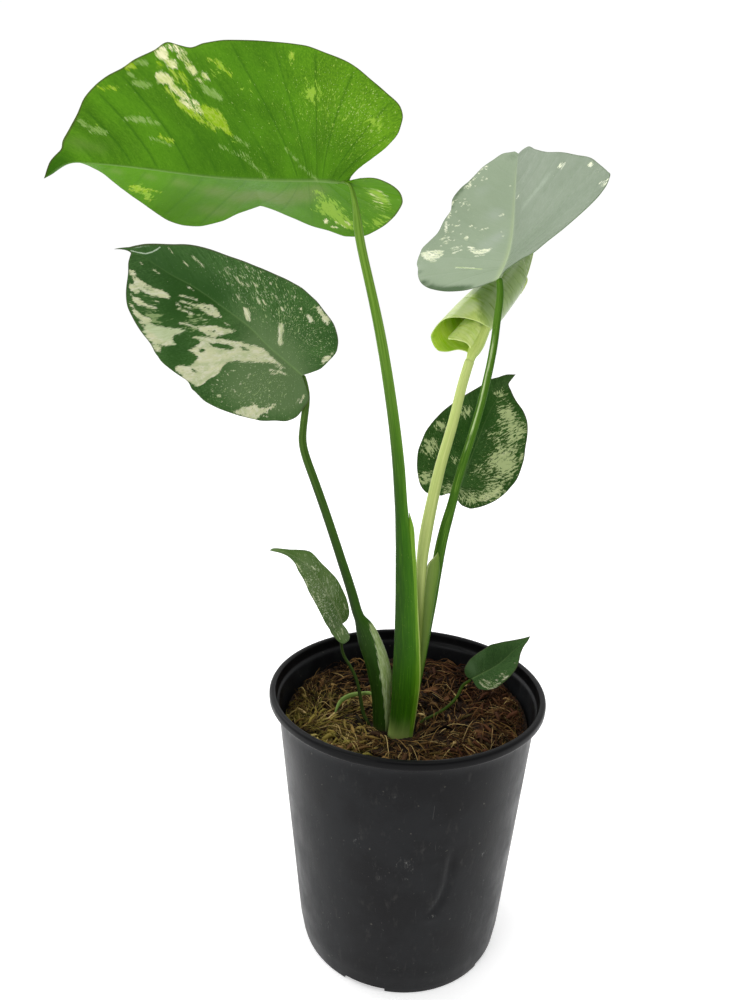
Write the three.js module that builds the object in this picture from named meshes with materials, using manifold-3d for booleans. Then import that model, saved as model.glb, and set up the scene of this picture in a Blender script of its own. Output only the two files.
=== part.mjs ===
// Potted white monster monstera: a variegated climbing aroid in a round nursery pot.
//
// Units are millimetres, +Z is up. The origin is the centre of the pot's resting
// face, on the ground. The open side of the group of leaves faces -Y.
// The pot is 165 mm tall and 165 mm across its rim; the plant stands 335 mm above it.

import * as THREE from 'three';
import Module from 'manifold-3d';
import { mergeVertices } from 'three/addons/utils/BufferGeometryUtils.js';

// ---------------------------------------------------------------- dimensions

const POT_HEIGHT = 165;            // ground to top of rim
const POT_RIM_RADIUS = 82.5;       // outside of the rolled lip
const POT_BASE_RADIUS = 61.5;      // outside of the foot ring
const POT_WALL = 1.3;              // wall thickness
const POT_FLOOR = 1.5;             // floor thickness
const POT_LIP_DEPTH = 5;           // height of the rolled lip
const POT_FOOT_WIDTH = 4.5;        // width of the resting ring
const POT_FLOOR_LIFT = 3;          // underside of the floor above the ground
const POT_HUB_RADIUS = 12;         // flat pad in the middle of the underside
const POT_SIDES = 56;
const NOTCH_ANGLES = [249, 329, 45, 117, 189];   // drainage notches, degrees about Z
const NOTCH_WIDTH = 25;
const NOTCH_HEIGHT = 2.7;
const DRAIN_HOLE_RADIUS = 6;
const DRAIN_HOLE_REACH = 45;       // distance of the drain holes from the axis

const GAP = 0.3;                   // clearance between pieces that touch
const MIX_RINGS = [9, 20, 31, 42, 52, 61, 68, 72.6];   // radii of the rings on top of the mix
const MIX_SIDES = 40;

const CROWN = { x: -6.5, y: -13, halfX: 18, halfY: 15.5, top: 140, bottom: 124 };

const BLADE_THICKNESS = 0.7;       // leaf blades at the midrib
const BLADE_EDGE = 0.42;           // leaf blades at the margin

// Centre lines of the petioles, leaf end first: x, y, z, half width, half depth.
const PETIOLE_1_RUN = [
  [-38, -24.6, 442.8, 1.57, 1.57],
  [-37.2, -25, 438, 1.94, 1.94],
  [-34.2, -24.5, 423.4, 2.26, 2.26],
  [-29.9, -23.5, 404.8, 2.31, 2.31],
  [-23.5, -22.5, 379.7, 2.56, 2.56],
  [-20.2, -22.2, 364.8, 2.72, 2.72],
  [-17.3, -22, 349.6, 2.87, 2.87],
  [-14.6, -22, 334.1, 2.98, 2.98],
  [-12.1, -22, 318.2, 3.14, 3.14],
  [-10, -22, 301, 3.36, 3.36],
  [-8.3, -22, 283.4, 3.53, 3.53],
  [-6.6, -22, 274.5, 4.69, 3.94],
  [-5.2, -22, 263.2, 5.59, 4.15],
  [-4, -22, 251.7, 6.32, 4.33],
  [-2.6, -22, 228.3, 7.02, 4.50],
  [-1.8, -22, 204.2, 7.68, 4.66],
  [-1.7, -21.9, 179.3, 8.13, 4.76],
  [-2.9, -21.8, 156.3, 7.31, 4.57],
  [-4.7, -21.8, 140.4, 7.35, 4.60],
];
const PETIOLE_2_RUN = [
  [-61.9, -14.9, 349.2, 1.60, 1.60],
  [-61, -12.8, 344.5, 1.80, 1.80],
  [-60.3, -12, 339.1, 1.91, 1.91],
  [-60.7, -11.7, 332.7, 1.97, 1.97],
  [-62.1, -12, 320.8, 2.04, 2.04],
  [-62.2, -12.4, 315.4, 2.18, 2.18],
  [-61.6, -12.8, 311.1, 2.21, 2.21],
  [-60.5, -13.2, 306.8, 2.25, 2.25],
  [-57.3, -13.8, 298.1, 2.31, 2.31],
  [-50.9, -14, 280.3, 2.39, 2.39],
  [-44.7, -14.2, 262.1, 2.47, 2.47],
  [-38.7, -14.4, 243.5, 2.61, 2.61],
  [-32.7, -14.8, 224.7, 2.84, 2.84],
  [-29.8, -15, 215.1, 3.02, 3.02],
  [-26.5, -15.1, 208.4, 5.15, 3.26],
  [-23.4, -15.2, 200.5, 6.49, 3.37],
  [-19.8, -15.3, 190.6, 6.93, 3.41],
  [-16.8, -15.4, 179.3, 6.91, 3.41],
  [-15.8, -15.5, 169.2, 5.90, 3.32],
  [-15.3, -15.7, 156.3, 5.18, 3.27],
  [-15.5, -15.9, 140.4, 4.30, 3.20],
];
const PETIOLE_3_RUN = [
  [38.5, -13, 400.6, 1.70, 1.70],
  [39.5, -12, 394.9, 1.86, 1.86],
  [39.1, -12, 384.9, 1.92, 1.92],
  [38.1, -12, 370.7, 2.01, 2.01],
  [35.4, -12, 349.8, 2.12, 2.12],
  [31.1, -11.8, 327.8, 2.23, 2.23],
  [25.5, -11, 305, 2.32, 2.32],
  [22.9, -10.5, 293.4, 2.37, 2.37],
  [20.7, -10, 281.5, 2.55, 2.55],
  [18, -9.2, 269.1, 2.97, 2.80],
  [14.6, -8, 247.4, 3.18, 2.80],
  [13.4, -7.3, 232.6, 2.81, 2.80],
  [10.5, -6.7, 207.5, 2.77, 2.77],
  [6.4, -6.4, 177.3, 2.82, 2.80],
  [3.5, -6.3, 158.1, 2.85, 2.80],
  [0.8, -6.2, 140.4, 2.90, 2.80],
];
const PETIOLE_4_RUN = [
  [29.9, 1.8, 361.9, 2.20, 2.20],
  [27.3, 1.4, 358.1, 2.67, 2.67],
  [24.6, 0.4, 348.4, 2.70, 2.70],
  [19.9, -2.3, 326.1, 2.81, 2.81],
  [14.2, -4.8, 303.5, 3.05, 3.05],
  [9.6, -7, 279.9, 3.35, 3.20],
  [6.7, -9, 261.8, 3.54, 3.20],
  [5.6, -10.2, 252.7, 3.27, 3.20],
  [4.7, -12.2, 234.2, 2.95, 2.95],
  [4.3, -13.2, 206.5, 2.88, 2.88],
  [2.1, -13.5, 168.6, 2.93, 2.93],
  [-0.1, -13.6, 148.9, 2.97, 2.97],
  [-1.4, -13.7, 140.4, 2.95, 2.95],
];
const PETIOLE_5_RUN = [
  [29.1, 38.8, 272.2, 1.25, 1.25],
  [27.4, 38.2, 269.1, 1.49, 1.49],
  [25.7, 36.8, 265.6, 1.61, 1.61],
  [23.9, 34, 259.9, 1.67, 1.67],
  [20, 26.8, 242.7, 1.75, 1.75],
  [16.2, 19, 222.8, 1.80, 1.80],
  [12, 11, 199.8, 1.82, 1.82],
  [7.3, 3.8, 172.8, 1.82, 1.82],
  [5.2, 1.4, 160.6, 1.83, 1.83],
  [3.3, 0.2, 149.1, 1.89, 1.89],
  [3.6, -0.6, 140.4, 1.85, 1.85],
];
const PETIOLE_6_RUN = [
  [-39.9, 18.4, 192, 0.95, 0.95],
  [-40.3, 18, 188.1, 1.05, 1.05],
  [-40.3, 16.6, 182.1, 1.15, 1.15],
  [-38.8, 13.6, 176.8, 1.14, 1.14],
  [-35.8, 10.6, 173, 1.14, 1.14],
  [-30.2, 4, 164.4, 1.22, 1.22],
  [-28.5, 0, 159.2, 1.27, 1.27],
  [-27.1, -4, 153.4, 1.36, 1.36],
  [-25.5, -7.6, 148.1, 1.38, 1.38],
  [-22.4, -10.9, 143.4, 1.45, 1.45],
  [-20.8, -12, 140.4, 1.50, 1.50],
];
const PETIOLE_7_RUN = [
  [40.8, 16.6, 160, 0.94, 0.94],
  [39.3, 16.3, 159, 1.07, 1.07],
  [36.7, 15.6, 157.2, 1.13, 1.13],
  [34.2, 13.1, 154, 1.09, 1.09],
  [31.4, 9.3, 151.2, 1.06, 1.06],
  [26.9, 4.1, 149.2, 1.05, 1.05],
  [20.9, -0.9, 147.6, 1.04, 1.04],
  [14.5, -5.5, 146.6, 1.06, 1.06],
  [9.4, -9.1, 145.6, 1.10, 1.10],
  [6.4, -11.2, 143.4, 1.15, 1.15],
  [5.6, -12.2, 140.4, 1.20, 1.20],
];
const CATAPHYLL_RUN = [
  [-43, -2.6, 146.2, 0.35, 0.30],
  [-41.6, 0.2, 148.9, 0.95, 0.62],
  [-39.4, 3.3, 151.2, 1.35, 0.80],
  [-36.1, 5, 152.9, 1.50, 0.90],
  [-31.8, 6, 154.1, 1.45, 0.88],
  [-26.8, 4.8, 155.6, 1.30, 0.80],
  [-21.4, 0.5, 158.1, 1.20, 0.75],
  [-18.2, -4.2, 157.9, 1.15, 0.75],
  [-15.6, -7.6, 154.6, 1.15, 0.80],
  [-14.2, -8.6, 149.5, 1.20, 0.90],
  [-13.6, -8.7, 144.5, 1.30, 1.00],
  [-13.5, -8.7, 140.4, 1.40, 1.10],
];

// Roots below the crown: x, y, z, half width, half depth.
const ROOT_RUNS = [
  [[-14, -18, 134, 2.8, 2.8], [-24, -25, 121, 2.5, 2.5], [-33, -31, 98, 2.1, 2.1], [-36, -32, 72, 1.6, 1.6], [-34, -29, 50, 1, 1]],
  [[2, -20, 134, 2.8, 2.8], [11, -28, 119, 2.5, 2.5], [19, -35, 92, 2, 2], [22, -36, 62, 1.5, 1.5], [19, -32, 38, 1, 1]],
  [[4, -7, 134, 2.6, 2.6], [16, 1, 123, 2.3, 2.3], [29, 9, 103, 1.9, 1.9], [34, 13, 80, 1.5, 1.5], [33, 14, 58, 1, 1]],
  [[-8, -4, 134, 2.6, 2.6], [-11, 9, 120, 2.3, 2.3], [-12, 25, 98, 1.9, 1.9], [-9, 35, 70, 1.5, 1.5], [-6, 37, 46, 1, 1]],
  [[-7, -14, 130, 3, 3], [-5, -13, 112, 2.5, 2.5], [-1, -10, 88, 2, 2], [1, -9, 62, 1.6, 1.6], [0, -9, 36, 1, 1]],
];

// Nets of the flat leaf blades. Each row runs from the left margin over the midrib
// (the fourth point) to the right margin; rows go from the petiole to the tip.
const LEAF_1_NET = [
  [[-39.1, -22, 443.6], [-39.1, -22, 443.6], [-39.1, -22, 443.6], [-39.1, -22, 443.6], [-39.1, -22, 443.6], [-39.1, -22, 443.6], [-39.1, -22, 443.6]],
  [[-35.8, -23.5, 449.6], [-37.4, -22.9, 447.7], [-38.9, -22.5, 445.8], [-40, -22, 443.8], [-38.5, -24.2, 444.3], [-36.4, -26.3, 444.7], [-34, -28.5, 445.1]],
  [[-29.6, -24.9, 454.2], [-34.2, -23.8, 450.9], [-38.2, -22.9, 447.6], [-41.2, -22, 444], [-37.6, -25.5, 444.6], [-32.4, -29, 445], [-26.3, -32.5, 445.2]],
  [[-22.6, -26.5, 459.1], [-30.6, -24.9, 454.4], [-37.6, -23.3, 449.5], [-42.7, -22, 444.2], [-36.7, -24.3, 444], [-27.9, -26.6, 443.3], [-17.6, -28.9, 442.4]],
  [[-16.2, -28.8, 465.6], [-27.4, -26.2, 459], [-37.2, -24, 452.1], [-44.4, -22, 444.5], [-36.8, -21.4, 443], [-25.7, -21, 440.7], [-12.7, -20.5, 438.1]],
  [[-14.6, -31.8, 474.8], [-27.1, -28, 465.4], [-38.1, -24.7, 455.4], [-46.3, -22, 444.8], [-38.6, -17.9, 441.9], [-27.3, -13.9, 438.1], [-14, -10, 433.6]],
  [[-22, -33.8, 481.9], [-32.2, -29.2, 470.2], [-41.6, -25.2, 458], [-48.4, -22, 445], [-41.2, -14.2, 441], [-30.7, -6.7, 435.6], [-18.4, 0.5, 429.3]],
  [[-31.1, -35.5, 488.2], [-39, -30.2, 474.5], [-46.3, -25.7, 460.2], [-50.6, -22, 445.1], [-44.5, -10.6, 440.5], [-35.6, 0.2, 433.5], [-25.1, 10.7, 425.5]],
  [[-45.1, -37.8, 495.3], [-48.9, -31.6, 479], [-51.5, -26.3, 462.3], [-53, -22.1, 445.2], [-48.4, -7.4, 440.2], [-42, 6.3, 432.2], [-34.4, 19.6, 423.1]],
  [[-61.2, -39.9, 499.2], [-58.8, -32.8, 481.6], [-56.8, -26.9, 463.6], [-55.6, -22.2, 445.2], [-53.4, -5.8, 440.5], [-50.2, 10.1, 433.9], [-46.9, 25.1, 425]],
  [[-72.1, -40.6, 499.9], [-66.8, -33.3, 482], [-62, -27.2, 463.8], [-58.3, -22.3, 445.2], [-58.7, -4.7, 440.7], [-59, 12.7, 435.1], [-59.2, 29.7, 428.6]],
  [[-83.7, -41.1, 500.2], [-76, -33.6, 482.2], [-69.3, -27.4, 463.7], [-64.3, -22.5, 445], [-66.5, -5.3, 441.5], [-69.4, 11.9, 437.6], [-72.7, 29, 433.5]],
  [[-94.7, -41.4, 500], [-87.4, -33.8, 482], [-80.3, -27.6, 463.6], [-75.4, -22.8, 445], [-78.2, -6.2, 442.8], [-82.3, 10.3, 440.6], [-87.2, 26.8, 438.4]],
  [[-104.6, -41.1, 498.5], [-98.1, -33.9, 480.9], [-91.5, -27.9, 463.1], [-86.5, -23.1, 445.1], [-90.3, -6, 443.5], [-95.9, 10.8, 439.8], [-102.7, 26.9, 433.8]],
  [[-115.2, -41.2, 497.6], [-108, -34.1, 480.3], [-101.7, -28.2, 462.8], [-97, -23.6, 445.3], [-102, -5.5, 442], [-109.2, 11.8, 436.4], [-118.2, 28, 428.2]],
  [[-126.1, -41.2, 495.5], [-118.6, -34.3, 479], [-112.5, -28.7, 462.4], [-108.4, -24.3, 445.8], [-114, -8.3, 441.6], [-122, 6.7, 435.5], [-131.8, 20.5, 427.2]],
  [[-137.1, -40.4, 490.7], [-129.4, -34.2, 476.2], [-123.4, -29.1, 461.5], [-119.7, -25.2, 446.7], [-124.7, -13.1, 442.6], [-131.6, -1.7, 437.5], [-139.7, 8.9, 431.1]],
  [[-147.4, -39.7, 485.4], [-139.8, -34.3, 472.9], [-133.8, -29.9, 460.3], [-130.3, -26.3, 447.7], [-134.7, -16.7, 443.7], [-140.7, -7.7, 439.1], [-147.3, 1.3, 434.7]],
  [[-156.2, -39.2, 479.4], [-149.6, -34.5, 469.2], [-143.8, -30.7, 458.9], [-140.4, -27.7, 448.5], [-144.9, -18.6, 444.6], [-150.7, -9.2, 442], [-157.4, 1.1, 443.8]],
  [[-162.4, -38.1, 471.8], [-156.9, -34.3, 464.3], [-152.1, -31.3, 456.7], [-149, -29, 449], [-151.3, -23.3, 447.8], [-154.1, -17.6, 447.4], [-157.5, -11.9, 447.9]],
  [[-168.2, -36.8, 463.3], [-162.9, -34.2, 458.8], [-159.7, -32.2, 454.1], [-157.6, -30.5, 449.4], [-159, -27.1, 449.7], [-160.8, -23.9, 450.1], [-162.7, -20.7, 450.6]],
  [[-173.1, -35.8, 454.7], [-170, -34.6, 453.4], [-167.8, -33.6, 451.6], [-166.6, -32.8, 449.5], [-167.9, -30.8, 450.1], [-169.5, -29, 450.7], [-171.3, -27.2, 451]],
  [[-179.2, -36.8, 447.6], [-177.6, -36.3, 447.4], [-176.2, -35.8, 447.1], [-175.1, -35.4, 446.6], [-175.8, -34.4, 446.4], [-176.6, -33.6, 446.2], [-177.5, -32.7, 445.8]],
  [[-181.4, -38, 440.8], [-181.4, -38, 440.8], [-181.4, -38, 440.8], [-181.4, -38, 440.8], [-181.4, -38, 440.8], [-181.4, -38, 440.8], [-181.4, -38, 440.8]],
];
const LEAF_2_NET = [
  [[-62.1, -18, 350.5], [-62.1, -18, 350.5], [-62.1, -18, 350.5], [-62.1, -18, 350.5], [-62.1, -18, 350.5], [-62.1, -18, 350.5], [-62.1, -18, 350.5]],
  [[-60.4, -17.1, 345.2], [-61.5, -17.5, 347.4], [-62.3, -17.8, 349.4], [-62.7, -18.1, 351], [-61.3, -18.8, 351.4], [-59.8, -19.5, 351.7], [-58.1, -20.2, 351.9]],
  [[-58.5, -16.1, 339], [-60.8, -16.9, 343.9], [-62.6, -17.7, 348.2], [-63.4, -18.2, 351.6], [-60.5, -19.8, 352.6], [-57.2, -21.3, 353.3], [-53.7, -22.7, 353.7]],
  [[-61.3, -15.2, 333.3], [-63.2, -16.4, 340.4], [-64.4, -17.5, 347], [-64.3, -18.4, 352.5], [-59.9, -20.9, 354.3], [-55, -23.3, 355.6], [-49.8, -25.7, 356.7]],
  [[-66, -14.3, 327.6], [-66.7, -15.9, 337.1], [-66.7, -17.4, 345.9], [-65.3, -18.5, 353.4], [-59.5, -22.2, 356.3], [-52.9, -25.7, 358.6], [-46, -29, 360.6]],
  [[-73.5, -13.8, 325.5], [-71.9, -15.7, 335.9], [-69.7, -17.4, 345.6], [-66.4, -18.7, 354.4], [-59.4, -23.5, 358.7], [-51.5, -28.1, 362.3], [-43.3, -32.4, 365.7]],
  [[-82.1, -13.7, 325.4], [-77.8, -15.8, 335.9], [-72.9, -17.5, 345.8], [-67.7, -18.9, 355.4], [-60.2, -24.8, 361.5], [-52.1, -30.4, 367.1], [-43.4, -35.7, 372.3]],
  [[-89.9, -13.8, 326.5], [-82.9, -15.9, 336.4], [-76.1, -17.7, 346.6], [-69.1, -19.1, 356.6], [-61.7, -25.8, 364.2], [-54.2, -32.2, 371.9], [-46.7, -38.4, 379.8]],
  [[-97.8, -14.2, 328.4], [-88.6, -16.2, 338], [-79.4, -17.9, 347.8], [-70.5, -19.3, 357.8], [-63.8, -26.5, 366.6], [-57.4, -33.4, 375.8], [-50.8, -40.2, 385.2]],
  [[-108.9, -14.7, 332.5], [-95.4, -16.6, 340.1], [-83.2, -18.2, 349.1], [-72.1, -19.5, 359.1], [-66.2, -27.1, 368.9], [-60.5, -34.5, 379.1], [-54.3, -41.7, 389.3]],
  [[-118.3, -15.4, 339.5], [-103.9, -17.6, 346.5], [-89.2, -19.1, 353.5], [-76.4, -20.4, 362.7], [-70.7, -27.7, 372.2], [-65.3, -34.9, 382.6], [-61.5, -41.8, 395]],
  [[-120, -16.2, 341.3], [-108.5, -18.3, 351.6], [-95.6, -20, 360.1], [-82.2, -21.3, 368.2], [-76.8, -27.8, 376.9], [-73.5, -34.2, 387.6], [-72.5, -40.5, 400]],
  [[-124.9, -17.3, 347.7], [-111.7, -19.3, 356], [-99.7, -20.8, 365.1], [-87.9, -22, 374.1], [-84.3, -28, 382.7], [-82.6, -33.9, 392.9], [-81.8, -39.6, 403.6]],
  [[-131.9, -17.2, 352.5], [-119, -19.7, 361.1], [-105.9, -21.5, 369.5], [-94.3, -22.7, 379.1], [-91.8, -28.2, 387.3], [-90.6, -33.4, 396.6], [-90.5, -38.2, 406.8]],
  [[-136.4, -16.9, 356.5], [-125.2, -19.5, 366.1], [-112.7, -21.6, 374.7], [-101.1, -23.1, 383.9], [-99.2, -27.8, 391.5], [-98.8, -32.2, 400.2], [-99.6, -36.3, 409.7]],
  [[-139.8, -16.9, 362], [-129.2, -19.3, 371.2], [-118.4, -21.4, 379.9], [-107.9, -23, 388.6], [-106.7, -27, 395.7], [-107.1, -30.7, 403.7], [-108.9, -34.2, 412.4]],
  [[-146.3, -16.6, 371.6], [-133.2, -19.2, 377.3], [-123.5, -21, 385], [-114.8, -22.4, 393], [-114.5, -25.7, 399.3], [-115.6, -28.9, 406.3], [-117.4, -31.8, 413.5]],
  [[-151, -15.9, 380], [-140.1, -18.4, 384.5], [-129.7, -20.4, 389.8], [-122, -21.7, 396.8], [-122.1, -24.4, 402], [-123, -26.9, 407.7], [-123.8, -29.3, 413.6]],
  [[-152.8, -15.6, 387], [-144.6, -17.6, 391.3], [-136.1, -19.4, 395.2], [-129, -20.7, 400.2], [-128.9, -22.8, 404.4], [-129.4, -24.7, 409], [-130.1, -26.5, 413.8]],
  [[-152.1, -15.8, 394.2], [-146.4, -17.2, 397.6], [-140.3, -18.5, 400.5], [-135, -19.6, 403.8], [-135, -21, 406.9], [-135.5, -22.3, 410.4], [-136.4, -23.5, 414]],
  [[-150.7, -16.2, 401.3], [-147.3, -17, 403.4], [-143.7, -17.8, 405.2], [-140.6, -18.4, 407.2], [-140.8, -19.2, 409.2], [-141.5, -20, 411.4], [-142.5, -20.7, 413.7]],
  [[-149.2, -16.6, 408.2], [-148, -16.9, 408.7], [-146.8, -17.1, 409.3], [-145.8, -17.3, 409.9], [-146.3, -17.6, 410.8], [-147.1, -17.8, 411.7], [-148.1, -18, 412.8]],
  [[-152.4, -16.1, 411.2], [-152.2, -16.1, 411.3], [-151.9, -16.2, 411.4], [-151.7, -16.2, 411.5], [-152.1, -16.2, 411.7], [-152.6, -16.2, 411.9], [-153.2, -16.2, 412.1]],
  [[-158, -15, 411.4], [-158, -15, 411.4], [-158, -15, 411.4], [-158, -15, 411.4], [-158, -15, 411.4], [-158, -15, 411.4], [-158, -15, 411.4]],
];
const LEAF_3_NET = [
  [[37.3, -14, 401.3], [37.3, -14, 401.3], [37.3, -14, 401.3], [37.3, -14, 401.3], [37.3, -14, 401.3], [37.3, -14, 401.3], [37.3, -14, 401.3]],
  [[32.3, -14.7, 399], [34.3, -13.9, 400.3], [36.1, -13.4, 401.3], [37.8, -13.2, 402], [38.7, -13.7, 403.1], [39.8, -13.9, 404.4], [41, -14.1, 405.7]],
  [[26.5, -14.7, 397], [31, -12.9, 399.8], [35.2, -11.7, 402.3], [38.9, -11.2, 403.9], [40.6, -13.5, 405.4], [42.2, -15.7, 406.9], [43.9, -17.9, 408.4]],
  [[20, -13.7, 395.3], [26.8, -11.9, 399.1], [33.3, -10.8, 402.3], [39.2, -10.7, 404.4], [41.9, -14.7, 406.7], [44.6, -18.9, 409], [47.3, -23, 411.1]],
  [[13.3, -10.9, 394.8], [22.7, -9.5, 399.3], [31.7, -8.8, 403.1], [39.9, -9.4, 405.6], [43.5, -15.7, 408.4], [47, -22.3, 410.9], [50.4, -29.1, 413.1]],
  [[6.9, -6.4, 395.4], [18.4, -6.5, 399.9], [29.7, -7.2, 403.6], [40.1, -9, 405.9], [45.1, -16.9, 410.1], [50, -25, 413.8], [55, -33.3, 417.3]],
  [[1.4, -0.5, 397.3], [14.8, -2.6, 401.2], [27.8, -5.2, 404.4], [40.4, -8.6, 406.3], [46.8, -18.1, 411.8], [53.4, -27.7, 417], [60.2, -37.3, 421.9]],
  [[-1.6, 6.6, 400.9], [12.7, 2, 403.7], [26.8, -2.7, 405.8], [40.7, -7.9, 406.9], [48.7, -19, 414], [57.1, -29.9, 420.7], [65.8, -40.8, 427.2]],
  [[-2, 14, 405.7], [12.4, 6.9, 406.9], [26.8, 0, 407.7], [41.4, -6.8, 408], [51, -19.3, 416.7], [61.3, -31.4, 425.2], [72.1, -43.1, 433.5]],
  [[-2.3, 18.9, 408.8], [12.4, 10.6, 409.6], [27.1, 2.4, 409.7], [42, -5.5, 409.2], [53.4, -18.9, 419.8], [65.7, -31.3, 430.6], [79, -42.8, 441.6]],
  [[-1.7, 23.2, 412.4], [13.1, 13.8, 412.3], [27.8, 4.6, 411.6], [42.6, -4.2, 410.4], [55, -16.5, 422.7], [68.5, -27.1, 435.9], [82.8, -36.5, 449.4]],
  [[0.4, 28, 417.7], [14.8, 17.6, 416.2], [29.2, 7.6, 414.5], [43.8, -1.6, 412.9], [55.5, -11.8, 425.5], [68.4, -20.1, 439.2], [81.8, -27.3, 453.5]],
  [[5.8, 31.1, 423.5], [19, 21.4, 421.6], [32.3, 12.3, 419.7], [45.8, 4.2, 418.3], [56.6, -4.8, 430.5], [68.3, -12.2, 443.8], [80.6, -18.4, 457.7]],
  [[10.9, 34.8, 429.8], [22.9, 25.7, 427.4], [35, 17.3, 425.3], [47.3, 10.1, 424.1], [57.1, 2.1, 435.5], [67.6, -4.3, 448], [78.6, -9.8, 461]],
  [[14.9, 39.9, 436.8], [25.9, 30.8, 433.8], [37.1, 22.7, 431.3], [48.6, 16, 429.9], [57.1, 9.1, 440.2], [66.2, 3.6, 451.5], [75.7, -1.2, 463.2]],
  [[17.8, 45.5, 443.6], [28.1, 36.3, 440.2], [38.7, 28.2, 437.3], [49.6, 21.6, 435.8], [57, 15.8, 444.9], [64.8, 11.2, 455], [73, 7.2, 465.5]],
  [[20.4, 51.1, 450.1], [30.1, 41.9, 446.4], [40.1, 33.7, 443.3], [50.5, 27.2, 441.5], [56.8, 22.4, 449.4], [63.5, 18.6, 458.2], [70.4, 15.3, 467.4]],
  [[26, 54.4, 456.1], [34.2, 46, 452.2], [42.7, 38.6, 449], [51.4, 32.7, 447.2], [56.6, 28.8, 453.7], [62, 25.8, 461], [67.7, 23.2, 468.7]],
  [[31.6, 57.4, 461.6], [38.3, 49.9, 457.7], [45.1, 43.3, 454.6], [52.3, 38.1, 452.7], [56.5, 35, 458], [60.9, 32.6, 464], [65.4, 30.6, 470.3]],
  [[36.6, 60.9, 466.8], [41.8, 53.9, 463.1], [47.4, 47.9, 460], [53.2, 43.3, 458.1], [56.5, 41, 462.3], [60, 39.2, 467.2], [63.5, 37.8, 472.3]],
  [[42.3, 63.2, 471], [46, 57.3, 467.8], [49.9, 52.2, 465], [54.1, 48.4, 463.2], [56.6, 46.7, 466.5], [59.3, 45.5, 470.3], [62.1, 44.6, 474.4]],
  [[47.9, 65.3, 474.9], [50.1, 60.7, 472.1], [52.5, 56.6, 469.7], [55.1, 53.5, 468.2], [57.1, 52.4, 470.7], [59.1, 51.7, 473.6], [61.2, 51.2, 476.6]],
  [[53.6, 63.8, 475.9], [54.3, 61.2, 474.1], [55.1, 59, 472.6], [56, 57.3, 471.7], [57.1, 56.8, 473.2], [58.3, 56.6, 474.9], [59.5, 56.5, 476.8]],
  [[56.7, 60, 474], [56.7, 60, 474], [56.7, 60, 474], [56.7, 60, 474], [56.7, 60, 474], [56.7, 60, 474], [56.7, 60, 474]],
];
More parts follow.
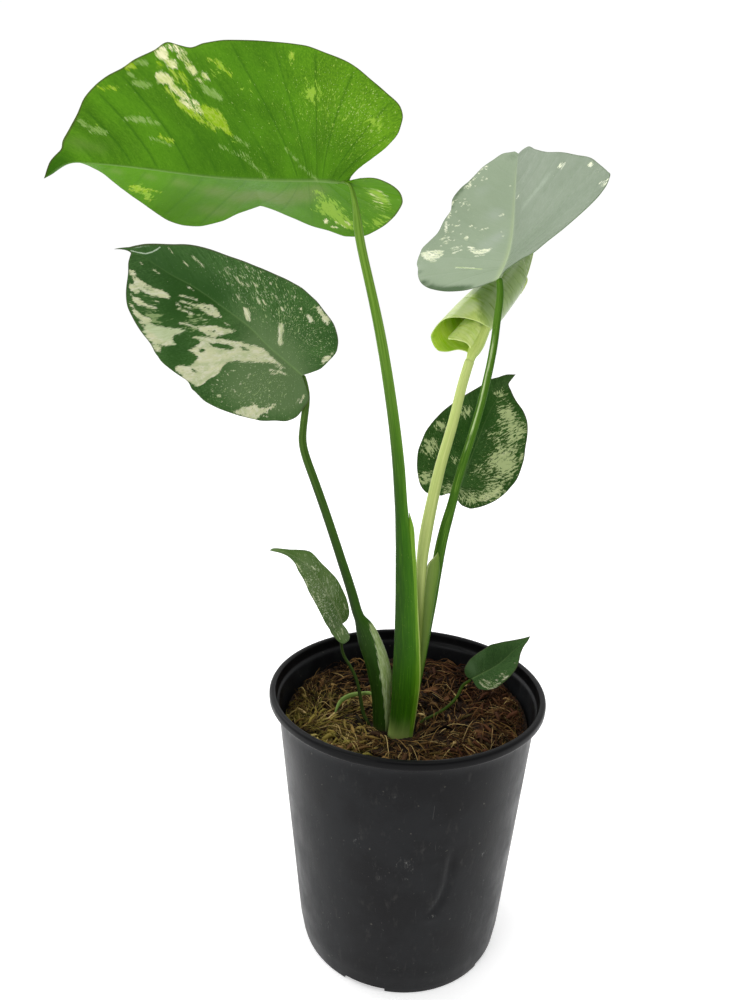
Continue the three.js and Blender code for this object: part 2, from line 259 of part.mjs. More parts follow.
const LEAF_5_NET = [
  [[28.3, 37, 273.3], [28.3, 37, 273.3], [28.3, 37, 273.3], [28.3, 37, 273.3], [28.3, 37, 273.3], [28.3, 37, 273.3], [28.3, 37, 273.3]],
  [[25.1, 37.2, 275.1], [26.2, 37.2, 274.6], [27.4, 37.1, 274.2], [28.5, 37.1, 273.8], [29.1, 36.6, 272.9], [29.6, 36, 271.8], [30, 35.3, 270.5]],
  [[21.2, 36.9, 274.6], [23.9, 37.1, 275], [26.5, 37.3, 275.2], [29, 37.5, 275.1], [30.5, 36.3, 273.3], [31.7, 34.9, 271], [32.9, 33.5, 268.4]],
  [[16.8, 36.6, 274.3], [21.1, 37, 275.1], [25.2, 37.3, 275.6], [29.2, 37.6, 275.5], [31.9, 35.8, 273.3], [34.4, 33.8, 270.5], [36.8, 31.8, 267.4]],
  [[12, 36.7, 275.2], [18, 37.1, 276], [23.8, 37.4, 276.5], [29.4, 37.7, 276.2], [33.5, 35.4, 274], [37.5, 33.1, 271.4], [41.4, 30.8, 268.5]],
  [[7.7, 37.2, 277.8], [15.2, 37.5, 278.1], [22.7, 37.8, 278], [29.8, 38, 277.2], [35.3, 35.3, 275.2], [40.7, 32.6, 272.9], [46.2, 30.1, 270.4]],
  [[5.2, 38.4, 282.5], [13.7, 38.2, 281.4], [22, 38.2, 280.1], [30.2, 38.3, 278.3], [37.1, 35.2, 276.6], [44, 32.3, 274.8], [51, 29.6, 273.1]],
  [[4.1, 39.8, 287.9], [12.9, 39.2, 285.2], [21.8, 38.8, 282.4], [30.6, 38.6, 279.5], [38.8, 35.3, 278.3], [47.1, 32.3, 277.4], [55.6, 29.7, 276.7]],
  [[3.7, 41.3, 293.5], [12.7, 40.1, 289.1], [21.9, 39.3, 284.8], [31.1, 38.9, 280.8], [40.3, 35.6, 280.3], [49.9, 32.7, 280.5], [59.7, 30.1, 281]],
  [[4, 42.9, 299.6], [13.1, 41.3, 293.6], [22.4, 40.1, 288.1], [31.9, 39.5, 283.1], [42, 36.1, 283.2], [52.5, 33.3, 284.3], [63.3, 30.9, 285.7]],
  [[6, 44.6, 305.9], [14.9, 42.7, 299.1], [24, 41.3, 292.7], [33.5, 40.6, 287.3], [43.7, 37.2, 287.7], [54.5, 34.5, 289.1], [65.7, 32.2, 291]],
  [[8.4, 46.2, 311.7], [17.1, 44.3, 304.7], [26, 42.8, 298.1], [35.3, 41.9, 292.4], [45.5, 38.7, 292.9], [56.3, 36, 294.5], [67.6, 33.9, 297]],
  [[11.7, 47.4, 316.7], [20.1, 45.7, 309.9], [28.5, 44.2, 303.4], [37.3, 43.4, 297.6], [47.2, 40.3, 298.3], [57.7, 37.8, 300.3], [68.5, 35.8, 303.2]],
  [[15.6, 48.5, 321.3], [23.3, 46.9, 314.6], [31.2, 45.6, 308.4], [39.4, 44.8, 303], [48.9, 41.9, 303.9], [59, 39.6, 306.3], [69.3, 37.5, 308.9]],
  [[20.4, 49.6, 325.9], [27.1, 48, 319.2], [34.1, 46.9, 313.3], [41.4, 46.2, 308.4], [50.5, 43.4, 309.5], [60.2, 41.1, 311.8], [69.9, 39, 313.8]],
  [[26, 50.7, 330.3], [31.3, 49.2, 323.8], [37.1, 48.1, 318.3], [43.4, 47.5, 313.9], [51.9, 44.9, 315], [60.9, 42.7, 316.8], [70, 40.8, 318.1]],
  [[31.9, 51.8, 334.1], [35.8, 50.4, 328.3], [40.4, 49.4, 323.2], [45.4, 48.8, 319.2], [52.9, 46.5, 320], [61, 44.6, 321.3], [69.3, 42.9, 322.4]],
  [[37.4, 52.9, 337.5], [40.4, 51.7, 332.4], [43.7, 50.7, 327.9], [47.6, 50.1, 324.2], [53.8, 48.3, 324.6], [60.5, 46.8, 325.7], [67.4, 45.4, 326.7]],
  [[42.5, 53.9, 340.6], [44.6, 52.9, 336.1], [47.1, 52, 332], [50, 51.4, 328.6], [54.5, 50, 328.8], [59.4, 48.9, 329.6], [64.6, 47.9, 330.4]],
  [[47.1, 54.9, 343.7], [48.6, 54, 339.6], [50.4, 53.2, 335.9], [52.6, 52.6, 332.8], [55.5, 51.7, 332.9], [58.8, 51, 333.5], [62.3, 50.4, 334.2]],
  [[51.9, 55.6, 345.3], [52.8, 54.8, 342.2], [53.9, 54.2, 339.3], [55.3, 53.7, 336.9], [56.9, 53.3, 337], [58.6, 53.1, 337.5], [60.5, 52.8, 338.1]],
  [[56.2, 56.6, 346.7], [56.7, 55.9, 344.5], [57.3, 55.3, 342.5], [58.2, 55, 340.7], [58.5, 55, 341], [59, 55.1, 341.3], [59.4, 55.2, 341.7]],
  [[60.2, 57.4, 347.4], [60.4, 57, 346.1], [60.6, 56.6, 345], [61, 56.4, 344.1], [61.1, 56.4, 344.1], [61.2, 56.5, 344.3], [61.4, 56.5, 344.4]],
  [[63.9, 58, 347.3], [63.9, 58, 347.3], [63.9, 58, 347.3], [63.9, 58, 347.3], [63.9, 58, 347.3], [63.9, 58, 347.3], [63.9, 58, 347.3]],
];
const LEAF_6_NET = [
  [[-39.9, 18.5, 195.3], [-39.9, 18.5, 195.3], [-39.9, 18.5, 195.3], [-39.9, 18.5, 195.3], [-39.9, 18.5, 195.3], [-39.9, 18.5, 195.3], [-39.9, 18.5, 195.3]],
  [[-37.9, 18, 193], [-38.9, 18.2, 194.1], [-39.7, 18.4, 195], [-40, 18.5, 195.7], [-39.4, 18.8, 195.9], [-38.7, 19, 196.2], [-38, 19.2, 196.5]],
  [[-36, 17, 190.5], [-37.9, 17.6, 192.8], [-39.5, 18.1, 194.7], [-40.2, 18.6, 196.3], [-39, 19, 196.8], [-37.7, 19.5, 197.5], [-36.5, 19.9, 198.2]],
  [[-35, 15, 188.2], [-37.6, 16.3, 191.6], [-39.8, 17.6, 194.5], [-40.4, 18.6, 196.9], [-38.8, 19.3, 198], [-37.2, 20, 199.4], [-35.7, 20.7, 200.9]],
  [[-36.1, 11.5, 186.9], [-38.7, 14, 191.2], [-40.9, 16.5, 195], [-40.9, 18.7, 198.3], [-39, 19.5, 199.8], [-37.3, 20.4, 201.8], [-35.8, 21.3, 204.1]],
  [[-38.5, 8, 186.8], [-40.8, 11.7, 191.6], [-42, 15.4, 196.1], [-41.5, 18.8, 199.8], [-39.5, 19.7, 201.8], [-37.9, 20.8, 204.6], [-36.7, 22, 207.8]],
  [[-42.2, 6.7, 189.5], [-43.5, 10.9, 193.7], [-43.1, 14.9, 198.2], [-42.1, 18.9, 201.5], [-40.2, 20, 204], [-38.8, 21.3, 207.5], [-37.9, 22.6, 211.4]],
  [[-45.4, 7.2, 193], [-44.9, 11.2, 197], [-43.9, 15.1, 200.6], [-43, 19, 203.3], [-41.2, 20.2, 206.4], [-40.2, 21.6, 210.3], [-39.3, 23, 214.6]],
  [[-47.6, 7.1, 197.1], [-46.2, 11, 200.2], [-45.1, 15.1, 203], [-44, 19.1, 205.2], [-42.5, 20.4, 208.7], [-41.6, 21.8, 213], [-40.8, 23.2, 217.7]],
  [[-49.6, 5.9, 200.8], [-48, 10.3, 203.1], [-46.6, 14.8, 205.3], [-45.1, 19.3, 207.2], [-43.8, 20.6, 211], [-43.1, 22, 215.7], [-42.6, 23.5, 221.1]],
  [[-51.6, 6.2, 204.9], [-50.1, 10.6, 206.8], [-48.5, 15, 208.6], [-46.9, 19.5, 210], [-45.7, 20.8, 213.8], [-45.1, 22.1, 218.7], [-45.1, 23.7, 224.5]],
  [[-54.1, 7.2, 209.6], [-52.4, 11.4, 211.2], [-50.8, 15.5, 212.5], [-49.1, 19.7, 213.7], [-48, 20.9, 217.3], [-47.6, 22.2, 222.1], [-48, 23.6, 227.6]],
  [[-56.6, 7.8, 214.3], [-54.8, 11.8, 215.4], [-53, 15.9, 216.4], [-51.2, 20, 217.4], [-50.3, 21.1, 220.9], [-50.3, 22.3, 225.5], [-50.9, 23.7, 230.7]],
  [[-59, 8.2, 218.5], [-57.1, 12.1, 219.4], [-55.2, 16.1, 220.2], [-53.4, 20.2, 221], [-52.8, 21.2, 224.4], [-53, 22.4, 228.7], [-54, 23.9, 233.8]],
  [[-61.2, 9.7, 222.9], [-59.3, 13.2, 223.4], [-57.5, 16.8, 223.9], [-55.8, 20.4, 224.5], [-55.3, 21.6, 227.9], [-55.6, 22.9, 232.2], [-57.2, 24.5, 237.2]],
  [[-63.6, 11.5, 227.1], [-61.8, 14.6, 227.3], [-60, 17.7, 227.6], [-58.5, 20.8, 228], [-58, 22, 231.2], [-58.8, 23.4, 235.4], [-60.8, 25.1, 240]],
  [[-66.1, 13.4, 230.4], [-64.4, 16, 230.7], [-62.8, 18.6, 230.9], [-61.4, 21.3, 231.2], [-61.5, 22.3, 234], [-62.8, 23.6, 237.4], [-64.9, 24.9, 240.9]],
  [[-68.1, 16.3, 233.1], [-66.9, 18.1, 233.4], [-65.7, 19.9, 233.6], [-64.7, 21.8, 234], [-65.3, 22.7, 236], [-66.7, 23.6, 238.5], [-68.7, 24.8, 241.1]],
  [[-70.5, 19.1, 235.6], [-69.7, 20.2, 235.7], [-68.9, 21.3, 235.9], [-68.3, 22.5, 236.2], [-69, 23.1, 237.6], [-70.5, 23.9, 239.3], [-72.4, 24.7, 241]],
  [[-73.7, 21.2, 237.5], [-73, 21.8, 237.6], [-72.4, 22.5, 237.8], [-71.9, 23.2, 237.9], [-72.7, 23.7, 238.9], [-74, 24.4, 240.1], [-75.8, 25.1, 241.2]],
  [[-77.1, 22.7, 238.7], [-76.5, 23.1, 238.8], [-76, 23.6, 239], [-75.6, 24.1, 239.1], [-76.3, 24.5, 239.8], [-77.5, 25, 240.5], [-78.9, 25.6, 241.2]],
  [[-80.5, 24, 239.1], [-80, 24.3, 239.3], [-79.5, 24.7, 239.5], [-79.2, 25, 239.7], [-79.8, 25.4, 240.2], [-80.7, 25.8, 240.7], [-81.8, 26.3, 241.2]],
  [[-83.5, 25.4, 239.2], [-83.2, 25.6, 239.3], [-82.9, 25.8, 239.5], [-82.7, 26, 239.6], [-83, 26.2, 240], [-83.6, 26.5, 240.3], [-84.2, 26.8, 240.6]],
  [[-86.1, 27, 239.3], [-86.1, 27, 239.3], [-86.1, 27, 239.3], [-86.1, 27, 239.3], [-86.1, 27, 239.3], [-86.1, 27, 239.3], [-86.1, 27, 239.3]],
];
const LEAF_7_NET = [
  [[41.7, 17, 160.8], [41.7, 17, 160.8], [41.7, 17, 160.8], [41.7, 17, 160.8], [41.7, 17, 160.8], [41.7, 17, 160.8], [41.7, 17, 160.8]],
  [[40, 17.2, 161.1], [40.7, 17.2, 161.1], [41.4, 17.1, 161], [42, 17.1, 160.9], [42.2, 16.6, 160.6], [42.4, 16.2, 160.3], [42.7, 15.8, 160]],
  [[38.4, 17.8, 162.2], [39.9, 17.6, 161.9], [41.3, 17.4, 161.6], [42.3, 17.1, 161.1], [42.7, 16.2, 160.4], [43, 15.2, 159.7], [43.3, 14.3, 159]],
  [[37.4, 18.7, 163.9], [39.4, 18.2, 163.2], [41.2, 17.7, 162.3], [42.8, 17.2, 161.3], [43.4, 15.7, 160.2], [43.9, 14.2, 159.1], [44.3, 12.7, 157.9]],
  [[37.3, 19.7, 166.1], [39.5, 18.9, 164.7], [41.5, 18.2, 163.2], [43.2, 17.3, 161.5], [44.1, 15.3, 160.1], [44.9, 13.3, 158.6], [45.7, 11.3, 157.1]],
  [[38.4, 20.8, 168.2], [40.3, 19.6, 166.2], [42.1, 18.5, 164], [43.8, 17.4, 161.8], [45.2, 15, 160.2], [46.6, 12.6, 158.6], [48, 10.3, 157]],
  [[39.9, 21.8, 170.4], [41.3, 20.3, 167.6], [42.8, 18.9, 164.8], [44.4, 17.6, 162.1], [46.3, 14.9, 160.4], [48.3, 12.3, 158.8], [50.5, 9.7, 157.2]],
  [[41.8, 22.7, 172.4], [42.7, 21, 169], [43.8, 19.3, 165.7], [45.1, 17.7, 162.4], [47.4, 14.9, 160.8], [50.1, 12.2, 159.3], [53, 9.6, 157.8]],
  [[44.1, 23.5, 174.2], [44.8, 21.6, 170.5], [45.6, 19.8, 166.8], [46.8, 18.1, 163.3], [49.4, 15.2, 161.6], [52.4, 12.4, 160.2], [55.7, 9.7, 158.8]],
  [[46.5, 24.2, 175.7], [47.1, 22.2, 171.9], [47.9, 20.3, 168], [49, 18.5, 164.3], [51.7, 15.7, 162.7], [54.9, 12.9, 161.4], [58.4, 10.4, 160.2]],
  [[48.7, 24.8, 177], [49.5, 22.8, 173.1], [50.3, 20.8, 169.2], [51.4, 19, 165.5], [54.1, 16.3, 164], [57.4, 13.8, 162.9], [61.1, 11.4, 162]],
  [[50.8, 25.4, 178.2], [51.8, 23.3, 174.3], [52.7, 21.4, 170.5], [53.9, 19.5, 166.7], [56.6, 17, 165.5], [59.9, 14.6, 164.6], [63.8, 12.5, 164.1]],
  [[52.5, 25.9, 179.3], [53.9, 23.9, 175.6], [55, 21.9, 171.8], [56.3, 20.1, 168], [59.1, 17.8, 167], [62.5, 15.6, 166.5], [66.4, 13.8, 166.4]],
  [[54.5, 26.2, 180.4], [55.9, 24.3, 176.7], [57.2, 22.4, 173], [58.7, 20.7, 169.5], [61.5, 18.6, 168.8], [64.8, 16.8, 168.6], [68.6, 15.1, 168.8]],
  [[57.3, 26.4, 181.1], [58.4, 24.6, 177.7], [59.6, 22.9, 174.3], [61.1, 21.4, 171.2], [63.7, 19.6, 170.8], [66.7, 18.1, 170.9], [70.1, 16.7, 171.2]],
  [[60.3, 26.6, 181.9], [61.1, 24.9, 178.7], [62.1, 23.4, 175.8], [63.4, 22.1, 173.1], [65.6, 20.7, 172.9], [68.3, 19.5, 173], [71.1, 18.3, 173.3]],
  [[63.4, 26.8, 182.6], [63.8, 25.3, 179.8], [64.5, 24, 177.2], [65.5, 22.9, 174.9], [67.3, 21.9, 174.9], [69.5, 20.9, 175.1], [71.8, 20.1, 175.3]],
  [[66.4, 27, 183], [66.5, 25.8, 180.8], [66.9, 24.7, 178.6], [67.6, 23.7, 176.8], [69.1, 23, 176.8], [70.8, 22.4, 176.9], [72.7, 21.8, 177.2]],
  [[69.1, 27.3, 183.5], [69.1, 26.3, 181.7], [69.3, 25.4, 180], [69.8, 24.6, 178.5], [70.9, 24.1, 178.5], [72.3, 23.7, 178.7], [73.8, 23.4, 178.9]],
  [[71.6, 27.8, 183.8], [71.5, 26.9, 182.5], [71.6, 26.1, 181.2], [71.9, 25.5, 180], [72.8, 25.2, 180], [73.9, 25, 180.2], [75.1, 24.9, 180.5]],
  [[73.8, 28.3, 184.1], [73.8, 27.6, 183.2], [73.8, 27, 182.2], [74, 26.5, 181.4], [74.7, 26.3, 181.4], [75.6, 26.2, 181.6], [76.5, 26.2, 181.8]],
  [[75.9, 28.8, 184.4], [75.8, 28.4, 183.8], [75.8, 28, 183.2], [75.9, 27.6, 182.7], [76.4, 27.5, 182.7], [77.1, 27.5, 182.8], [77.8, 27.5, 183]],
  [[77.8, 29.4, 184.7], [77.8, 29.2, 184.4], [77.7, 29, 184.1], [77.8, 28.8, 183.9], [78, 28.8, 183.9], [78.4, 28.7, 184], [78.8, 28.8, 184]],
  [[79.5, 30, 185], [79.5, 30, 185], [79.5, 30, 185], [79.5, 30, 185], [79.5, 30, 185], [79.5, 30, 185], [79.5, 30, 185]],
];

// The youngest blade is still rolled up around this axis, open end first.
const ROLL_AXIS = [
  [16.6, 6.5, 366.4], [21.2, 10.5, 371.2], [28.4, 16.5, 378.7], [37.3, 24, 387.8], [46.5, 32, 397.4], [53.3, 38.5, 405.4],
  [57.6, 44, 412.1], [61.3, 49.5, 420], [64.7, 55, 428.3], [68.1, 60, 436.7], [71.1, 64.5, 444.5],
];
const ROLL_AXIS_START = 7.73;      // distance along the axis of station 0
const ROLL_RADIUS = 11.5;          // radius of the roll at the midrib
const ROLL_PITCH = 1.6;            // growth of the radius in one turn
const ROLL_MIDRIB_ANGLE = -75;     // where the midrib lies on the roll, degrees
const ROLL_SHEET = 0.62;           // thickness of the rolled blade
const ROLL_TAPER = [[-12, 1.02], [0, 1], [15, 0.97], [30, 0.9], [45, 0.8], [55, 0.72], [65, 0.6], [80, 0.46], [105, 0.3]];
// Extent of the sheet along the axis against the wrap angle from the midrib:
// negative angles are the outer half, positive angles the inner half.
const ROLL_LOW = [[-375, 24], [-356, 14.8], [-332, 10.6], [-307, 7.6], [-280, 4.2], [-254, 1.3], [-230, -0.5], [-205, -2.6],
  [-190, -6], [-174, -9.6], [-150, -10], [-126, -7.9], [-103, -3.8], [-89, 1], [-67, 1.6], [-35, -1], [-14, -4.4], [0, -4.4], [14, -4.4], [40, -4.4], [80, -7], [119, -8.9],
  [154, -3.5], [200, 1], [260, 6], [320, 11], [380, 17], [430, 28]];
const ROLL_HIGH = [[-375, 42], [-367, 50], [-340, 56], [-300, 61], [-240, 67], [-180, 75], [-120, 84], [-60, 94], [0, 103],
  [60, 95], [120, 86], [180, 77], [240, 69], [300, 61], [360, 52], [430, 36]];
const ROLL_ROWS = 9;

// ------------------------------------------------------------------- helpers

const V = (a) => new THREE.Vector3(a[0], a[1], a[2]);

function lerpTable(table, x) {
  if (x <= table[0][0]) return table[0][1];
  for (let i = 1; i < table.length; i++) {
    if (x <= table[i][0]) {
      const [x0, y0] = table[i - 1];
      const [x1, y1] = table[i];
      return y0 + (y1 - y0) * (x - x0) / (x1 - x0);
    }
  }
  return table[table.length - 1][1];
}

// Builds an indexed body from a list of points and a list of faces.
function body(points, faces) {
  const geometry = new THREE.BufferGeometry();
  geometry.setAttribute('position', new THREE.Float32BufferAttribute(points.flatMap((p) => [p.x, p.y, p.z]), 3));
  geometry.setIndex(faces.flat());
  return geometry;
}

// A stalk swept along stations with an elliptical section that varies on the way.
// The half width is measured across the line of sight along Y; the last ring is
// level, so that it stands on the crown.
function sweptBody(run, sides, { grow = 0, levelEnd = true } = {}) {
  const centre = run.map(V);
  let n = centre.length;
  const points = [];
  const faces = [];
  const lead = new THREE.Vector3().subVectors(centre[0], centre[1]).normalize();
  const tangents = centre.map((_, i) => new THREE.Vector3()
    .subVectors(centre[Math.min(i + 1, n - 1)], centre[Math.max(i - 1, 0)]).normalize());
  if (levelEnd) tangents[n - 1].set(0, 0, -1);
  const width = run.map((p) => p[3] + grow);
  const depth = run.map((p) => p[4] + grow);
  if (grow) {
    centre[0].addScaledVector(lead, grow);
    centre.push(centre[n - 1].clone().addScaledVector(tangents[n - 1], grow));
    tangents.push(tangents[n - 1].clone());
    width.push(width[n - 1]);
    depth.push(depth[n - 1]);
    n += 1;
  }
  for (let i = 0; i < n; i++) {
    const tangent = tangents[i];
    const across = new THREE.Vector3().crossVectors(new THREE.Vector3(0, 1, 0), tangent);
    if (across.lengthSq() < 1e-4) across.set(1, 0, 0);
    across.normalize();
    const deep = new THREE.Vector3().crossVectors(tangent, across);
    for (let k = 0; k < sides; k++) {
      const t = (k / sides) * 2 * Math.PI;
      points.push(centre[i].clone()
        .addScaledVector(across, Math.cos(t) * width[i])
        .addScaledVector(deep, Math.sin(t) * depth[i]));
    }
  }
  for (let i = 0; i < n - 1; i++) {
    for (let k = 0; k < sides; k++) {
      const p = i * sides + k;
      const q = i * sides + (k + 1) % sides;
      faces.push([p, q, q + sides], [p, q + sides, p + sides]);
    }
  }
  const first = points.length;
  points.push(centre[0].clone().addScaledVector(lead, grow ? 0 : Math.min(run[0][3], run[0][4]) * 0.45));
  points.push(centre[n - 1].clone());
  for (let k = 0; k < sides; k++) {
    const k1 = (k + 1) % sides;
    faces.push([first, k1, k]);
    faces.push([first + 1, (n - 1) * sides + k, (n - 1) * sides + k1]);
  }
  return body(points, faces);
}

// A sheet of given thickness around a net of points; rows that have shrunk to one
// point (the petiole end and the tip of a blade) become a single pair of points.
function sheetBody(net, thicknessAt, pinched = true) {
  const rows = net.length;
  const columns = net[0].length;
  const P = net.map((row) => row.map((p) => (p.isVector3 ? p.clone() : V(p))));
  const normals = P.map((row, i) => row.map((_, j) => {
    const along = new THREE.Vector3();
    const i0 = Math.max(i - 1, 0);
    const i1 = Math.min(i + 1, rows - 1);
    const j0 = Math.max(j - 1, 0);
    const j1 = Math.min(j + 1, columns - 1);
    along.subVectors(P[i1][j], P[i0][j]);
    const across = new THREE.Vector3().subVectors(P[i][j1], P[i][j0]);
    return across.cross(along).normalize();
  }));
  if (pinched) {
    const mean = (row) => row.reduce((s, n) => s.add(n), new THREE.Vector3()).normalize();
    const a = mean(normals[1].map((n) => n.clone()));
    const b = mean(normals[rows - 2].map((n) => n.clone()));
    normals[0] = normals[0].map(() => a);
    normals[rows - 1] = normals[rows - 1].map(() => b);
  }
  const points = [];
  const faces = [];
  const index = [];
  for (const sign of [1, -1]) {
    index.push(P.map((row, i) => {
      const single = pinched && (i === 0 || i === rows - 1);
      let shared = -1;
      return row.map((p, j) => {
        if (single && shared >= 0) return shared;
        const half = thicknessAt(i, j) / 2;
        points.push(p.clone().addScaledVector(normals[i][j], sign * half));
        shared = points.length - 1;
        return shared;
      });
    }));
  }
  const [top, under] = index;
  const add = (a, b, c) => {
    if (a !== b && b !== c && a !== c) faces.push([a, b, c]);
  };
  for (let i = 0; i < rows - 1; i++) {
    for (let j = 0; j < columns - 1; j++) {
      add(top[i][j], top[i][j + 1], top[i + 1][j + 1]);
      add(top[i][j], top[i + 1][j + 1], top[i + 1][j]);
      add(under[i][j], under[i + 1][j + 1], under[i][j + 1]);
      add(under[i][j], under[i + 1][j], under[i + 1][j + 1]);
    }
    const last = columns - 1;
    add(top[i][0], top[i + 1][0], under[i + 1][0]);
    add(top[i][0], under[i + 1][0], under[i][0]);
    add(top[i][last], under[i + 1][last], top[i + 1][last]);
    add(top[i][last], under[i][last], under[i + 1][last]);
  }
  if (!pinched) {
    for (let j = 0; j < columns - 1; j++) {
      const r = rows - 1;
      add(top[0][j], under[0][j + 1], top[0][j + 1]);
      add(top[0][j], under[0][j], under[0][j + 1]);
      add(top[r][j], top[r][j + 1], under[r][j + 1]);
      add(top[r][j], under[r][j + 1], under[r][j]);
    }
  }
  return body(points, faces);
}

function bladeBody(net) {
  const last = net[0].length - 1;
  const middle = last / 2;
  return sheetBody(net, (i, j) => {
    const out = Math.abs(j - middle) / middle;
    const thin = BLADE_THICKNESS + (BLADE_EDGE - BLADE_THICKNESS) * out;
    return i === 0 || i === net.length - 1 ? BLADE_EDGE : thin;
  });
}

// The rolled blade: one sheet wound about its axis, the inner half on a smaller
// circle beside the midrib, the outer half around everything.
function rolledNet() {
  const curve = new THREE.CatmullRomCurve3(ROLL_AXIS.map(V), false, 'centripetal');
  const length = curve.getLength();
  const along = (s) => {
    const u = Math.min(Math.max((s + ROLL_AXIS_START) / length, 0), 1);
    return { point: curve.getPointAt(u), tangent: curve.getTangentAt(u) };
  };
  const view = new THREE.Vector3(0.19, 0.975, -0.115).normalize();
  const radians = Math.PI / 180;
  const innerCentre = -4.5;
  const x0 = ROLL_RADIUS * Math.sin(ROLL_MIDRIB_ANGLE * radians);
  const z0 = ROLL_RADIUS * Math.cos(ROLL_MIDRIB_ANGLE * radians);
  const innerRadius = Math.hypot(x0 - innerCentre, z0);
  const innerStart = Math.atan2(x0 - innerCentre, z0) / radians;
  const section = (w, k) => {
    if (w <= 0) {
      const t = (ROLL_MIDRIB_ANGLE + w) * radians;
      const r = ROLL_RADIUS * k + ROLL_PITCH * (-w / 360);
      return [r * Math.sin(t), r * Math.cos(t)];
    }
    const t = (innerStart + w) * radians;
    const r = k * lerpTable([[0, innerRadius], [90, 7.9], [160, 7.9], [430, 7.2]], w) - ROLL_PITCH * Math.max(w - 160, 0) / 250;
    const shift = innerCentre * k;
    return [shift + r * Math.sin(t), r * Math.cos(t)];
  };
  const columns = [];
  for (let w = -375; w < 0; w += 25) columns.push(w);
  for (let w = 0; w <= 430; w += 21.5) columns.push(w);
  const net = [];
  for (let i = 0; i < ROLL_ROWS; i++) {
    net.push(columns.map((w) => {
      const low = lerpTable(ROLL_LOW, w);
      const high = lerpTable(ROLL_HIGH, w);
      const s = low + (high - low) * i / (ROLL_ROWS - 1);
      const { point, tangent } = along(s);
      const near = view.clone().negate();
      near.addScaledVector(tangent, -near.dot(tangent)).normalize();
      const side = new THREE.Vector3().crossVectors(near, tangent);
      if (side.x > 0) side.negate();
      const [x, z] = section(w, lerpTable(ROLL_TAPER, s));
      return point.addScaledVector(side, x).addScaledVector(near, z);
    }));
  }
  return net;
}

// ----------------------------------------------------------------------- pot

// Outside radius of the wall at a height.
const wallRadius = (z) => lerpTable([[0, 61.5], [13.3, 63.7], [153, 76.9], [157, 77.8], [160, 79.2], [165, 79.9]], z);

function potGeometry() {
  const w = POT_WALL;
  const lipBottom = POT_HEIGHT - POT_LIP_DEPTH;
  const profile = [
    [0, 0],
    [POT_HUB_RADIUS, 0],
    [POT_HUB_RADIUS + 1, POT_FLOOR_LIFT],
    [POT_BASE_RADIUS - POT_FOOT_WIDTH, POT_FLOOR_LIFT],
    [POT_BASE_RADIUS - POT_FOOT_WIDTH, 0],
    [POT_BASE_RADIUS - 0.6, 0],
    [POT_BASE_RADIUS, 0.6],
    [wallRadius(13.3), 13.3],
    [wallRadius(60), 60],
    [wallRadius(108), 108],
    [wallRadius(153), 153],
    [wallRadius(157), 157],
    [wallRadius(lipBottom), lipBottom],
    [POT_RIM_RADIUS - 0.5, lipBottom],
    [POT_RIM_RADIUS, lipBottom + 0.6],
    [POT_RIM_RADIUS, POT_HEIGHT - 1.3],
    [POT_RIM_RADIUS - 0.5, POT_HEIGHT - 0.4],
    [POT_RIM_RADIUS - 1.3, POT_HEIGHT],
    [POT_RIM_RADIUS - 3.2, POT_HEIGHT],
    [78.6, POT_HEIGHT - 0.7],
    [78.0, 158.6],
    [76.5, 157.4],
    [wallRadius(153) - w, 153],
    [wallRadius(108) - w, 108],
    [wallRadius(60) - w, 60],
    [wallRadius(13.3) - w, 13.3],
    [wallRadius(7) - w, 7],
    [wallRadius(4.5) - w - 1.2, POT_FLOOR_LIFT + POT_FLOOR],
    [0, POT_FLOOR_LIFT + POT_FLOOR],
  ];
  return new THREE.LatheGeometry(profile.map(([r, z]) => new THREE.Vector2(r, z)), POT_SIDES).rotateX(Math.PI / 2);
}

// Height of the top of the potting mix.
function mixTop(x, y) {
  const r = Math.hypot(x, y);
  const t = Math.atan2(y, x);
  const degrees = (t * 180 / Math.PI + 360) % 360;
  const edge = lerpTable([[0, 145.5], [30, 147], [90, 146], [135, 147], [180, 142.5], [225, 141], [270, 141.5], [305, 139],
    [325, 136.5], [345, 140.5], [360, 145.5]], degrees);
  const far = Math.min(r / 72, 1);
  const lumps = 0.9 * Math.sin(0.19 * x + 1.1) * Math.cos(0.16 * y - 0.4) + 0.6 * Math.sin(0.31 * x - 0.27 * y + 2);
  const calm = Math.min(Math.hypot(x + 6, y + 14) / 34, 1);
  return 143.9 + (edge - 143.9) * far * far + lumps * calm * (1 - 0.5 * far);
}

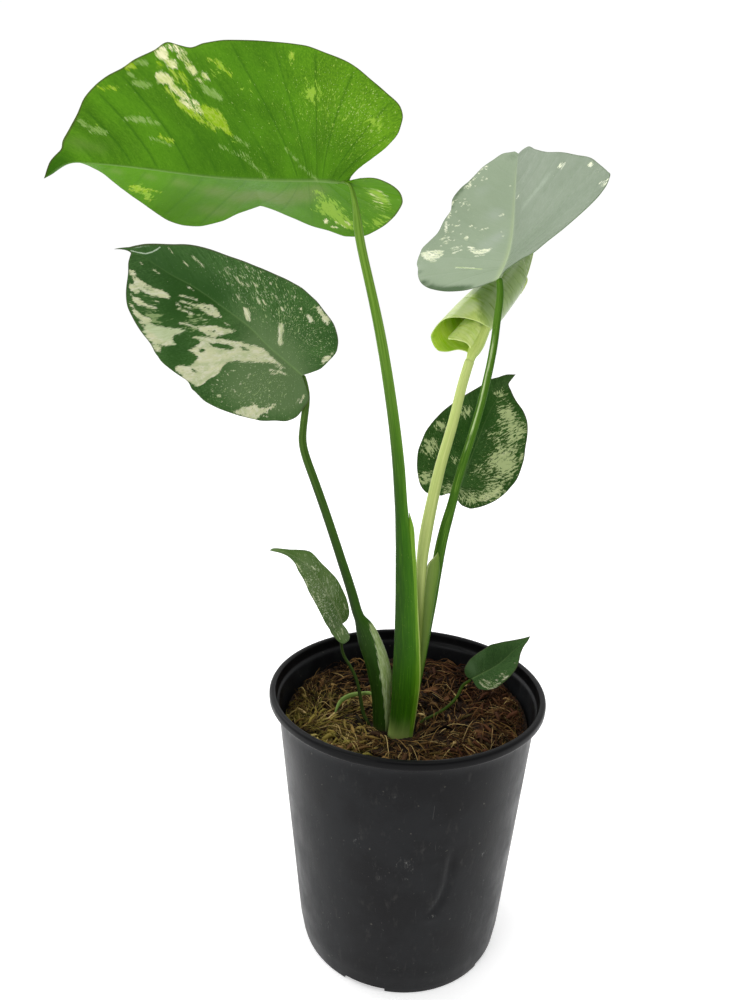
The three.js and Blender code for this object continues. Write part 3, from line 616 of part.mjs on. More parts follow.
function mixGeometry() {
  const points = [];
  const faces = [];
  const rings = MIX_RINGS.length;
  points.push(new THREE.Vector3(0, 0, mixTop(0, 0)));
  const at = (i, k) => 1 + i * MIX_SIDES + (k % MIX_SIDES);
  const level = (z) => {
    const r = wallRadius(z) - POT_WALL - 0.3 - GAP;
    for (let k = 0; k < MIX_SIDES; k++) {
      const t = (k / MIX_SIDES) * 2 * Math.PI;
      points.push(new THREE.Vector3(r * Math.cos(t), r * Math.sin(t), z));
    }
  };
  for (let i = 0; i < rings; i++) {
    for (let k = 0; k < MIX_SIDES; k++) {
      const t = (k / MIX_SIDES) * 2 * Math.PI;
      const x = MIX_RINGS[i] * Math.cos(t);
      const y = MIX_RINGS[i] * Math.sin(t);
      points.push(new THREE.Vector3(x, y, mixTop(x, y)));
    }
  }
  level(130);
  level(72);
  level(14);
  const floor = POT_FLOOR_LIFT + POT_FLOOR + GAP;
  const r = 58.6;
  for (let k = 0; k < MIX_SIDES; k++) {
    const t = (k / MIX_SIDES) * 2 * Math.PI;
    points.push(new THREE.Vector3(r * Math.cos(t), r * Math.sin(t), floor));
  }
  const levels = rings + 4;
  for (let k = 0; k < MIX_SIDES; k++) faces.push([0, at(0, k), at(0, k + 1)]);
  for (let i = 0; i < levels - 1; i++) {
    for (let k = 0; k < MIX_SIDES; k++) {
      faces.push([at(i, k), at(i + 1, k), at(i + 1, k + 1)], [at(i, k), at(i + 1, k + 1), at(i, k + 1)]);
    }
  }
  points.push(new THREE.Vector3(0, 0, floor));
  const bottom = points.length - 1;
  for (let k = 0; k < MIX_SIDES; k++) faces.push([bottom, at(levels - 1, k + 1), at(levels - 1, k)]);
  return body(points, faces);
}

// The short stem under the surface: a flattened, rounded stump.
function crownGeometry(grow) {
  const h = CROWN.top - CROWN.bottom;
  const profile = [[0, 0], [0.45, 0], [0.78, 0.14], [0.96, 0.42], [1, 0.72], [0.97, 1], [0, 1]];
  const scaled = profile.map(([r, z]) => new THREE.Vector2(r, z));
  const geometry = new THREE.LatheGeometry(scaled, 28).rotateX(Math.PI / 2);
  geometry.scale(CROWN.halfX + grow, CROWN.halfY + grow, h + 2 * grow);
  geometry.translate(CROWN.x, CROWN.y, CROWN.bottom - grow);
  return geometry;
}

// ------------------------------------------------------------------ assembly

const wasm = await Module();
wasm.setup();

function toManifold(geometry) {
  const bare = new THREE.BufferGeometry();
  bare.setAttribute('position', geometry.getAttribute('position'));
  if (geometry.getIndex()) bare.setIndex(geometry.getIndex());
  const merged = mergeVertices(bare, 1e-4);
  return new wasm.Manifold(new wasm.Mesh({
    numProp: 3,
    vertProperties: new Float32Array(merged.getAttribute('position').array),
    triVerts: new Uint32Array(merged.getIndex().array),
  }));
}

function fromManifold(solid) {
  const mesh = solid.getMesh();
  const geometry = new THREE.BufferGeometry();
  geometry.setAttribute('position', new THREE.Float32BufferAttribute(mesh.vertProperties, 3));
  geometry.setIndex(Array.from(mesh.triVerts));
  return geometry;
}

const material = (colour, roughness) => new THREE.MeshStandardMaterial({ color: colour, roughness, metalness: 0 });

function part(name, geometry, colour, roughness) {
  const plain = geometry.index ? geometry.toNonIndexed() : geometry;
  plain.computeVertexNormals();
  const mesh = new THREE.Mesh(plain, material(colour, roughness));
  mesh.name = name;
  return mesh;
}

const plant = new THREE.Group();
plant.name = 'white_monster_monstera';

// pot: lathe body less the notches in its foot and the drain holes in its floor
let pot = toManifold(potGeometry());
for (const angle of NOTCH_ANGLES) {
  const t = angle * Math.PI / 180;
  const notch = new THREE.BoxGeometry(14, NOTCH_WIDTH, NOTCH_HEIGHT + 2);
  notch.translate(POT_BASE_RADIUS + 1, 0, NOTCH_HEIGHT / 2 - 1).rotateZ(t);
  pot = pot.subtract(toManifold(notch));
  const hole = new THREE.CylinderGeometry(DRAIN_HOLE_RADIUS, DRAIN_HOLE_RADIUS, 6, 16).rotateX(Math.PI / 2);
  hole.translate(DRAIN_HOLE_REACH, 0, POT_FLOOR_LIFT + 0.7).rotateZ(t);
  pot = pot.subtract(toManifold(hole));
}
plant.add(part('nursery_pot', fromManifold(pot), 0x28292b, 0.5));

// the stump with its roots
let stock = toManifold(crownGeometry(0));
let pocket = toManifold(crownGeometry(GAP + 0.1));
for (const run of ROOT_RUNS) {
  stock = stock.add(toManifold(sweptBody(run, 7, { levelEnd: false })));
  pocket = pocket.add(toManifold(sweptBody(run, 7, { grow: GAP + 0.15, levelEnd: false })));
}
plant.add(part('rootstock', fromManifold(stock), 0x8a7a52, 0.8));

const stalks = [
  ['petiole_1', PETIOLE_1_RUN, 12, 0x5c9a34],
  ['petiole_2', PETIOLE_2_RUN, 12, 0x3f7a2c],
  ['petiole_3', PETIOLE_3_RUN, 10, 0x4a8a34],
  ['petiole_4', PETIOLE_4_RUN, 10, 0xa9bd6a],
  ['petiole_5', PETIOLE_5_RUN, 8, 0x3f7a2c],
  ['petiole_6', PETIOLE_6_RUN, 8, 0x4a6f33],
  ['petiole_7', PETIOLE_7_RUN, 8, 0x4a7a35],
  ['cataphyll', CATAPHYLL_RUN, 8, 0x7fae4c],
];
for (const [name, run, sides, colour] of stalks) {
  plant.add(part(name, sweptBody(run, sides), colour, 0.45));
  const low = run.filter((p, i) => p[2] < 150 || (run[i + 1] && run[i + 1][2] < 150));
  pocket = pocket.add(toManifold(sweptBody(low, sides, { grow: GAP + 0.1 })));
}

// potting mix with the pocket that the stump, the roots and the stalks stand in
plant.add(part('potting_mix', fromManifold(toManifold(mixGeometry()).subtract(pocket)), 0x5a4327, 0.95));

const blades = [
  ['leaf_1', LEAF_1_NET, 0x6aa01e],
  ['leaf_2', LEAF_2_NET, 0x2f6a28],
  ['leaf_3', LEAF_3_NET, 0x7f9a78],
  ['leaf_5', LEAF_5_NET, 0x2f5f28],
  ['leaf_6', LEAF_6_NET, 0x4a7a40],
  ['leaf_7', LEAF_7_NET, 0x2c5328],
];
for (const [name, net, colour] of blades) plant.add(part(name, bladeBody(net), colour, 0.4));
plant.add(part('leaf_4', sheetBody(rolledNet(), () => ROLL_SHEET, false), 0xb4cf66, 0.35));

export default plant;
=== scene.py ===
import math

import bpy
import numpy as np
from mathutils import Matrix, Vector


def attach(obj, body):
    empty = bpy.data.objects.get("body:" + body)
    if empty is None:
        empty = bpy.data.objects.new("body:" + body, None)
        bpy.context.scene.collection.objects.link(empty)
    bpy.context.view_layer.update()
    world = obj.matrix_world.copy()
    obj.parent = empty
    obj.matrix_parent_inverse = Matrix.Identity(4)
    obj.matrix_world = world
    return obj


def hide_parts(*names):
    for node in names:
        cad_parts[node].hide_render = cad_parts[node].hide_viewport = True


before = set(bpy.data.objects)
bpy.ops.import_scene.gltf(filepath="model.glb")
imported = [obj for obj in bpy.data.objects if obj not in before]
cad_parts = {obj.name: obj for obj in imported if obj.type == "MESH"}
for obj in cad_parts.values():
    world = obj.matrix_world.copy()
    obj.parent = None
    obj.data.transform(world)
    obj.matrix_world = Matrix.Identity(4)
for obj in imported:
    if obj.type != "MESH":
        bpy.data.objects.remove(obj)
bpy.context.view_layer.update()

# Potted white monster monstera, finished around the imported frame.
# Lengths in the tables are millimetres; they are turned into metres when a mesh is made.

MM = 0.001

# ------------------------------------------------------------------ tables
# Leaf blades: the midrib, the side the upper face looks to, how far each half is
# folded up (degrees against the distance from the petiole), its bend, and the two
# margins as (distance along the midrib, distance from the midrib).
BLADES = {
    "leaf_1": {
        "mid": [(-39.07, -22, 443.59), (-48.35, -22, 444.98), (-62.9, -22.5, 445.05), (-82.28, -23, 445.01), (-103.92, -24, 445.53), (-127.52, -26, 447.41), (-149.08, -29, 449.01), (-157.6, -30.5, 449.37), (-163.69, -32, 449.52), (-169.29, -33.5, 449.24), (-174.03, -35, 447.27), (-178.15, -36.5, 444.03), (-181.45, -38, 440.81)],
        "normal": (0.0000, 0.6919, 0.7219),
        "fold": ([(0, 34), (170, 34)], [(-40, 20), (0, 24), (30, 35), (48, 41), (66, 33), (85, 25), (100, 20), (107, 20), (112, 22), (117, 27), (122, 38), (128, 56), (134, 60), (147, 60)]),
        "bend": (-0.0035, -0.0030),
        "lobe_tangent": None,
        "margins": (
            [(-0.81, 0.98), (-0.08, 2.54), (-2.48, 7.12), (-8.7, 13.7), (-15.08, 20.72), (-19.09, 28.16), (-19.57, 33.43), (-17.7, 37.83), (-9.61, 42.72), (0.22, 47.53), (7.81, 51.78), (12.3, 53.76), (20, 56.75), (32.1, 57.81), (43.95, 58.16), (56.18, 57.82), (69.99, 55.7), (77.72, 53.26), (82.5, 53.61), (87.05, 54.14), (93.62, 50.07), (102.13, 45.13), (106.93, 41.34), (113.5, 37.22), (119.38, 32.48), (124.63, 26.51), (127.96, 18.8), (130.68, 12.54), (132.48, 9.14), (133.6, 6.5), (140.27, 3.65), (147.29, 0.18)],
            [(-0.91, -2.1), (-1.9, -2.14), (-6.48, -8.82), (-12.62, -11.12), (-18.57, -9.15), (-25.4, -2.31), (-27.39, 5.15), (-26.06, 14.6), (-22.13, 26.4), (-16.3, 36.85), (-10.24, 44.45), (-1.94, 48.73), (8.5, 52.02), (20.76, 54.8), (32.84, 53.01), (43.79, 50.29), (51.41, 50.88), (58.92, 51.64), (67.79, 55.5), (75.94, 55.98), (83.54, 52.74), (91.68, 45.62), (96.02, 39.21), (100.25, 32.85), (105.59, 26.64), (110.93, 20.91), (114.9, 16.27), (118.21, 11.13), (121.5, 8.5), (126, 6.5), (132, 5), (138, 3.5), (147.58, -2.15)],
        ),
    },
    "leaf_2": {
        "mid": [(-62.14, -18, 350.48), (-65.23, -18.5, 353.3), (-71.86, -19.5, 358.87), (-79.89, -21, 365.88), (-87.59, -22, 373.76), (-97.7, -23, 381.47), (-107.14, -23, 388.11), (-118.71, -22, 395.16), (-127.34, -21, 399.34), (-137.66, -19, 405.47), (-144.94, -17.5, 409.48), (-150.19, -16.5, 411.3), (-157.98, -15, 411.42)],
        "normal": (-0.2139, -0.9446, -0.2489),
        "fold": ([(0, 14)], [(0, 14)]),
        "bend": (-0.0020, -0.0020),
        "lobe_tangent": None,
        "margins": (
            [(-0.47, -0.09), (-3.66, 2.02), (-7.58, 4.21), (-11.56, 7.13), (-12.65, 13.01), (-13.29, 17.67), (-11.44, 23.59), (-6.45, 28.47), (-0.29, 34.46), (9.28, 38.66), (16.48, 41.95), (21.47, 44.54), (26.32, 46.43), (41.17, 46.1), (48.21, 43.63), (55.01, 43.89), (63.95, 43.58), (76.04, 40.9), (80.47, 37.02), (84.75, 34.2), (90.29, 30.56), (97.63, 25.72), (102.72, 19.05), (105.32, 11.14), (107.1, 5.86), (106.6, 1.38), (109.09, 0.57), (116.32, 0.3)],
            [(-0.47, 0.12), (-2.48, 6.74), (-3.94, 12.65), (-3.68, 19.85), (-3.18, 24.78), (-0.73, 29.77), (3.17, 33.98), (7.2, 36.97), (13.39, 38.6), (23.5, 40.39), (30.95, 39.64), (35.42, 37.42), (40.72, 34.61), (47.21, 32.21), (53.87, 29.91), (60.57, 27.07), (67.22, 24.71), (73.64, 22.11), (81.35, 18.58), (91.89, 12.62), (99.89, 7.32), (104.81, 3.64), (108.41, 1.44), (116.4, -0.32)],
        ),
    },
    "leaf_3": {
        "mid": [(37.33, -14, 401.27), (40.16, -9, 405.94), (42.5, -4.5, 410.17), (45.38, 3, 417.17), (48.19, 14, 427.94), (50.71, 28.5, 442.86), (52.99, 42, 456.69), (55.04, 53, 467.71), (56.65, 60, 474.02)],
        "normal": (-0.5725, -0.4218, 0.7031),
        "fold": ([(0, 20)], [(0, 20)]),
        "bend": (-0.0020, -0.0020),
        "lobe_tangent": None,
        "margins": (
            [(-0.02, 0.26), (-2.22, 2.2), (-7.32, 9.08), (-10.43, 16.18), (-11.23, 23.69), (-9.58, 32.9), (-4.4, 41.46), (5.46, 47.53), (23.75, 51.44), (35.38, 50.62), (41.88, 46.91), (48.54, 42.36), (56.82, 39.9), (66.82, 36.04), (72.82, 36.17), (82.78, 31.83), (87.26, 27.68), (92.67, 23.83), (98.08, 20.38), (103.66, 15.08), (109.51, 8.02), (109.4, 2.98), (106.01, 0)],
            [(-0.5, 0.63), (4.45, 5.19), (4.18, 14.11), (2.17, 24.62), (4.55, 32.46), (6.8, 41.24), (9.95, 48.39), (12.99, 54.71), (15.96, 59.43), (20.45, 62.9), (25.02, 63.71), (28.57, 62.04), (38.66, 56.79), (47.69, 52.07), (58.81, 43.09), (69.98, 34.1), (81.24, 23.64), (93.57, 14.35), (105.16, 6.33), (106.47, 2.5), (106.01, 0)],
        ),
    },
    "leaf_5": {
        "mid": [(28.34, 37, 273.31), (31.23, 39, 281.14), (34.71, 41.5, 290.78), (41.12, 46, 307.63), (47.5, 50, 323.94), (53.49, 53, 334.19), (58.32, 55, 340.85), (63.86, 58, 347.26)],
        "normal": (-0.1219, -0.9446, 0.3047),
        "fold": ([(0, 12)], [(0, 12)]),
        "bend": (-0.0030, -0.0030),
        "lobe_tangent": None,
        "margins": (
            [(0, 0), (0.55, 4.23), (-2.67, 9.1), (-3.8, 15.43), (-4.16, 17.54), (-2.01, 22.22), (3.02, 26.34), (11.75, 30.3), (20.45, 32.27), (28.76, 32.23), (36.54, 30.73), (44.95, 27.48), (50.73, 23.88), (58.78, 17.96), (66.53, 13.14), (73.27, 10.13), (76.64, 7.42), (81.02, 4.57), (85.29, 0.41)],
            [(-0.94, 1.04), (-1.88, 2.09), (-3.76, 5.94), (-3.83, 10.16), (-2.08, 14.08), (2.57, 20.09), (8.08, 25.02), (15.17, 28.74), (25.26, 31.24), (34.16, 30.79), (42.35, 29.01), (52.15, 27.07), (60.6, 24.01), (67.32, 17.98), (71.06, 10.43), (74.27, 5.18), (78.22, 0.27), (85.37, -0.42)],
        ),
    },
    "leaf_6": {
        "mid": [(-39.89, 18.5, 195.28), (-42.8, 19, 202.97), (-47.23, 19.5, 210.57), (-51.64, 20, 218.12), (-56.63, 20.5, 225.62), (-62.85, 21.5, 232.54), (-68.43, 22.5, 236.24), (-75.3, 24, 239.05), (-80.98, 25.5, 239.7), (-86.08, 27, 239.28)],
        "normal": (0.4397, -0.7395, 0.5097),
        "fold": ([(0, 24)], [(0, 20)]),
        "bend": (-0.0040, -0.0040),
        "lobe_tangent": (-0.68, 0.1, 0.73),
        "margins": (
            [(-0.68, 0.28), (-4.32, 0.41), (-8.65, 2.19), (-10.54, 6.08), (-10.17, 10.82), (-8.85, 12.12), (-6.21, 13.02), (0.59, 12.9), (9.98, 14.99), (20.96, 13.78), (29.72, 13.43), (37.2, 11.1), (44.88, 8.73), (50.93, 4.36), (56.91, 2.3), (61.9, 1.62), (66.15, 1.02), (69.67, 0.57)],
            [(0.12, 0.37), (1.08, 3.36), (4.13, 6.22), (7.91, 7.61), (15.18, 9.38), (24.57, 9.94), (32.17, 8.83), (40.13, 7.69), (46.25, 8.04), (49.15, 7.06), (53.6, 4.59), (58.23, 2.46), (62.28, 1.77), (66.95, 1.45), (69.85, -0.41)],
        ),
    },
    "leaf_7": {
        "mid": [(41.72, 17, 160.75), (46.43, 18, 163.11), (51.4, 19, 165.48), (59.84, 21, 170.27), (68.34, 24, 177.34), (74.9, 27, 182), (79.53, 30, 185)],
        "normal": (-0.1995, -0.7980, 0.5686),
        "fold": ([(0, 14)], [(0, 14)]),
        "bend": (-0.0040, -0.0040),
        "lobe_tangent": None,
        "margins": (
            [(-0.28, 0.15), (-1.29, 1.16), (-2.02, 2.43), (-2.11, 4.84), (-1.14, 7.1), (1.85, 9.42), (6.44, 11.47), (12.97, 12.53), (22.27, 12.65), (29.63, 9.53), (34.8, 6.28), (40.59, 3.18), (47.14, 0.06)],
            [(0.27, 0.16), (0.29, 1.16), (0.09, 4.06), (0.55, 7.3), (3.02, 9.9), (6.61, 11.51), (11.67, 12.28), (14.89, 11.83), (20.03, 10.86), (24.95, 9.67), (29.54, 7.61), (34.57, 4.29), (39.35, 2.16), (43.41, 1.29), (47.16, -0.07)],
        ),
    },
}


# Stalks, leaf end first: x, y, z, half width, half depth.
RUNS = {
    "petiole_2": [(-61.92, -14.9, 349.19, 1.6, 1.6), (-60.98, -12.8, 344.52, 1.8, 1.8), (-60.33, -12, 339.14, 1.91, 1.91), (-60.71, -11.7, 332.68, 1.97, 1.97), (-62.05, -12, 320.8, 2.04, 2.04), (-62.23, -12.4, 315.4, 2.18, 2.18), (-61.64, -12.8, 311.1, 2.21, 2.21), (-60.46, -13.2, 306.8, 2.25, 2.25), (-57.33, -13.8, 298.12, 2.31, 2.31), (-50.9, -14, 280.31, 2.39, 2.39), (-44.73, -14.2, 262.12, 2.47, 2.47), (-38.65, -14.4, 243.55, 2.61, 2.61), (-32.73, -14.8, 224.66, 2.84, 2.84), (-29.75, -15, 215.07, 3.02, 3.02), (-26.47, -15.1, 208.43, 5.15, 3.26), (-23.42, -15.2, 200.5, 6.49, 3.37), (-19.78, -15.3, 190.62, 6.93, 3.41), (-16.82, -15.4, 179.35, 6.91, 3.41), (-15.84, -15.5, 169.18, 5.9, 3.32), (-15.26, -15.7, 156.33, 5.18, 3.27), (-15.5, -15.9, 140.4, 4.3, 3.2)],
    "petiole_3": [(38.5, -13, 400.6, 1.7, 1.7), (39.46, -12, 394.93, 1.86, 1.86), (39.09, -12, 384.91, 1.92, 1.92), (38.14, -12, 370.65, 2.01, 2.01), (35.4, -12, 349.81, 2.12, 2.12), (31.09, -11.8, 327.81, 2.23, 2.23), (25.53, -11, 305.05, 2.32, 2.32), (22.87, -10.5, 293.44, 2.37, 2.37), (20.66, -10, 281.54, 2.55, 2.55), (18.01, -9.2, 269.12, 2.97, 2.8), (14.64, -8, 247.39, 3.18, 2.8), (13.43, -7.3, 232.6, 2.81, 2.8), (10.46, -6.7, 207.53, 2.77, 2.77), (6.38, -6.4, 177.27, 2.82, 2.8), (3.48, -6.3, 158.1, 2.85, 2.8), (0.8, -6.2, 140.4, 2.9, 2.8)],
    "petiole_5": [(29.08, 38.76, 272.18, 1.25, 1.25), (27.44, 38.2, 269.15, 1.49, 1.49), (25.74, 36.8, 265.63, 1.61, 1.61), (23.88, 34, 259.94, 1.67, 1.67), (19.96, 26.8, 242.75, 1.75, 1.75), (16.16, 19, 222.77, 1.8, 1.8), (12.03, 11, 199.85, 1.82, 1.82), (7.31, 3.8, 172.77, 1.82, 1.82), (5.21, 1.4, 160.61, 1.83, 1.83), (3.26, 0.2, 149.08, 1.89, 1.89), (3.6, -0.6, 140.4, 1.85, 1.85)],
    "petiole_6": [(-39.94, 18.45, 191.96, 0.95, 0.95), (-40.33, 18, 188.14, 1.05, 1.05), (-40.31, 16.6, 182.06, 1.15, 1.15), (-38.77, 13.6, 176.79, 1.14, 1.14), (-35.78, 10.6, 172.95, 1.14, 1.14), (-30.2, 4, 164.37, 1.22, 1.22), (-28.46, 0, 159.17, 1.27, 1.27), (-27.08, -4, 153.37, 1.36, 1.36), (-25.49, -7.6, 148.11, 1.38, 1.38), (-22.4, -10.9, 143.4, 1.45, 1.45), (-20.8, -12, 140.4, 1.5, 1.5)],
    "petiole_7": [(40.82, 16.63, 159.99, 0.94, 0.94), (39.27, 16.27, 159, 1.07, 1.07), (36.66, 15.63, 157.2, 1.13, 1.13), (34.16, 13.11, 154, 1.09, 1.09), (31.38, 9.29, 151.2, 1.06, 1.06), (26.85, 4.07, 149.2, 1.05, 1.05), (20.94, -0.92, 147.6, 1.04, 1.04), (14.53, -5.55, 146.6, 1.06, 1.06), (9.4, -9.1, 145.6, 1.1, 1.1), (6.4, -11.2, 143.4, 1.15, 1.15), (5.6, -12.2, 140.4, 1.2, 1.2)],
    "cataphyll": [(-43, -2.6, 146.2, 0.35, 0.3), (-41.6, 0.2, 148.9, 0.95, 0.62), (-39.4, 3.3, 151.2, 1.35, 0.8), (-36.1, 5, 152.9, 1.5, 0.9), (-31.8, 6, 154.1, 1.45, 0.88), (-26.8, 4.8, 155.6, 1.3, 0.8), (-21.4, 0.5, 158.1, 1.2, 0.75), (-18.2, -4.2, 157.9, 1.15, 0.75), (-15.6, -7.6, 154.6, 1.15, 0.8), (-14.2, -8.6, 149.5, 1.2, 0.9), (-13.6, -8.7, 144.5, 1.3, 1), (-13.5, -8.7, 140.4, 1.4, 1.1)],
    "petiole_1": [(-43.07, -22.4, 444.77, 0.1, 0.5), (-40.86, -22.9, 444.42, 0.25, 0.85), (-38.96, -23.6, 443.41, 0.61, 1.15), (-37.72, -24.3, 441.44, 0.98, 1.45), (-36.88, -24.9, 438.7, 1.22, 1.7), (-35.87, -25, 434.38, 1.47, 1.95), (-34.15, -24.5, 423.42, 2.26, 2.26), (-29.91, -23.5, 404.76, 2.31, 2.31), (-23.51, -22.5, 379.67, 2.56, 2.56), (-20.24, -22.2, 364.77, 2.72, 2.72), (-17.27, -22, 349.56, 2.87, 2.87), (-14.56, -22, 334.06, 2.98, 2.98), (-12.12, -22, 318.25, 3.14, 3.14), (-9.96, -22, 301.02, 3.36, 3.36), (-8.27, -22, 283.42, 3.51, 3.6), (-7.58, -22, 276.72, 3.71, 3.7), (-6.82, -22, 268.84, 4.11, 3.9), (-5.87, -22, 260.31, 4.67, 4.05), (-5.02, -22, 251.69, 5.26, 4.2), (-3.5, -22, 228.26, 6.14, 4.45), (-2.49, -22, 204.15, 6.94, 4.6), (-2.37, -21.9, 179.28, 7.53, 4.7), (-3.44, -21.8, 156.24, 7.01, 4.6), (-4.71, -21.8, 140.37, 7.12, 4.6)],
    "leaf_4_neck": [(37.34, 12.5, 380.34, 2.51, 3.2), (36, 11, 376.05, 3.25, 3.6), (34.13, 9, 371.77, 3.51, 3.6), (32.13, 6.6, 367.53, 3.64, 3.2), (29.91, 4, 363.86, 3.4, 2.6), (28.52, 2.4, 361.25, 2.62, 2.3), (27.74, 1.5, 358.61, 2.24, 2.2), (27.13, 1.3, 355.92, 2.02, 2.1)],
    "petiole_4": [(27.29, 1.4, 358.07, 2.67, 2.67), (24.65, 0.4, 348.37, 2.7, 2.7), (19.87, -2.3, 326.14, 2.81, 2.81), (14.21, -4.8, 303.52, 3.05, 3.05), (9.59, -7, 279.92, 3.35, 3.2), (6.69, -9, 261.76, 3.54, 3.2), (5.63, -10.2, 252.67, 3.27, 3.2), (4.72, -12.2, 234.23, 2.95, 2.95), (4.33, -13.2, 206.5, 2.88, 2.88), (2.11, -13.5, 168.55, 2.93, 2.93), (-0.13, -13.6, 148.93, 2.97, 2.97), (-1.4, -13.7, 140.4, 2.95, 2.95)],
    "leaf_4_lip": [(46.15, 31, 399.54, 0.5, 0.4), (50.74, 32, 401.58, 0.8, 0.64), (55.34, 33, 403.41, 0.95, 0.76), (59.24, 34.5, 404.75, 0.95, 0.76), (61.54, 35.5, 403.41, 0.9, 0.72), (60.99, 35.5, 399.97, 0.8, 0.64), (58.6, 35, 395.2, 0.55, 0.44)],
    "petiole_1_sheath": [(-3.67, -22.6, 278.55, 0.21, 0.3), (-2.95, -22.8, 274.81, 0.75, 0.8), (-2.13, -23, 269.25, 1.48, 1.2), (-1.44, -23.2, 260.8, 1.6, 1.3), (-0.72, -23.3, 252.24, 1.75, 1.45), (0.91, -23.4, 228.93, 1.96, 1.6), (2.7, -23.4, 204.92, 2.19, 1.8), (3.84, -23.3, 180.17, 2.4, 1.9), (2.43, -23.2, 157.21, 2.13, 1.9), (0.85, -23, 141.26, 2, 1.8)],
    "petiole_3_sheath": [(13.91, -11.5, 252.95, 0.28, 0.35), (13.64, -11.6, 250.67, 1.23, 0.8), (12.7, -11.8, 248.04, 2.47, 1.1), (11.85, -12, 245.12, 3.49, 1.3), (11.31, -12.2, 241, 3.96, 1.5), (10.29, -12.8, 230.98, 3.7, 1.6), (9.41, -13.2, 218.34, 3.13, 1.7), (8.41, -13.4, 204.2, 2.72, 1.8), (7.37, -13.4, 191.01, 2.31, 1.8), (5.39, -13.4, 175.03, 2.03, 1.8), (3.55, -13.3, 161.98, 2.04, 1.8), (1.08, -13.2, 144.74, 1.91, 1.6)],
}


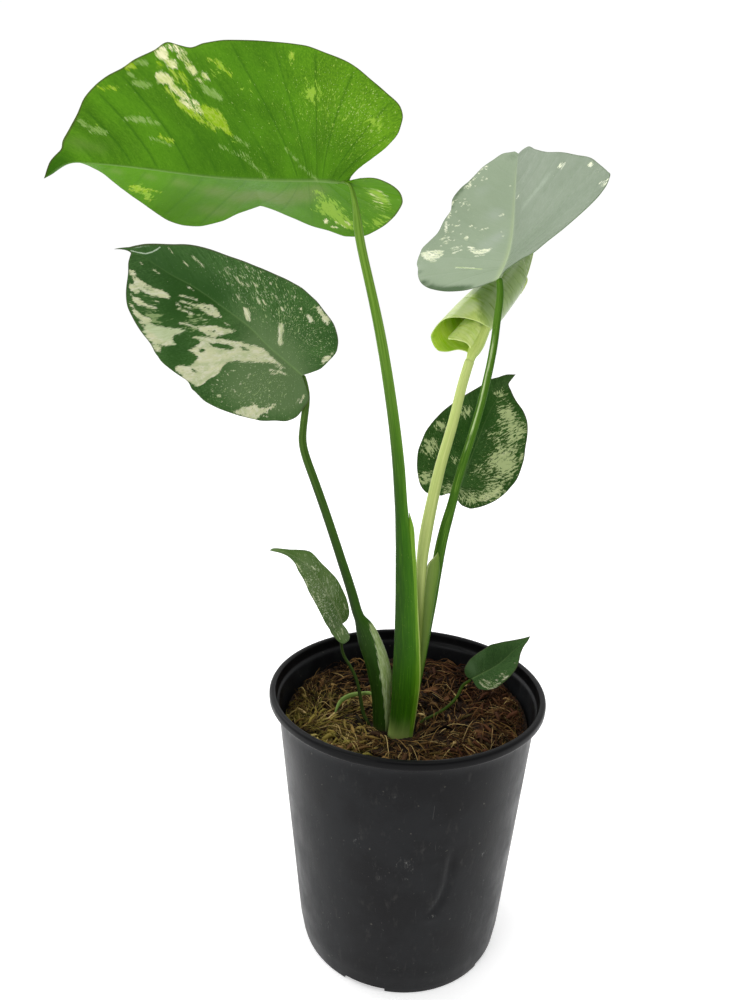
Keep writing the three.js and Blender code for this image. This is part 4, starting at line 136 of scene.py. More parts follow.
# Markings of each blade in its own (along, across) lengths, right half positive. The soft clouds are painted sheen, the
# glow clouds painted light through the blade and painted highlights, and leaf_2's line strokes a painted highlight
# along its curled tip.
MARKS = {
    "leaf_1": {
        "cream": [
            ("patch", [(93.2, -49.9), (91, -51.6), (88.4, -52.1), (87.5, -50.3), (87.1, -47.6), (89.3, -46.5), (92, -46.9)]),
            ("patch", [(88.9, -46.5), (86.2, -47.7), (83.9, -47.2), (82.6, -45), (84.9, -43.9), (87.6, -44.3)]),
            ("patch", [(93.3, -40.4), (91.1, -41.9), (87.6, -41.5), (84.9, -39.1), (85.8, -37.3), (89, -37.3), (92.1, -37.7)]),
            ("stroke", [(86.6, -52.4, 0.41), (83.4, -51.2, 0.41), (80.2, -49.7, 0.41), (77.3, -47.2, 0.41)]),
            ("stroke", [(84.8, -53.2, 0.32), (81.6, -52.2, 0.32), (78.7, -50.6, 0.32)]),
            ("stroke", [(83, -49.3, 0.37), (79.2, -47.4, 0.37), (75.3, -45.1, 0.37)]),
            ("patch", [(79.2, -46.2), (76.3, -46.1), (73.3, -43.7), (75.3, -42.2), (77.8, -43.6)]),
            ("patch", [(71.8, -44.6), (68.6, -43.7), (67.1, -41.4), (69.7, -41.2), (71.3, -42.7)]),
            ("stroke", [(74.3, -41.5, 0.37), (70.8, -40.3, 0.37)]),
            ("stroke", [(86.7, -36.4, 0.90), (83, -34.4, 0.90), (79.2, -32.8, 0.90)]),
            ("stroke", [(84, -35.9, 0.72), (80.2, -34.3, 0.72), (75.8, -31.5, 0.72), (73.4, -30.6, 0.72)]),
            ("stroke", [(81.1, -31.3, 0.78), (77.3, -29.3, 0.78), (73.9, -28, 0.78), (71.9, -27.4, 0.78)]),
            ("stroke", [(78.3, -32.5, 0.37), (74.4, -30.5, 0.37), (70.9, -28.7, 0.37)]),
            ("stroke", [(0.3, 35.3, 0.41), (-2.4, 37.8, 0.41)]),
            ("patch", [(9.9, 42.3), (10.2, 44.2), (11.1, 45.9), (12.2, 46.4), (12.6, 45), (12.8, 43.4), (12.1, 41.7), (11.1, 40.7), (10.3, 41.1)]),
            ("stroke", [(5.6, 40.5, 0.61)]),
            ("stroke", [(9.2, 47.5, 0.37), (4.9, 44.9, 0.37)]),
            ("stroke", [(2.6, 40.1, 0.32), (0.2, 41, 0.32)]),
            ("stroke", [(-11.2, 3.4, 0.37), (-15, 6.6, 0.37)]),
            ("stroke", [(-14.8, -0.4, 0.32), (-19.7, 2.7, 0.32)]),
            ("stroke", [(-13.1, 9.2, 0.37), (-17.3, 10.2, 0.37)]),
        ],
        "pale": [
            ("patch", [(71.8, -39), (68.2, -38.5), (64, -36.8), (59.9, -34.6), (60.9, -33.3), (65.6, -34.2), (69.8, -35.9)]),
            ("patch", [(94.8, -35.6), (96.1, -34.6), (98.9, -34.4), (101.3, -34.7), (103, -35.4), (102.8, -36.3), (100.8, -36.9), (98.2, -37.2), (95.7, -36.6)]),
            ("patch", [(101.8, -38.8), (102.1, -38.2), (103.5, -38.1), (104.7, -38.5), (105.4, -38.9), (105.4, -39.5), (104.4, -39.8), (103, -39.7), (101.9, -39.3)]),
            ("patch", [(96, -44.3), (96.6, -43.5), (98.4, -43.3), (100.1, -43.5), (101.5, -44.1), (100.8, -44.9), (99.6, -45.4), (97.9, -45.5), (96.1, -45.1)]),
            ("patch", [(96.1, -34.8), (96.4, -34.3), (97.6, -34), (98.7, -34.3), (99.5, -34.7), (99.4, -35.3), (98.5, -35.7), (97.3, -35.6), (96.5, -35.3)]),
            ("stroke", [(125.4, -16.2, 0.60), (121.9, -15.2, 0.60)]),
            ("stroke", [(126.5, -17.7, 0.41), (124, -16.7, 0.41)]),
            ("stroke", [(105.9, -20.6, 0.72), (98.9, -20.7, 0.72), (91.7, -20.3, 0.72)]),
            ("stroke", [(103.7, -21.7, 0.37), (95.7, -21.9, 0.37)]),
            ("stroke", [(95.3, -13.9, 0.41), (90.3, -12.8, 0.41), (86.1, -11.6, 0.41)]),
            ("stroke", [(62.4, -14.1, 0.37), (56.6, -11.8, 0.37), (49.4, -8.7, 0.37), (44.6, -5.3, 0.37), (40.4, -1, 0.37)]),
            ("stroke", [(52.6, -12.5, 0.37), (47.9, -9.2, 0.37)]),
            ("stroke", [(54.4, -18, 0.41), (48.7, -14.4, 0.41)]),
            ("patch", [(122.3, -15.6), (118.8, -15.5), (114.4, -14.2), (115.4, -12.8), (119.8, -12.9), (122.4, -13.9)]),
            ("stroke", [(23.7, -6.7, 0.32), (20, -3.6, 0.32), (15.7, -0.5, 0.32)]),
            ("stroke", [(30.8, -14.1, 0.28), (25.1, -8.9, 0.28)]),
            ("stroke", [(-7.5, 0.2, 0.37), (-11, 0.7, 0.37), (-14.2, 4, 0.37), (-17.2, 9.3, 0.37)]),
            ("stroke", [(-11.1, -1.5, 0.32), (-15.3, -0.5, 0.32), (-19.3, 3.8, 0.32), (-21.3, 8.6, 0.32)]),
            ("stroke", [(-9.5, 1.3, 0.28), (-12.9, 6.5, 0.28), (-15.8, 10.9, 0.28)]),
        ],
        "yellow": [
            ("patch", [(73.4, -29.7), (69.3, -30.5), (65.2, -29.6), (61.6, -27.8), (59.2, -24.6), (56.8, -20.5), (55.9, -18.4), (58.8, -19.1), (62.8, -21.4), (67.3, -24), (70.9, -26.6)]),
            ("patch", [(84, -32.2), (79.2, -29.9), (74.3, -27.1), (68.4, -24.3), (62.8, -21), (65.9, -20.7), (71.4, -23.2), (77.3, -25.5), (81.6, -28.4), (84.4, -30.5)]),
            ("stroke", [(88.5, -35.3, 0.60), (85.3, -32.9, 0.60), (82.1, -30, 0.60), (79.2, -27.8, 0.60)]),
            ("patch", [(107.6, 15.8), (104.1, 14.6), (100.9, 16.5), (97.7, 17), (99.9, 19.7), (104.2, 19.7)]),
            ("stroke", [(97.8, 17.9, 0.32), (93.2, 19.4, 0.32)]),
            ("stroke", [(100.9, 24.9, 0.41), (98.6, 26.4, 0.41)]),
            ("patch", [(101.8, -42.1), (102.6, -41.3), (104.1, -40.8), (105.7, -41.3), (106.2, -42.5), (105.8, -43.6), (104.4, -44.1), (102.9, -44), (101.8, -43.1)]),
            ("stroke", [(92, -45.3, 0.72), (90.2, -44, 0.72)]),
            ("stroke", [(82.1, -42.7, 0.84), (79.2, -39, 0.84), (77.3, -35.9, 0.84)]),
            ("stroke", [(85.8, -43, 0.72), (83, -40.1, 0.72)]),
            ("stroke", [(86.7, -38, 0.66), (84, -36.7, 0.66)]),
            ("stroke", [(63.6, -48.5, 0.60), (60.9, -47, 0.60)]),
            ("stroke", [(59.4, -45.9, 0.41), (55.9, -44.1, 0.41)]),
            ("stroke", [(68, -49.7, 0.32), (64.7, -48.8, 0.32)]),
            ("stroke", [(58.3, -46.8, 0.32), (56.4, -44.1, 0.32)]),
            ("stroke", [(26.8, -53.4, 0.28), (25.8, -52.2, 0.28)]),
            ("stroke", [(117.6, -32.5, 0.37), (114.2, -32.1, 0.37)]),
            ("stroke", [(112.5, -32.6, 0.41), (110, -32.9, 0.41)]),
            ("stroke", [(106.6, 19.3, 0.60), (98, 19.6, 0.60)]),
            ("stroke", [(91.2, -15.2, 0.41), (85.7, -13.4, 0.41)]),
        ],
        "yellow_cut": [],
        "marble": [
            (11.2, -30.8, 28.8, 0.3),
            (-6.1, -34.2, 18, 0.25),
            (22.2, -44.7, 18, 0.2),
            (2.2, -15.1, 21, 0.25),
            (11.5, 20.3, 10.2, 0.9),
            (7.1, 30.4, 10.2, 0.92),
            (16.2, 36.9, 7.8, 0.66),
            (16, 11.7, 4.8, 0.6),
            (1, 37.8, 6.6, 1.1),
            (-6.3, 38.8, 5.4, 0.6),
            (-12.5, 1, 5.4, 1.15),
            (-17.5, 6.4, 5.4, 1.2),
            (-21.4, 19.6, 8.4, 1.05),
            (-14, 31.4, 7.2, 1.05),
            (17.8, -37.4, 4.2, 0.5),
            (20.1, -28.7, 4.2, 0.2),
            (26.3, -52.6, 3, 0.7),
            (39.3, -48.8, 3, 0.7),
            (-7.5, -29.8, 4.2, 0.6),
            (48.2, -38.4, 4.2, 0.7),
            (119.3, -15, 4.8, 1.0),
            (62.6, -46.9, 7.2, 0.95),
            (90.8, -13.1, 5.4, 0.8),
            (100.2, -20.9, 7.2, 0.65),
            (55, -16.3, 4.8, 0.7),
            (103.9, 17.1, 7.2, 1.1),
            (98.5, 24.7, 4.2, 1.0),
            (113.3, -33, 5.4, 0.7),
            (64.6, -34.7, 6.6, 0.5),
            (91.1, -43.9, 8.4, 0.3),
            (18.2, -37.8, 15.6, 0.2),
            (51.6, -38.7, 15.6, 0.2),
            (69.9, -24.2, 8.4, 0.3),
            (82.1, -33.3, 7.2, 0.5),
            (84, -40, 6, 0.5),
        ],
        # painted light: lighter yellow-green where light shines through the blade and where sheen falls
        "painted_glow": [
            (-15.1, 8.4, 14.4, 0.5),
            (-21.9, 24.1, 10.8, 0.2),
            (-11.1, 36.5, 9.6, 0.2),
            (-6.3, -33.4, 22.8, 0.25),
            (7.5, -43.8, 25.2, 0.2),
            (-14.6, -22.9, 14.4, 0.3),
            (21.9, -50.7, 24, 0.15),
            (9.4, 25.6, 12, 0.2),
            (102.7, 19.4, 12, 0.15),
            (98.7, 27.3, 12, 0.1),
        ],
        # painted sheen: grey-green where light reflects off the blade
        "soft": [
            (129.7, -9.1, 3, 0.2),
            (126.3, -8, 3, 0.22),
            (122, -7.1, 3, 0.2),
            (117.5, -6.7, 3, 0.15),
            (123.2, 9, 3.6, 0.35),
            (111.4, 5.5, 3.6, 0.5),
            (96.6, 6.6, 4.2, 0.55),
            (82.8, 9.9, 6, 0.6),
            (67.1, 18.1, 8.4, 0.75),
            (53.9, 30.8, 9.6, 0.85),
            (38.9, 29.8, 10.2, 0.95),
            (25, 18.9, 9.6, 0.85),
            (15.5, 9.2, 7.2, 0.6),
            (73.9, 37.9, 6.6, 0.45),
            (66.6, 45.5, 6.6, 0.55),
            (127.2, -7.5, 6, 0.22),
            (116.2, -7.2, 6, 0.2),
            (102.7, -7.3, 5.4, 0.15),
        ],
        "fleck": [
            (11.2, -30.8, 36, 0.64),
            (-4.6, -29.6, 24, 0.5),
            (62.1, -29, 30, 0.4),
            (104.1, -36.5, 24, 0.15),
            (72.2, -48.5, 15, 0.2),
            (0.8, 29.9, 12, 0.7),
            (-16.5, 12.4, 13.2, 0.95),
            (55.3, 20.5, 30, 0.25),
        ],
        "fleck_base": 0.05,
        "deep": [
            (119.1, 44.2, 13.2, 0.3),
            (92.6, 38.2, 12, 0.2),
            (135.9, -2.1, 6, 0.7),
            (143.4, -0.9, 4.8, 0.8),
            (41.7, -46.3, 24, 0.25),
            (57.6, -10, 18, 0.4),
            (81.9, -9.9, 15, 0.3),
            (23.6, -8.9, 15, 0.2),
        ],
    },
    "leaf_2": {
        "cream": [
            ("patch", [(99.6, -9.6), (99.7, -10.7), (100.4, -11.8), (101.8, -11.8), (103.3, -11.7), (103.7, -10.7), (103.1, -9.6), (101.9, -8.9), (100.7, -9.1)]),
            ("stroke", [(104.2, -9.8, 0.41), (99.7, -12.4, 0.41), (96.2, -13.5, 0.41)]),
            ("patch", [(99, -11), (94.8, -11), (90.3, -11.1), (87, -10.7), (83.8, -9.2), (80.6, -9.5), (78.7, -10.1), (79.3, -11.5), (83.3, -13.1), (86.9, -14.6), (90.6, -15.3), (93.7, -15.5), (98.4, -14.6)]),
            ("patch", [(101.5, -16.4), (98.9, -15.1), (95.2, -15.2), (93.2, -16.4), (94.2, -18.2), (98.4, -18.6)]),
            ("patch", [(95.9, -21.4), (93.2, -19.9), (90.8, -19.6), (87.2, -20), (82.9, -18.2), (83.7, -19.9), (85.7, -21), (88.2, -21.4), (91.2, -22.5), (93, -22.7)]),
            ("stroke", [(97.5, -20.3, 0.29), (94.1, -20.6, 0.29)]),
            ("stroke", [(84.3, -15.9, 0.23), (82.7, -15.6, 0.23)]),
            ("stroke", [(95.7, -24.3, 0.37), (90.7, -26, 0.37), (87.5, -26.7, 0.37)]),
            ("stroke", [(74.7, -7.3, 0.37), (69.6, -6.2, 0.37), (65.4, -4.8, 0.37)]),
            ("stroke", [(73, -9.6, 0.37), (68.3, -8.6, 0.37), (64.3, -7.7, 0.37)]),
            ("stroke", [(72.3, -13.7, 0.41), (67.8, -12.9, 0.41), (63.3, -12.4, 0.41)]),
            ("stroke", [(69.5, -10.9, 0.19), (66.1, -10.3, 0.19)]),
            ("stroke", [(74.6, -12.1, 0.23), (72.3, -11.9, 0.23)]),
            ("patch", [(64.7, -7), (61.2, -4.5), (57.9, -2.8), (55, -2.5), (50.5, -4.7), (52.5, -6.5), (56.2, -7.4), (59.8, -7.7), (62.4, -7.7)]),
            ("stroke", [(65.9, -12.4, 0.29), (62.5, -11.7, 0.29)]),
            ("stroke", [(58.6, -11.4, 0.23), (55.7, -10.2, 0.23)]),
            ("patch", [(94.5, -25.1), (91.4, -25.8), (88.2, -26.4), (85, -25.4), (82.6, -25.9), (82.8, -28.1), (84.5, -29.5), (87.2, -28.8), (90.9, -27.9)]),
            ("patch", [(58.1, -16.4), (54.3, -13.1), (50.1, -10), (46.3, -8.4), (41.8, -6.7), (40.9, -7), (43.8, -10.4), (45.5, -12.5), (48, -15.3), (50.3, -16.5), (52.7, -16.7), (56.3, -17)]),
            ("stroke", [(67.9, -19.7, 0.37), (62, -17.7, 0.37), (57.8, -16.8, 0.37)]),
            ("stroke", [(47.2, -6.2, 0.23), (44.5, -5.6, 0.23)]),
            ("stroke", [(43.8, -7.4, 0.26), (40.9, -6.2, 0.26)]),
            ("patch", [(57.5, -22.3), (52.7, -18.6), (48.1, -16.1), (44.1, -13.7), (38.4, -11.1), (31, -7.3), (27.1, -4.5), (23.4, -2.6), (19.9, -2.8), (16.4, -3), (9, -3.2), (11.1, -4), (13.6, -4.1), (18.4, -7), (22.5, -11.3), (25.5, -15.1), (28.8, -18.2), (30.8, -20.9), (31.6, -23.3), (31.6, -25.6), (30.6, -27.1), (30.1, -29.9), (30.5, -32.6), (32.1, -36.2), (33, -39.8), (39.3, -42.9), (45.4, -43.5), (48.6, -43.3), (52.2, -42.6), (56.7, -42.3), (56.3, -40.7), (54.6, -39), (50.1, -35.7), (48.9, -31.5), (49.2, -29.1), (52, -28.6), (55.4, -29.4), (53.2, -25.7), (51.9, -22.8), (53.5, -21.3)]),
            ("patch", [(82.9, -31.9), (80.5, -31.3), (77.7, -32.4), (72.6, -32.1), (67.6, -29.7), (65.3, -31.7), (70.2, -34), (75.2, -35.3), (79.6, -35.9), (82.5, -34.6)]),
            ("stroke", [(86.8, -29.8, 0.41), (83.5, -31.3, 0.41), (80.8, -33.2, 0.41)]),
            ("patch", [(79.7, -37.1), (77.6, -35.8), (73.7, -36.5), (74.8, -39.2), (77.5, -39.3)]),
            ("stroke", [(76, -38.7, 0.26), (73, -38.5, 0.26)]),
            ("patch", [(14.9, -40), (13.7, -36.5), (12.1, -33.5), (9.9, -30.9), (7.4, -28.6), (5.9, -29.3), (1.9, -26.4), (0.2, -23.3), (-1.3, -22.6), (0.3, -26.5), (1.3, -30.2), (1.2, -33.7), (1.4, -35.9), (5.9, -37), (9.3, -37.9), (12.7, -39.7)]),
            ("stroke", [(2.1, -23.6, 0.26), (-0.5, -21.8, 0.26)]),
            ("stroke", [(1.9, -29, 0.26), (-0.4, -28, 0.26)]),
            ("stroke", [(-0.5, -25, 0.25)]),
            ("stroke", [(-0.4, -30.7, 0.23), (-2, -29.7, 0.23)]),
            ("stroke", [(11.3, -29.4, 0.26), (8.6, -28.8, 0.26)]),
            ("patch", [(43.7, 8), (42.3, 8.6), (40, 7.3), (37.6, 3.5), (39.2, 2.6), (42, 5.2)]),
            ("patch", [(27.8, 16.4), (25.8, 17.3), (23, 14.3), (21.9, 10.9), (18.7, 8.1), (18.7, 5.4), (21.1, 6.3), (23.2, 10.2), (26.1, 13.1)]),
            ("patch", [(20.2, 38.1), (18.8, 39.2), (15.7, 37.8), (11.2, 37.8), (12.9, 35.5), (16.2, 35.8)]),
            ("patch", [(13.3, 35.1), (10.9, 38.2), (8.6, 36.8), (8.4, 33.9), (11, 34.1)]),
            ("patch", [(20.7, 31.2), (18, 31.9), (14.3, 30.3), (16.4, 28.5)]),
            ("stroke", [(26, 30.9, 0.29), (24.3, 30.9, 0.29)]),
            ("patch", [(-0.9, 16.4), (-0.5, 19.5), (-1.8, 22.1), (-2.9, 21.7), (-3, 18.1), (-2.8, 15)]),
            ("stroke", [(-1.8, 24.2, 0.23), (-2.4, 21.7, 0.23)]),
            ("stroke", [(73.8, 16, 0.37), (72.3, 15.3, 0.37), (70.7, 14.6, 0.37)]),
            ("stroke", [(77.6, 10.5, 0.19), (75.5, 9.6, 0.19)]),
            ("stroke", [(69.5, 14.6, 0.23), (68.3, 13.8, 0.23)]),
            ("stroke", [(92.2, -2.9, 0.19), (88.7, -2.8, 0.19)]),
            ("stroke", [(100, -3.4, 0.19), (98.4, -3.7, 0.19)]),
            ("stroke", [(87.2, 13.2, 0.16), (84.2, 12, 0.16)]),
            ("stroke", [(59.2, 20, 0.23), (57.3, 18.9, 0.23)]),
            ("stroke", [(58.5, 22, 0.16), (57.2, 21.4, 0.16)]),
            ("stroke", [(52.3, 28.6, 0.26), (51.6, 27.9, 0.26)]),
            ("stroke", [(48.4, 29.2, 0.28)]),
            ("stroke", [(45.1, 31, 0.31)]),
            ("stroke", [(53.3, 20.1, 0.41), (51.1, 18.8, 0.41), (49.5, 18.9, 0.41)]),
            ("stroke", [(49.2, 11.7, 0.23), (47.3, 10.3, 0.23)]),
            ("stroke", [(41.2, 17.9, 0.26), (39.2, 16, 0.26)]),
            ("stroke", [(36.1, 25.4, 0.26), (34.1, 24.8, 0.26)]),
            ("stroke", [(32.2, 32, 0.26), (31, 33.6, 0.26)]),
            ("stroke", [(72.8, -1.6, 0.16), (68.6, -1.7, 0.16)]),
            ("stroke", [(40.4, 28.9, 0.31)]),
            ("stroke", [(31.9, 23, 0.23), (30.5, 22.7, 0.23)]),
            ("stroke", [(38.5, 18.5, 0.23), (37, 17.7, 0.23)]),
            ("stroke", [(55.6, 14, 0.25)]),
            ("stroke", [(47.9, 20.7, 0.23), (46.7, 19.8, 0.23)]),
            ("stroke", [(45, 23.5, 0.26), (43.8, 22.6, 0.26)]),
            ("stroke", [(14.4, -8.9, 0.37), (11, -6.6, 0.37), (7.1, -5.5, 0.37)]),
            ("stroke", [(13.9, -5.3, 0.26), (10.7, -4.6, 0.26)]),
            ("stroke", [(12.7, -10.1, 0.23), (10.4, -7.6, 0.23)]),
            ("stroke", [(21.8, -20.1, 0.31)]),
            ("stroke", [(20, -19.9, 0.26), (20.2, -17.9, 0.26)]),
            ("stroke", [(23, -38.2, 0.34)]),
            ("stroke", [(20.1, -30.1, 0.34)]),
            ("stroke", [(17.5, -30.8, 0.28)]),
            ("stroke", [(26.6, -25.9, 0.28)]),
            ("stroke", [(-9.3, -11.2, 0.23), (-7.8, -6.7, 0.23)]),
            ("stroke", [(-8, -13.1, 0.23), (-7.2, -10.5, 0.23)]),
            ("stroke", [(20.8, -39.6, 0.25)]),
            ("stroke", [(26.3, -38.6, 0.22)]),
            ("stroke", [(20.5, -25.3, 0.22)]),
            ("stroke", [(14.9, -25.2, 0.22)]),
        ],
        "cream_cut": [
            ("patch", [(47.8, -19.6), (44.8, -16.5), (39.3, -14.4), (34.4, -13.3), (36.2, -15.8), (42, -18.5), (45.7, -20)]),
            ("patch", [(48, -24), (47.9, -24.8), (48.6, -25.6), (49.4, -26.3), (50.3, -26.1), (50.7, -25.6), (50.3, -24.7), (49.6, -23.9), (48.7, -23.7)]),
            ("patch", [(48.7, -37), (47.6, -35.8), (45.6, -36), (46.5, -37.6)]),
            ("patch", [(32.6, -11), (30.6, -9.1), (28, -8.7), (30, -11.2)]),
            ("stroke", [(60.5, -5.6, 0.23), (57.6, -5.2, 0.23)]),
            ("stroke", [(51.6, -14.3, 0.26), (49.3, -12.5, 0.26)]),
            ("stroke", [(92.4, -13.3, 0.19), (89.9, -12.9, 0.19)]),
        ],
        "pale": [
            ("patch", [(84.9, -28.3), (80.9, -27), (76.1, -25.7), (68.7, -23.3), (62, -20.8), (64.4, -23.9), (67.3, -26.6), (68, -29.3), (65.3, -30.5), (63.4, -30.8), (68.4, -33.6), (75.2, -35.3), (79.1, -36.1), (81.8, -35.7), (84.2, -33)]),
            ("patch", [(48.4, -30.5), (45.6, -23.1), (38.9, -17.5), (29.4, -11.7), (23.4, -8.6), (27.5, -15.9), (31.7, -20.9), (32.1, -25.2), (31, -30.7), (35.7, -37.3), (43.1, -37.4), (44, -31.3)]),
        ],
        # painted highlight: grey-white line along the curled-over tip
        "line": [
            ("stroke", [(106.9, -0.1, 0.32), (103, 0.6, 0.32), (98.6, 2.4, 0.32), (95.6, 5.3, 0.32), (93.3, 8.4, 0.32), (92, 10.7, 0.32)]),
            ("stroke", [(105.3, 1.8, 0.21), (101.2, 4.8, 0.21), (97.2, 7.7, 0.21)]),
        ],
        "marble": [
            (101.8, -4, 8.4, -0.2),
            (14.9, 23.3, 18, 0.42),
            (12.5, 35.1, 10.8, 0.5),
            (41.3, 22.9, 16.8, 0.3),
            (24.5, 3.8, 13.2, 0.25),
            (82, -30.7, 8.4, 0.6),
            (81.1, -22, 8.4, 0.6),
            (86.9, -17, 7.2, 0.45),
            (68.2, -7.7, 10.8, 0.55),
            (56.4, -10.9, 12, 0.45),
            (59.6, -21.1, 10.8, 0.5),
            (20.4, -33.6, 18, 0.3),
            (5.2, -26.6, 10.8, 0.5),
            (53.2, 23.5, 13.2, 0.35),
            (-5.2, -10.3, 7.2, 0.35),
            (62.4, -33.3, 6, -0.3),
        ],
        # painted sheen: grey-green where light reflects off the blade
        "soft": [
            (30.8, 4.5, 13.2, 0.45),
            (15, 4.1, 14.4, 0.5),
            (16.7, -12.5, 14.4, 0.55),
            (1.1, -8.1, 14.4, 0.65),
            (13.1, -23.4, 16.8, 0.55),
            (22.2, -30.7, 10.8, 0.3),
            (13.2, 16.6, 12, 0.1),
            (-0.7, -14, 12, 0.55),
            (44.6, 5, 10.8, 0.25),
            (27.7, -8.3, 7.2, 0.3),
        ],
        "fleck": [
            (21.1, 25.9, 25.2, 0.64),
            (41.3, 22.9, 21.6, 0.52),
            (56.4, 18.6, 15.6, 0.5),
            (4.7, 22.3, 15.6, 0.45),
            (17.5, -30, 26.4, 0.84),
            (81.8, 6.3, 15.6, 0.25),
            (-0.7, -10.1, 15.6, 0.3),
            (11.5, -17, 13.2, 0.2),
        ],
        "fleck_base": 0.12,
        "deep": [
            (90.2, 2.9, 15.6, 0.5),
            (72.6, 2.5, 15.6, 0.5),
            (61.8, -2.5, 8.4, 0.4),
            (76.5, -17.3, 9.6, 0.5),
            (60.7, -35.6, 10.8, 0.6),
            (63.4, -15.5, 10.8, 0.3),
            (3.3, 28.7, 8.4, 0.3),
            (57, 6.6, 9.6, 0.4),
        ],
    },
    "leaf_3": {
        "cream": [
            ("stroke", [(95.6, -21.3, 0.48), (96.9, -19.7, 0.48)]),
            ("stroke", [(97.6, -18.6, 0.42), (98.2, -17.5, 0.42)]),
            ("stroke", [(92.9, -21.7, 0.46)]),
            ("stroke", [(86.4, -17.1, 0.56)]),
            ("stroke", [(86.1, -19.4, 0.46)]),
            ("stroke", [(87.6, -24.8, 0.54), (89.1, -23.7, 0.54)]),
            ("stroke", [(82, -29.3, 0.60), (83.5, -28.3, 0.60)]),
            ("stroke", [(81.3, -26.9, 0.60), (84.5, -26, 0.60)]),
            ("stroke", [(69.3, -36, 0.54), (72.5, -35, 0.54)]),
            ("stroke", [(72.2, -28.3, 0.51)]),
            ("stroke", [(67.8, -29.1, 0.51)]),
            ("stroke", [(66.3, -25.5, 0.51)]),
            ("stroke", [(69.6, -31, 0.46)]),
            ("stroke", [(69.4, -27.5, 0.56)]),
            ("stroke", [(50.5, -37.3, 0.60), (54.9, -38, 0.60)]),
            ("stroke", [(47, -37.3, 0.54), (49.8, -37.9, 0.54)]),
            ("stroke", [(52.1, -34, 0.56)]),
            ("stroke", [(46.7, -33.3, 0.61)]),
            ("stroke", [(54.4, -30.4, 0.51)]),
            ("stroke", [(48.3, -23.2, 0.61)]),
            ("stroke", [(46.3, -20.3, 0.46)]),
            ("stroke", [(42.8, -28.4, 0.56)]),
            ("stroke", [(39, -25.5, 0.66)]),
            ("stroke", [(44.1, -16.5, 0.41)]),
            ("stroke", [(40.4, -39, 0.54), (43.7, -37.9, 0.54)]),
            ("stroke", [(40.3, -35.6, 0.56)]),
            ("stroke", [(38.4, -32, 0.56)]),
            ("stroke", [(36.7, -35.8, 0.51)]),
            ("stroke", [(34.8, -39, 0.51)]),
            ("stroke", [(60.2, -36.1, 0.41)]),
            ("stroke", [(62.5, -32.8, 0.41)]),
            ("patch", [(30.1, -50.1), (32.4, -47.4), (31.6, -43.2), (28.9, -38.8), (25.3, -36.6), (21.5, -39.4), (19.3, -43.2), (23.7, -47.4)]),
            ("stroke", [(31.3, -32.9, 0.42), (31.3, -27.2, 0.42)]),
            ("stroke", [(29.2, -32, 0.42), (29.3, -28.7, 0.42)]),
            ("stroke", [(27.9, -21.8, 0.48), (25, -15.9, 0.48), (26, -10.6, 0.48)]),
            ("stroke", [(22.7, -18.8, 0.42), (22.9, -13.4, 0.42)]),
            ("stroke", [(30, -23.2, 0.36), (28.4, -19.6, 0.36)]),
            ("stroke", [(63.9, 2.8, 0.41)]),
            ("stroke", [(53.2, -5.8, 0.46)]),
            ("stroke", [(39.4, -6.1, 0.41)]),
            ("stroke", [(22.4, 23, 0.36)]),
            ("stroke", [(58.9, 32.9, 0.48), (60, 34.2, 0.48)]),
            ("stroke", [(56.8, 34.2, 0.42), (58, 36.1, 0.42)]),
            ("stroke", [(90.3, -25, 0.56)]),
            ("stroke", [(82.3, -27.3, 0.48), (86.4, -26.4, 0.48)]),
            ("stroke", [(95.5, -17.8, 0.46)]),
            ("stroke", [(88.6, -19, 0.46)]),
            ("stroke", [(58.8, -37.1, 0.54), (65.3, -36.5, 0.54)]),
            ("stroke", [(49.9, -38.2, 0.48), (55.8, -38.1, 0.48)]),
            ("stroke", [(67.5, -26.8, 0.51)]),
            ("stroke", [(66.6, -29.6, 0.42), (69.8, -28.7, 0.42)]),
            ("stroke", [(48.4, -23.8, 0.66)]),
            ("patch", [(38.2, -24.1), (37.1, -24.2), (36.7, -24.8), (37.1, -25.6), (38.1, -26.3), (39.5, -26.5), (40.1, -25.9), (40.1, -25.2), (39.5, -24.4)]),
            ("stroke", [(46, -33.8, 0.56)]),
            ("stroke", [(41.5, -39.7, 0.48), (42, -35.2, 0.48)]),
            ("patch", [(31.4, -50.9), (32.2, -46.8), (31.6, -41.5), (29.3, -36.6), (26.8, -38.5), (25.8, -43), (27.2, -47.9)]),
            ("stroke", [(24.9, -47.6, 0.60), (21.1, -42.3, 0.60), (22.8, -39.6, 0.60)]),
            ("stroke", [(18.6, -43, 0.48), (19.2, -40.2, 0.48)]),
            ("stroke", [(26, -31, 0.54), (28, -26.8, 0.54)]),
            ("patch", [(27.2, -22.8), (25.5, -18.7), (26.5, -13.9), (26, -10.6), (23.4, -10.7), (22.1, -14.3), (22.7, -18.8)]),
            ("stroke", [(20.6, -17.3, 0.42), (21, -13, 0.42)]),
            ("stroke", [(43.7, -14.6, 0.41)]),
            ("stroke", [(52.7, -7.4, 0.42), (54, -5.8, 0.42)]),
            ("stroke", [(76.7, -2.9, 0.41)]),
            ("stroke", [(63.8, 2.1, 0.36), (64.9, 3.6, 0.36)]),
            ("stroke", [(35.9, -4.7, 0.36)]),
            ("stroke", [(60.2, 31.6, 0.48), (60.8, 34.2, 0.48)]),
            ("stroke", [(57.6, 34.2, 0.42), (58.8, 36.1, 0.42)]),
            ("patch", [(45.1, 50.3), (44.1, 52.7), (41.1, 53.9), (40.4, 52.2), (42.9, 50.4)]),
            ("stroke", [(23.7, 57.9, 0.48), (22.7, 60.8, 0.48), (22.2, 63.5, 0.48)]),
            ("stroke", [(20.5, 59.5, 0.42), (20.4, 62.2, 0.42)]),
            ("stroke", [(20.2, -48.6, 0.41)]),
            ("stroke", [(52.7, -36.1, 0.36)]),
            ("stroke", [(43.6, -17.9, 0.42), (44.3, -13.5, 0.42)]),
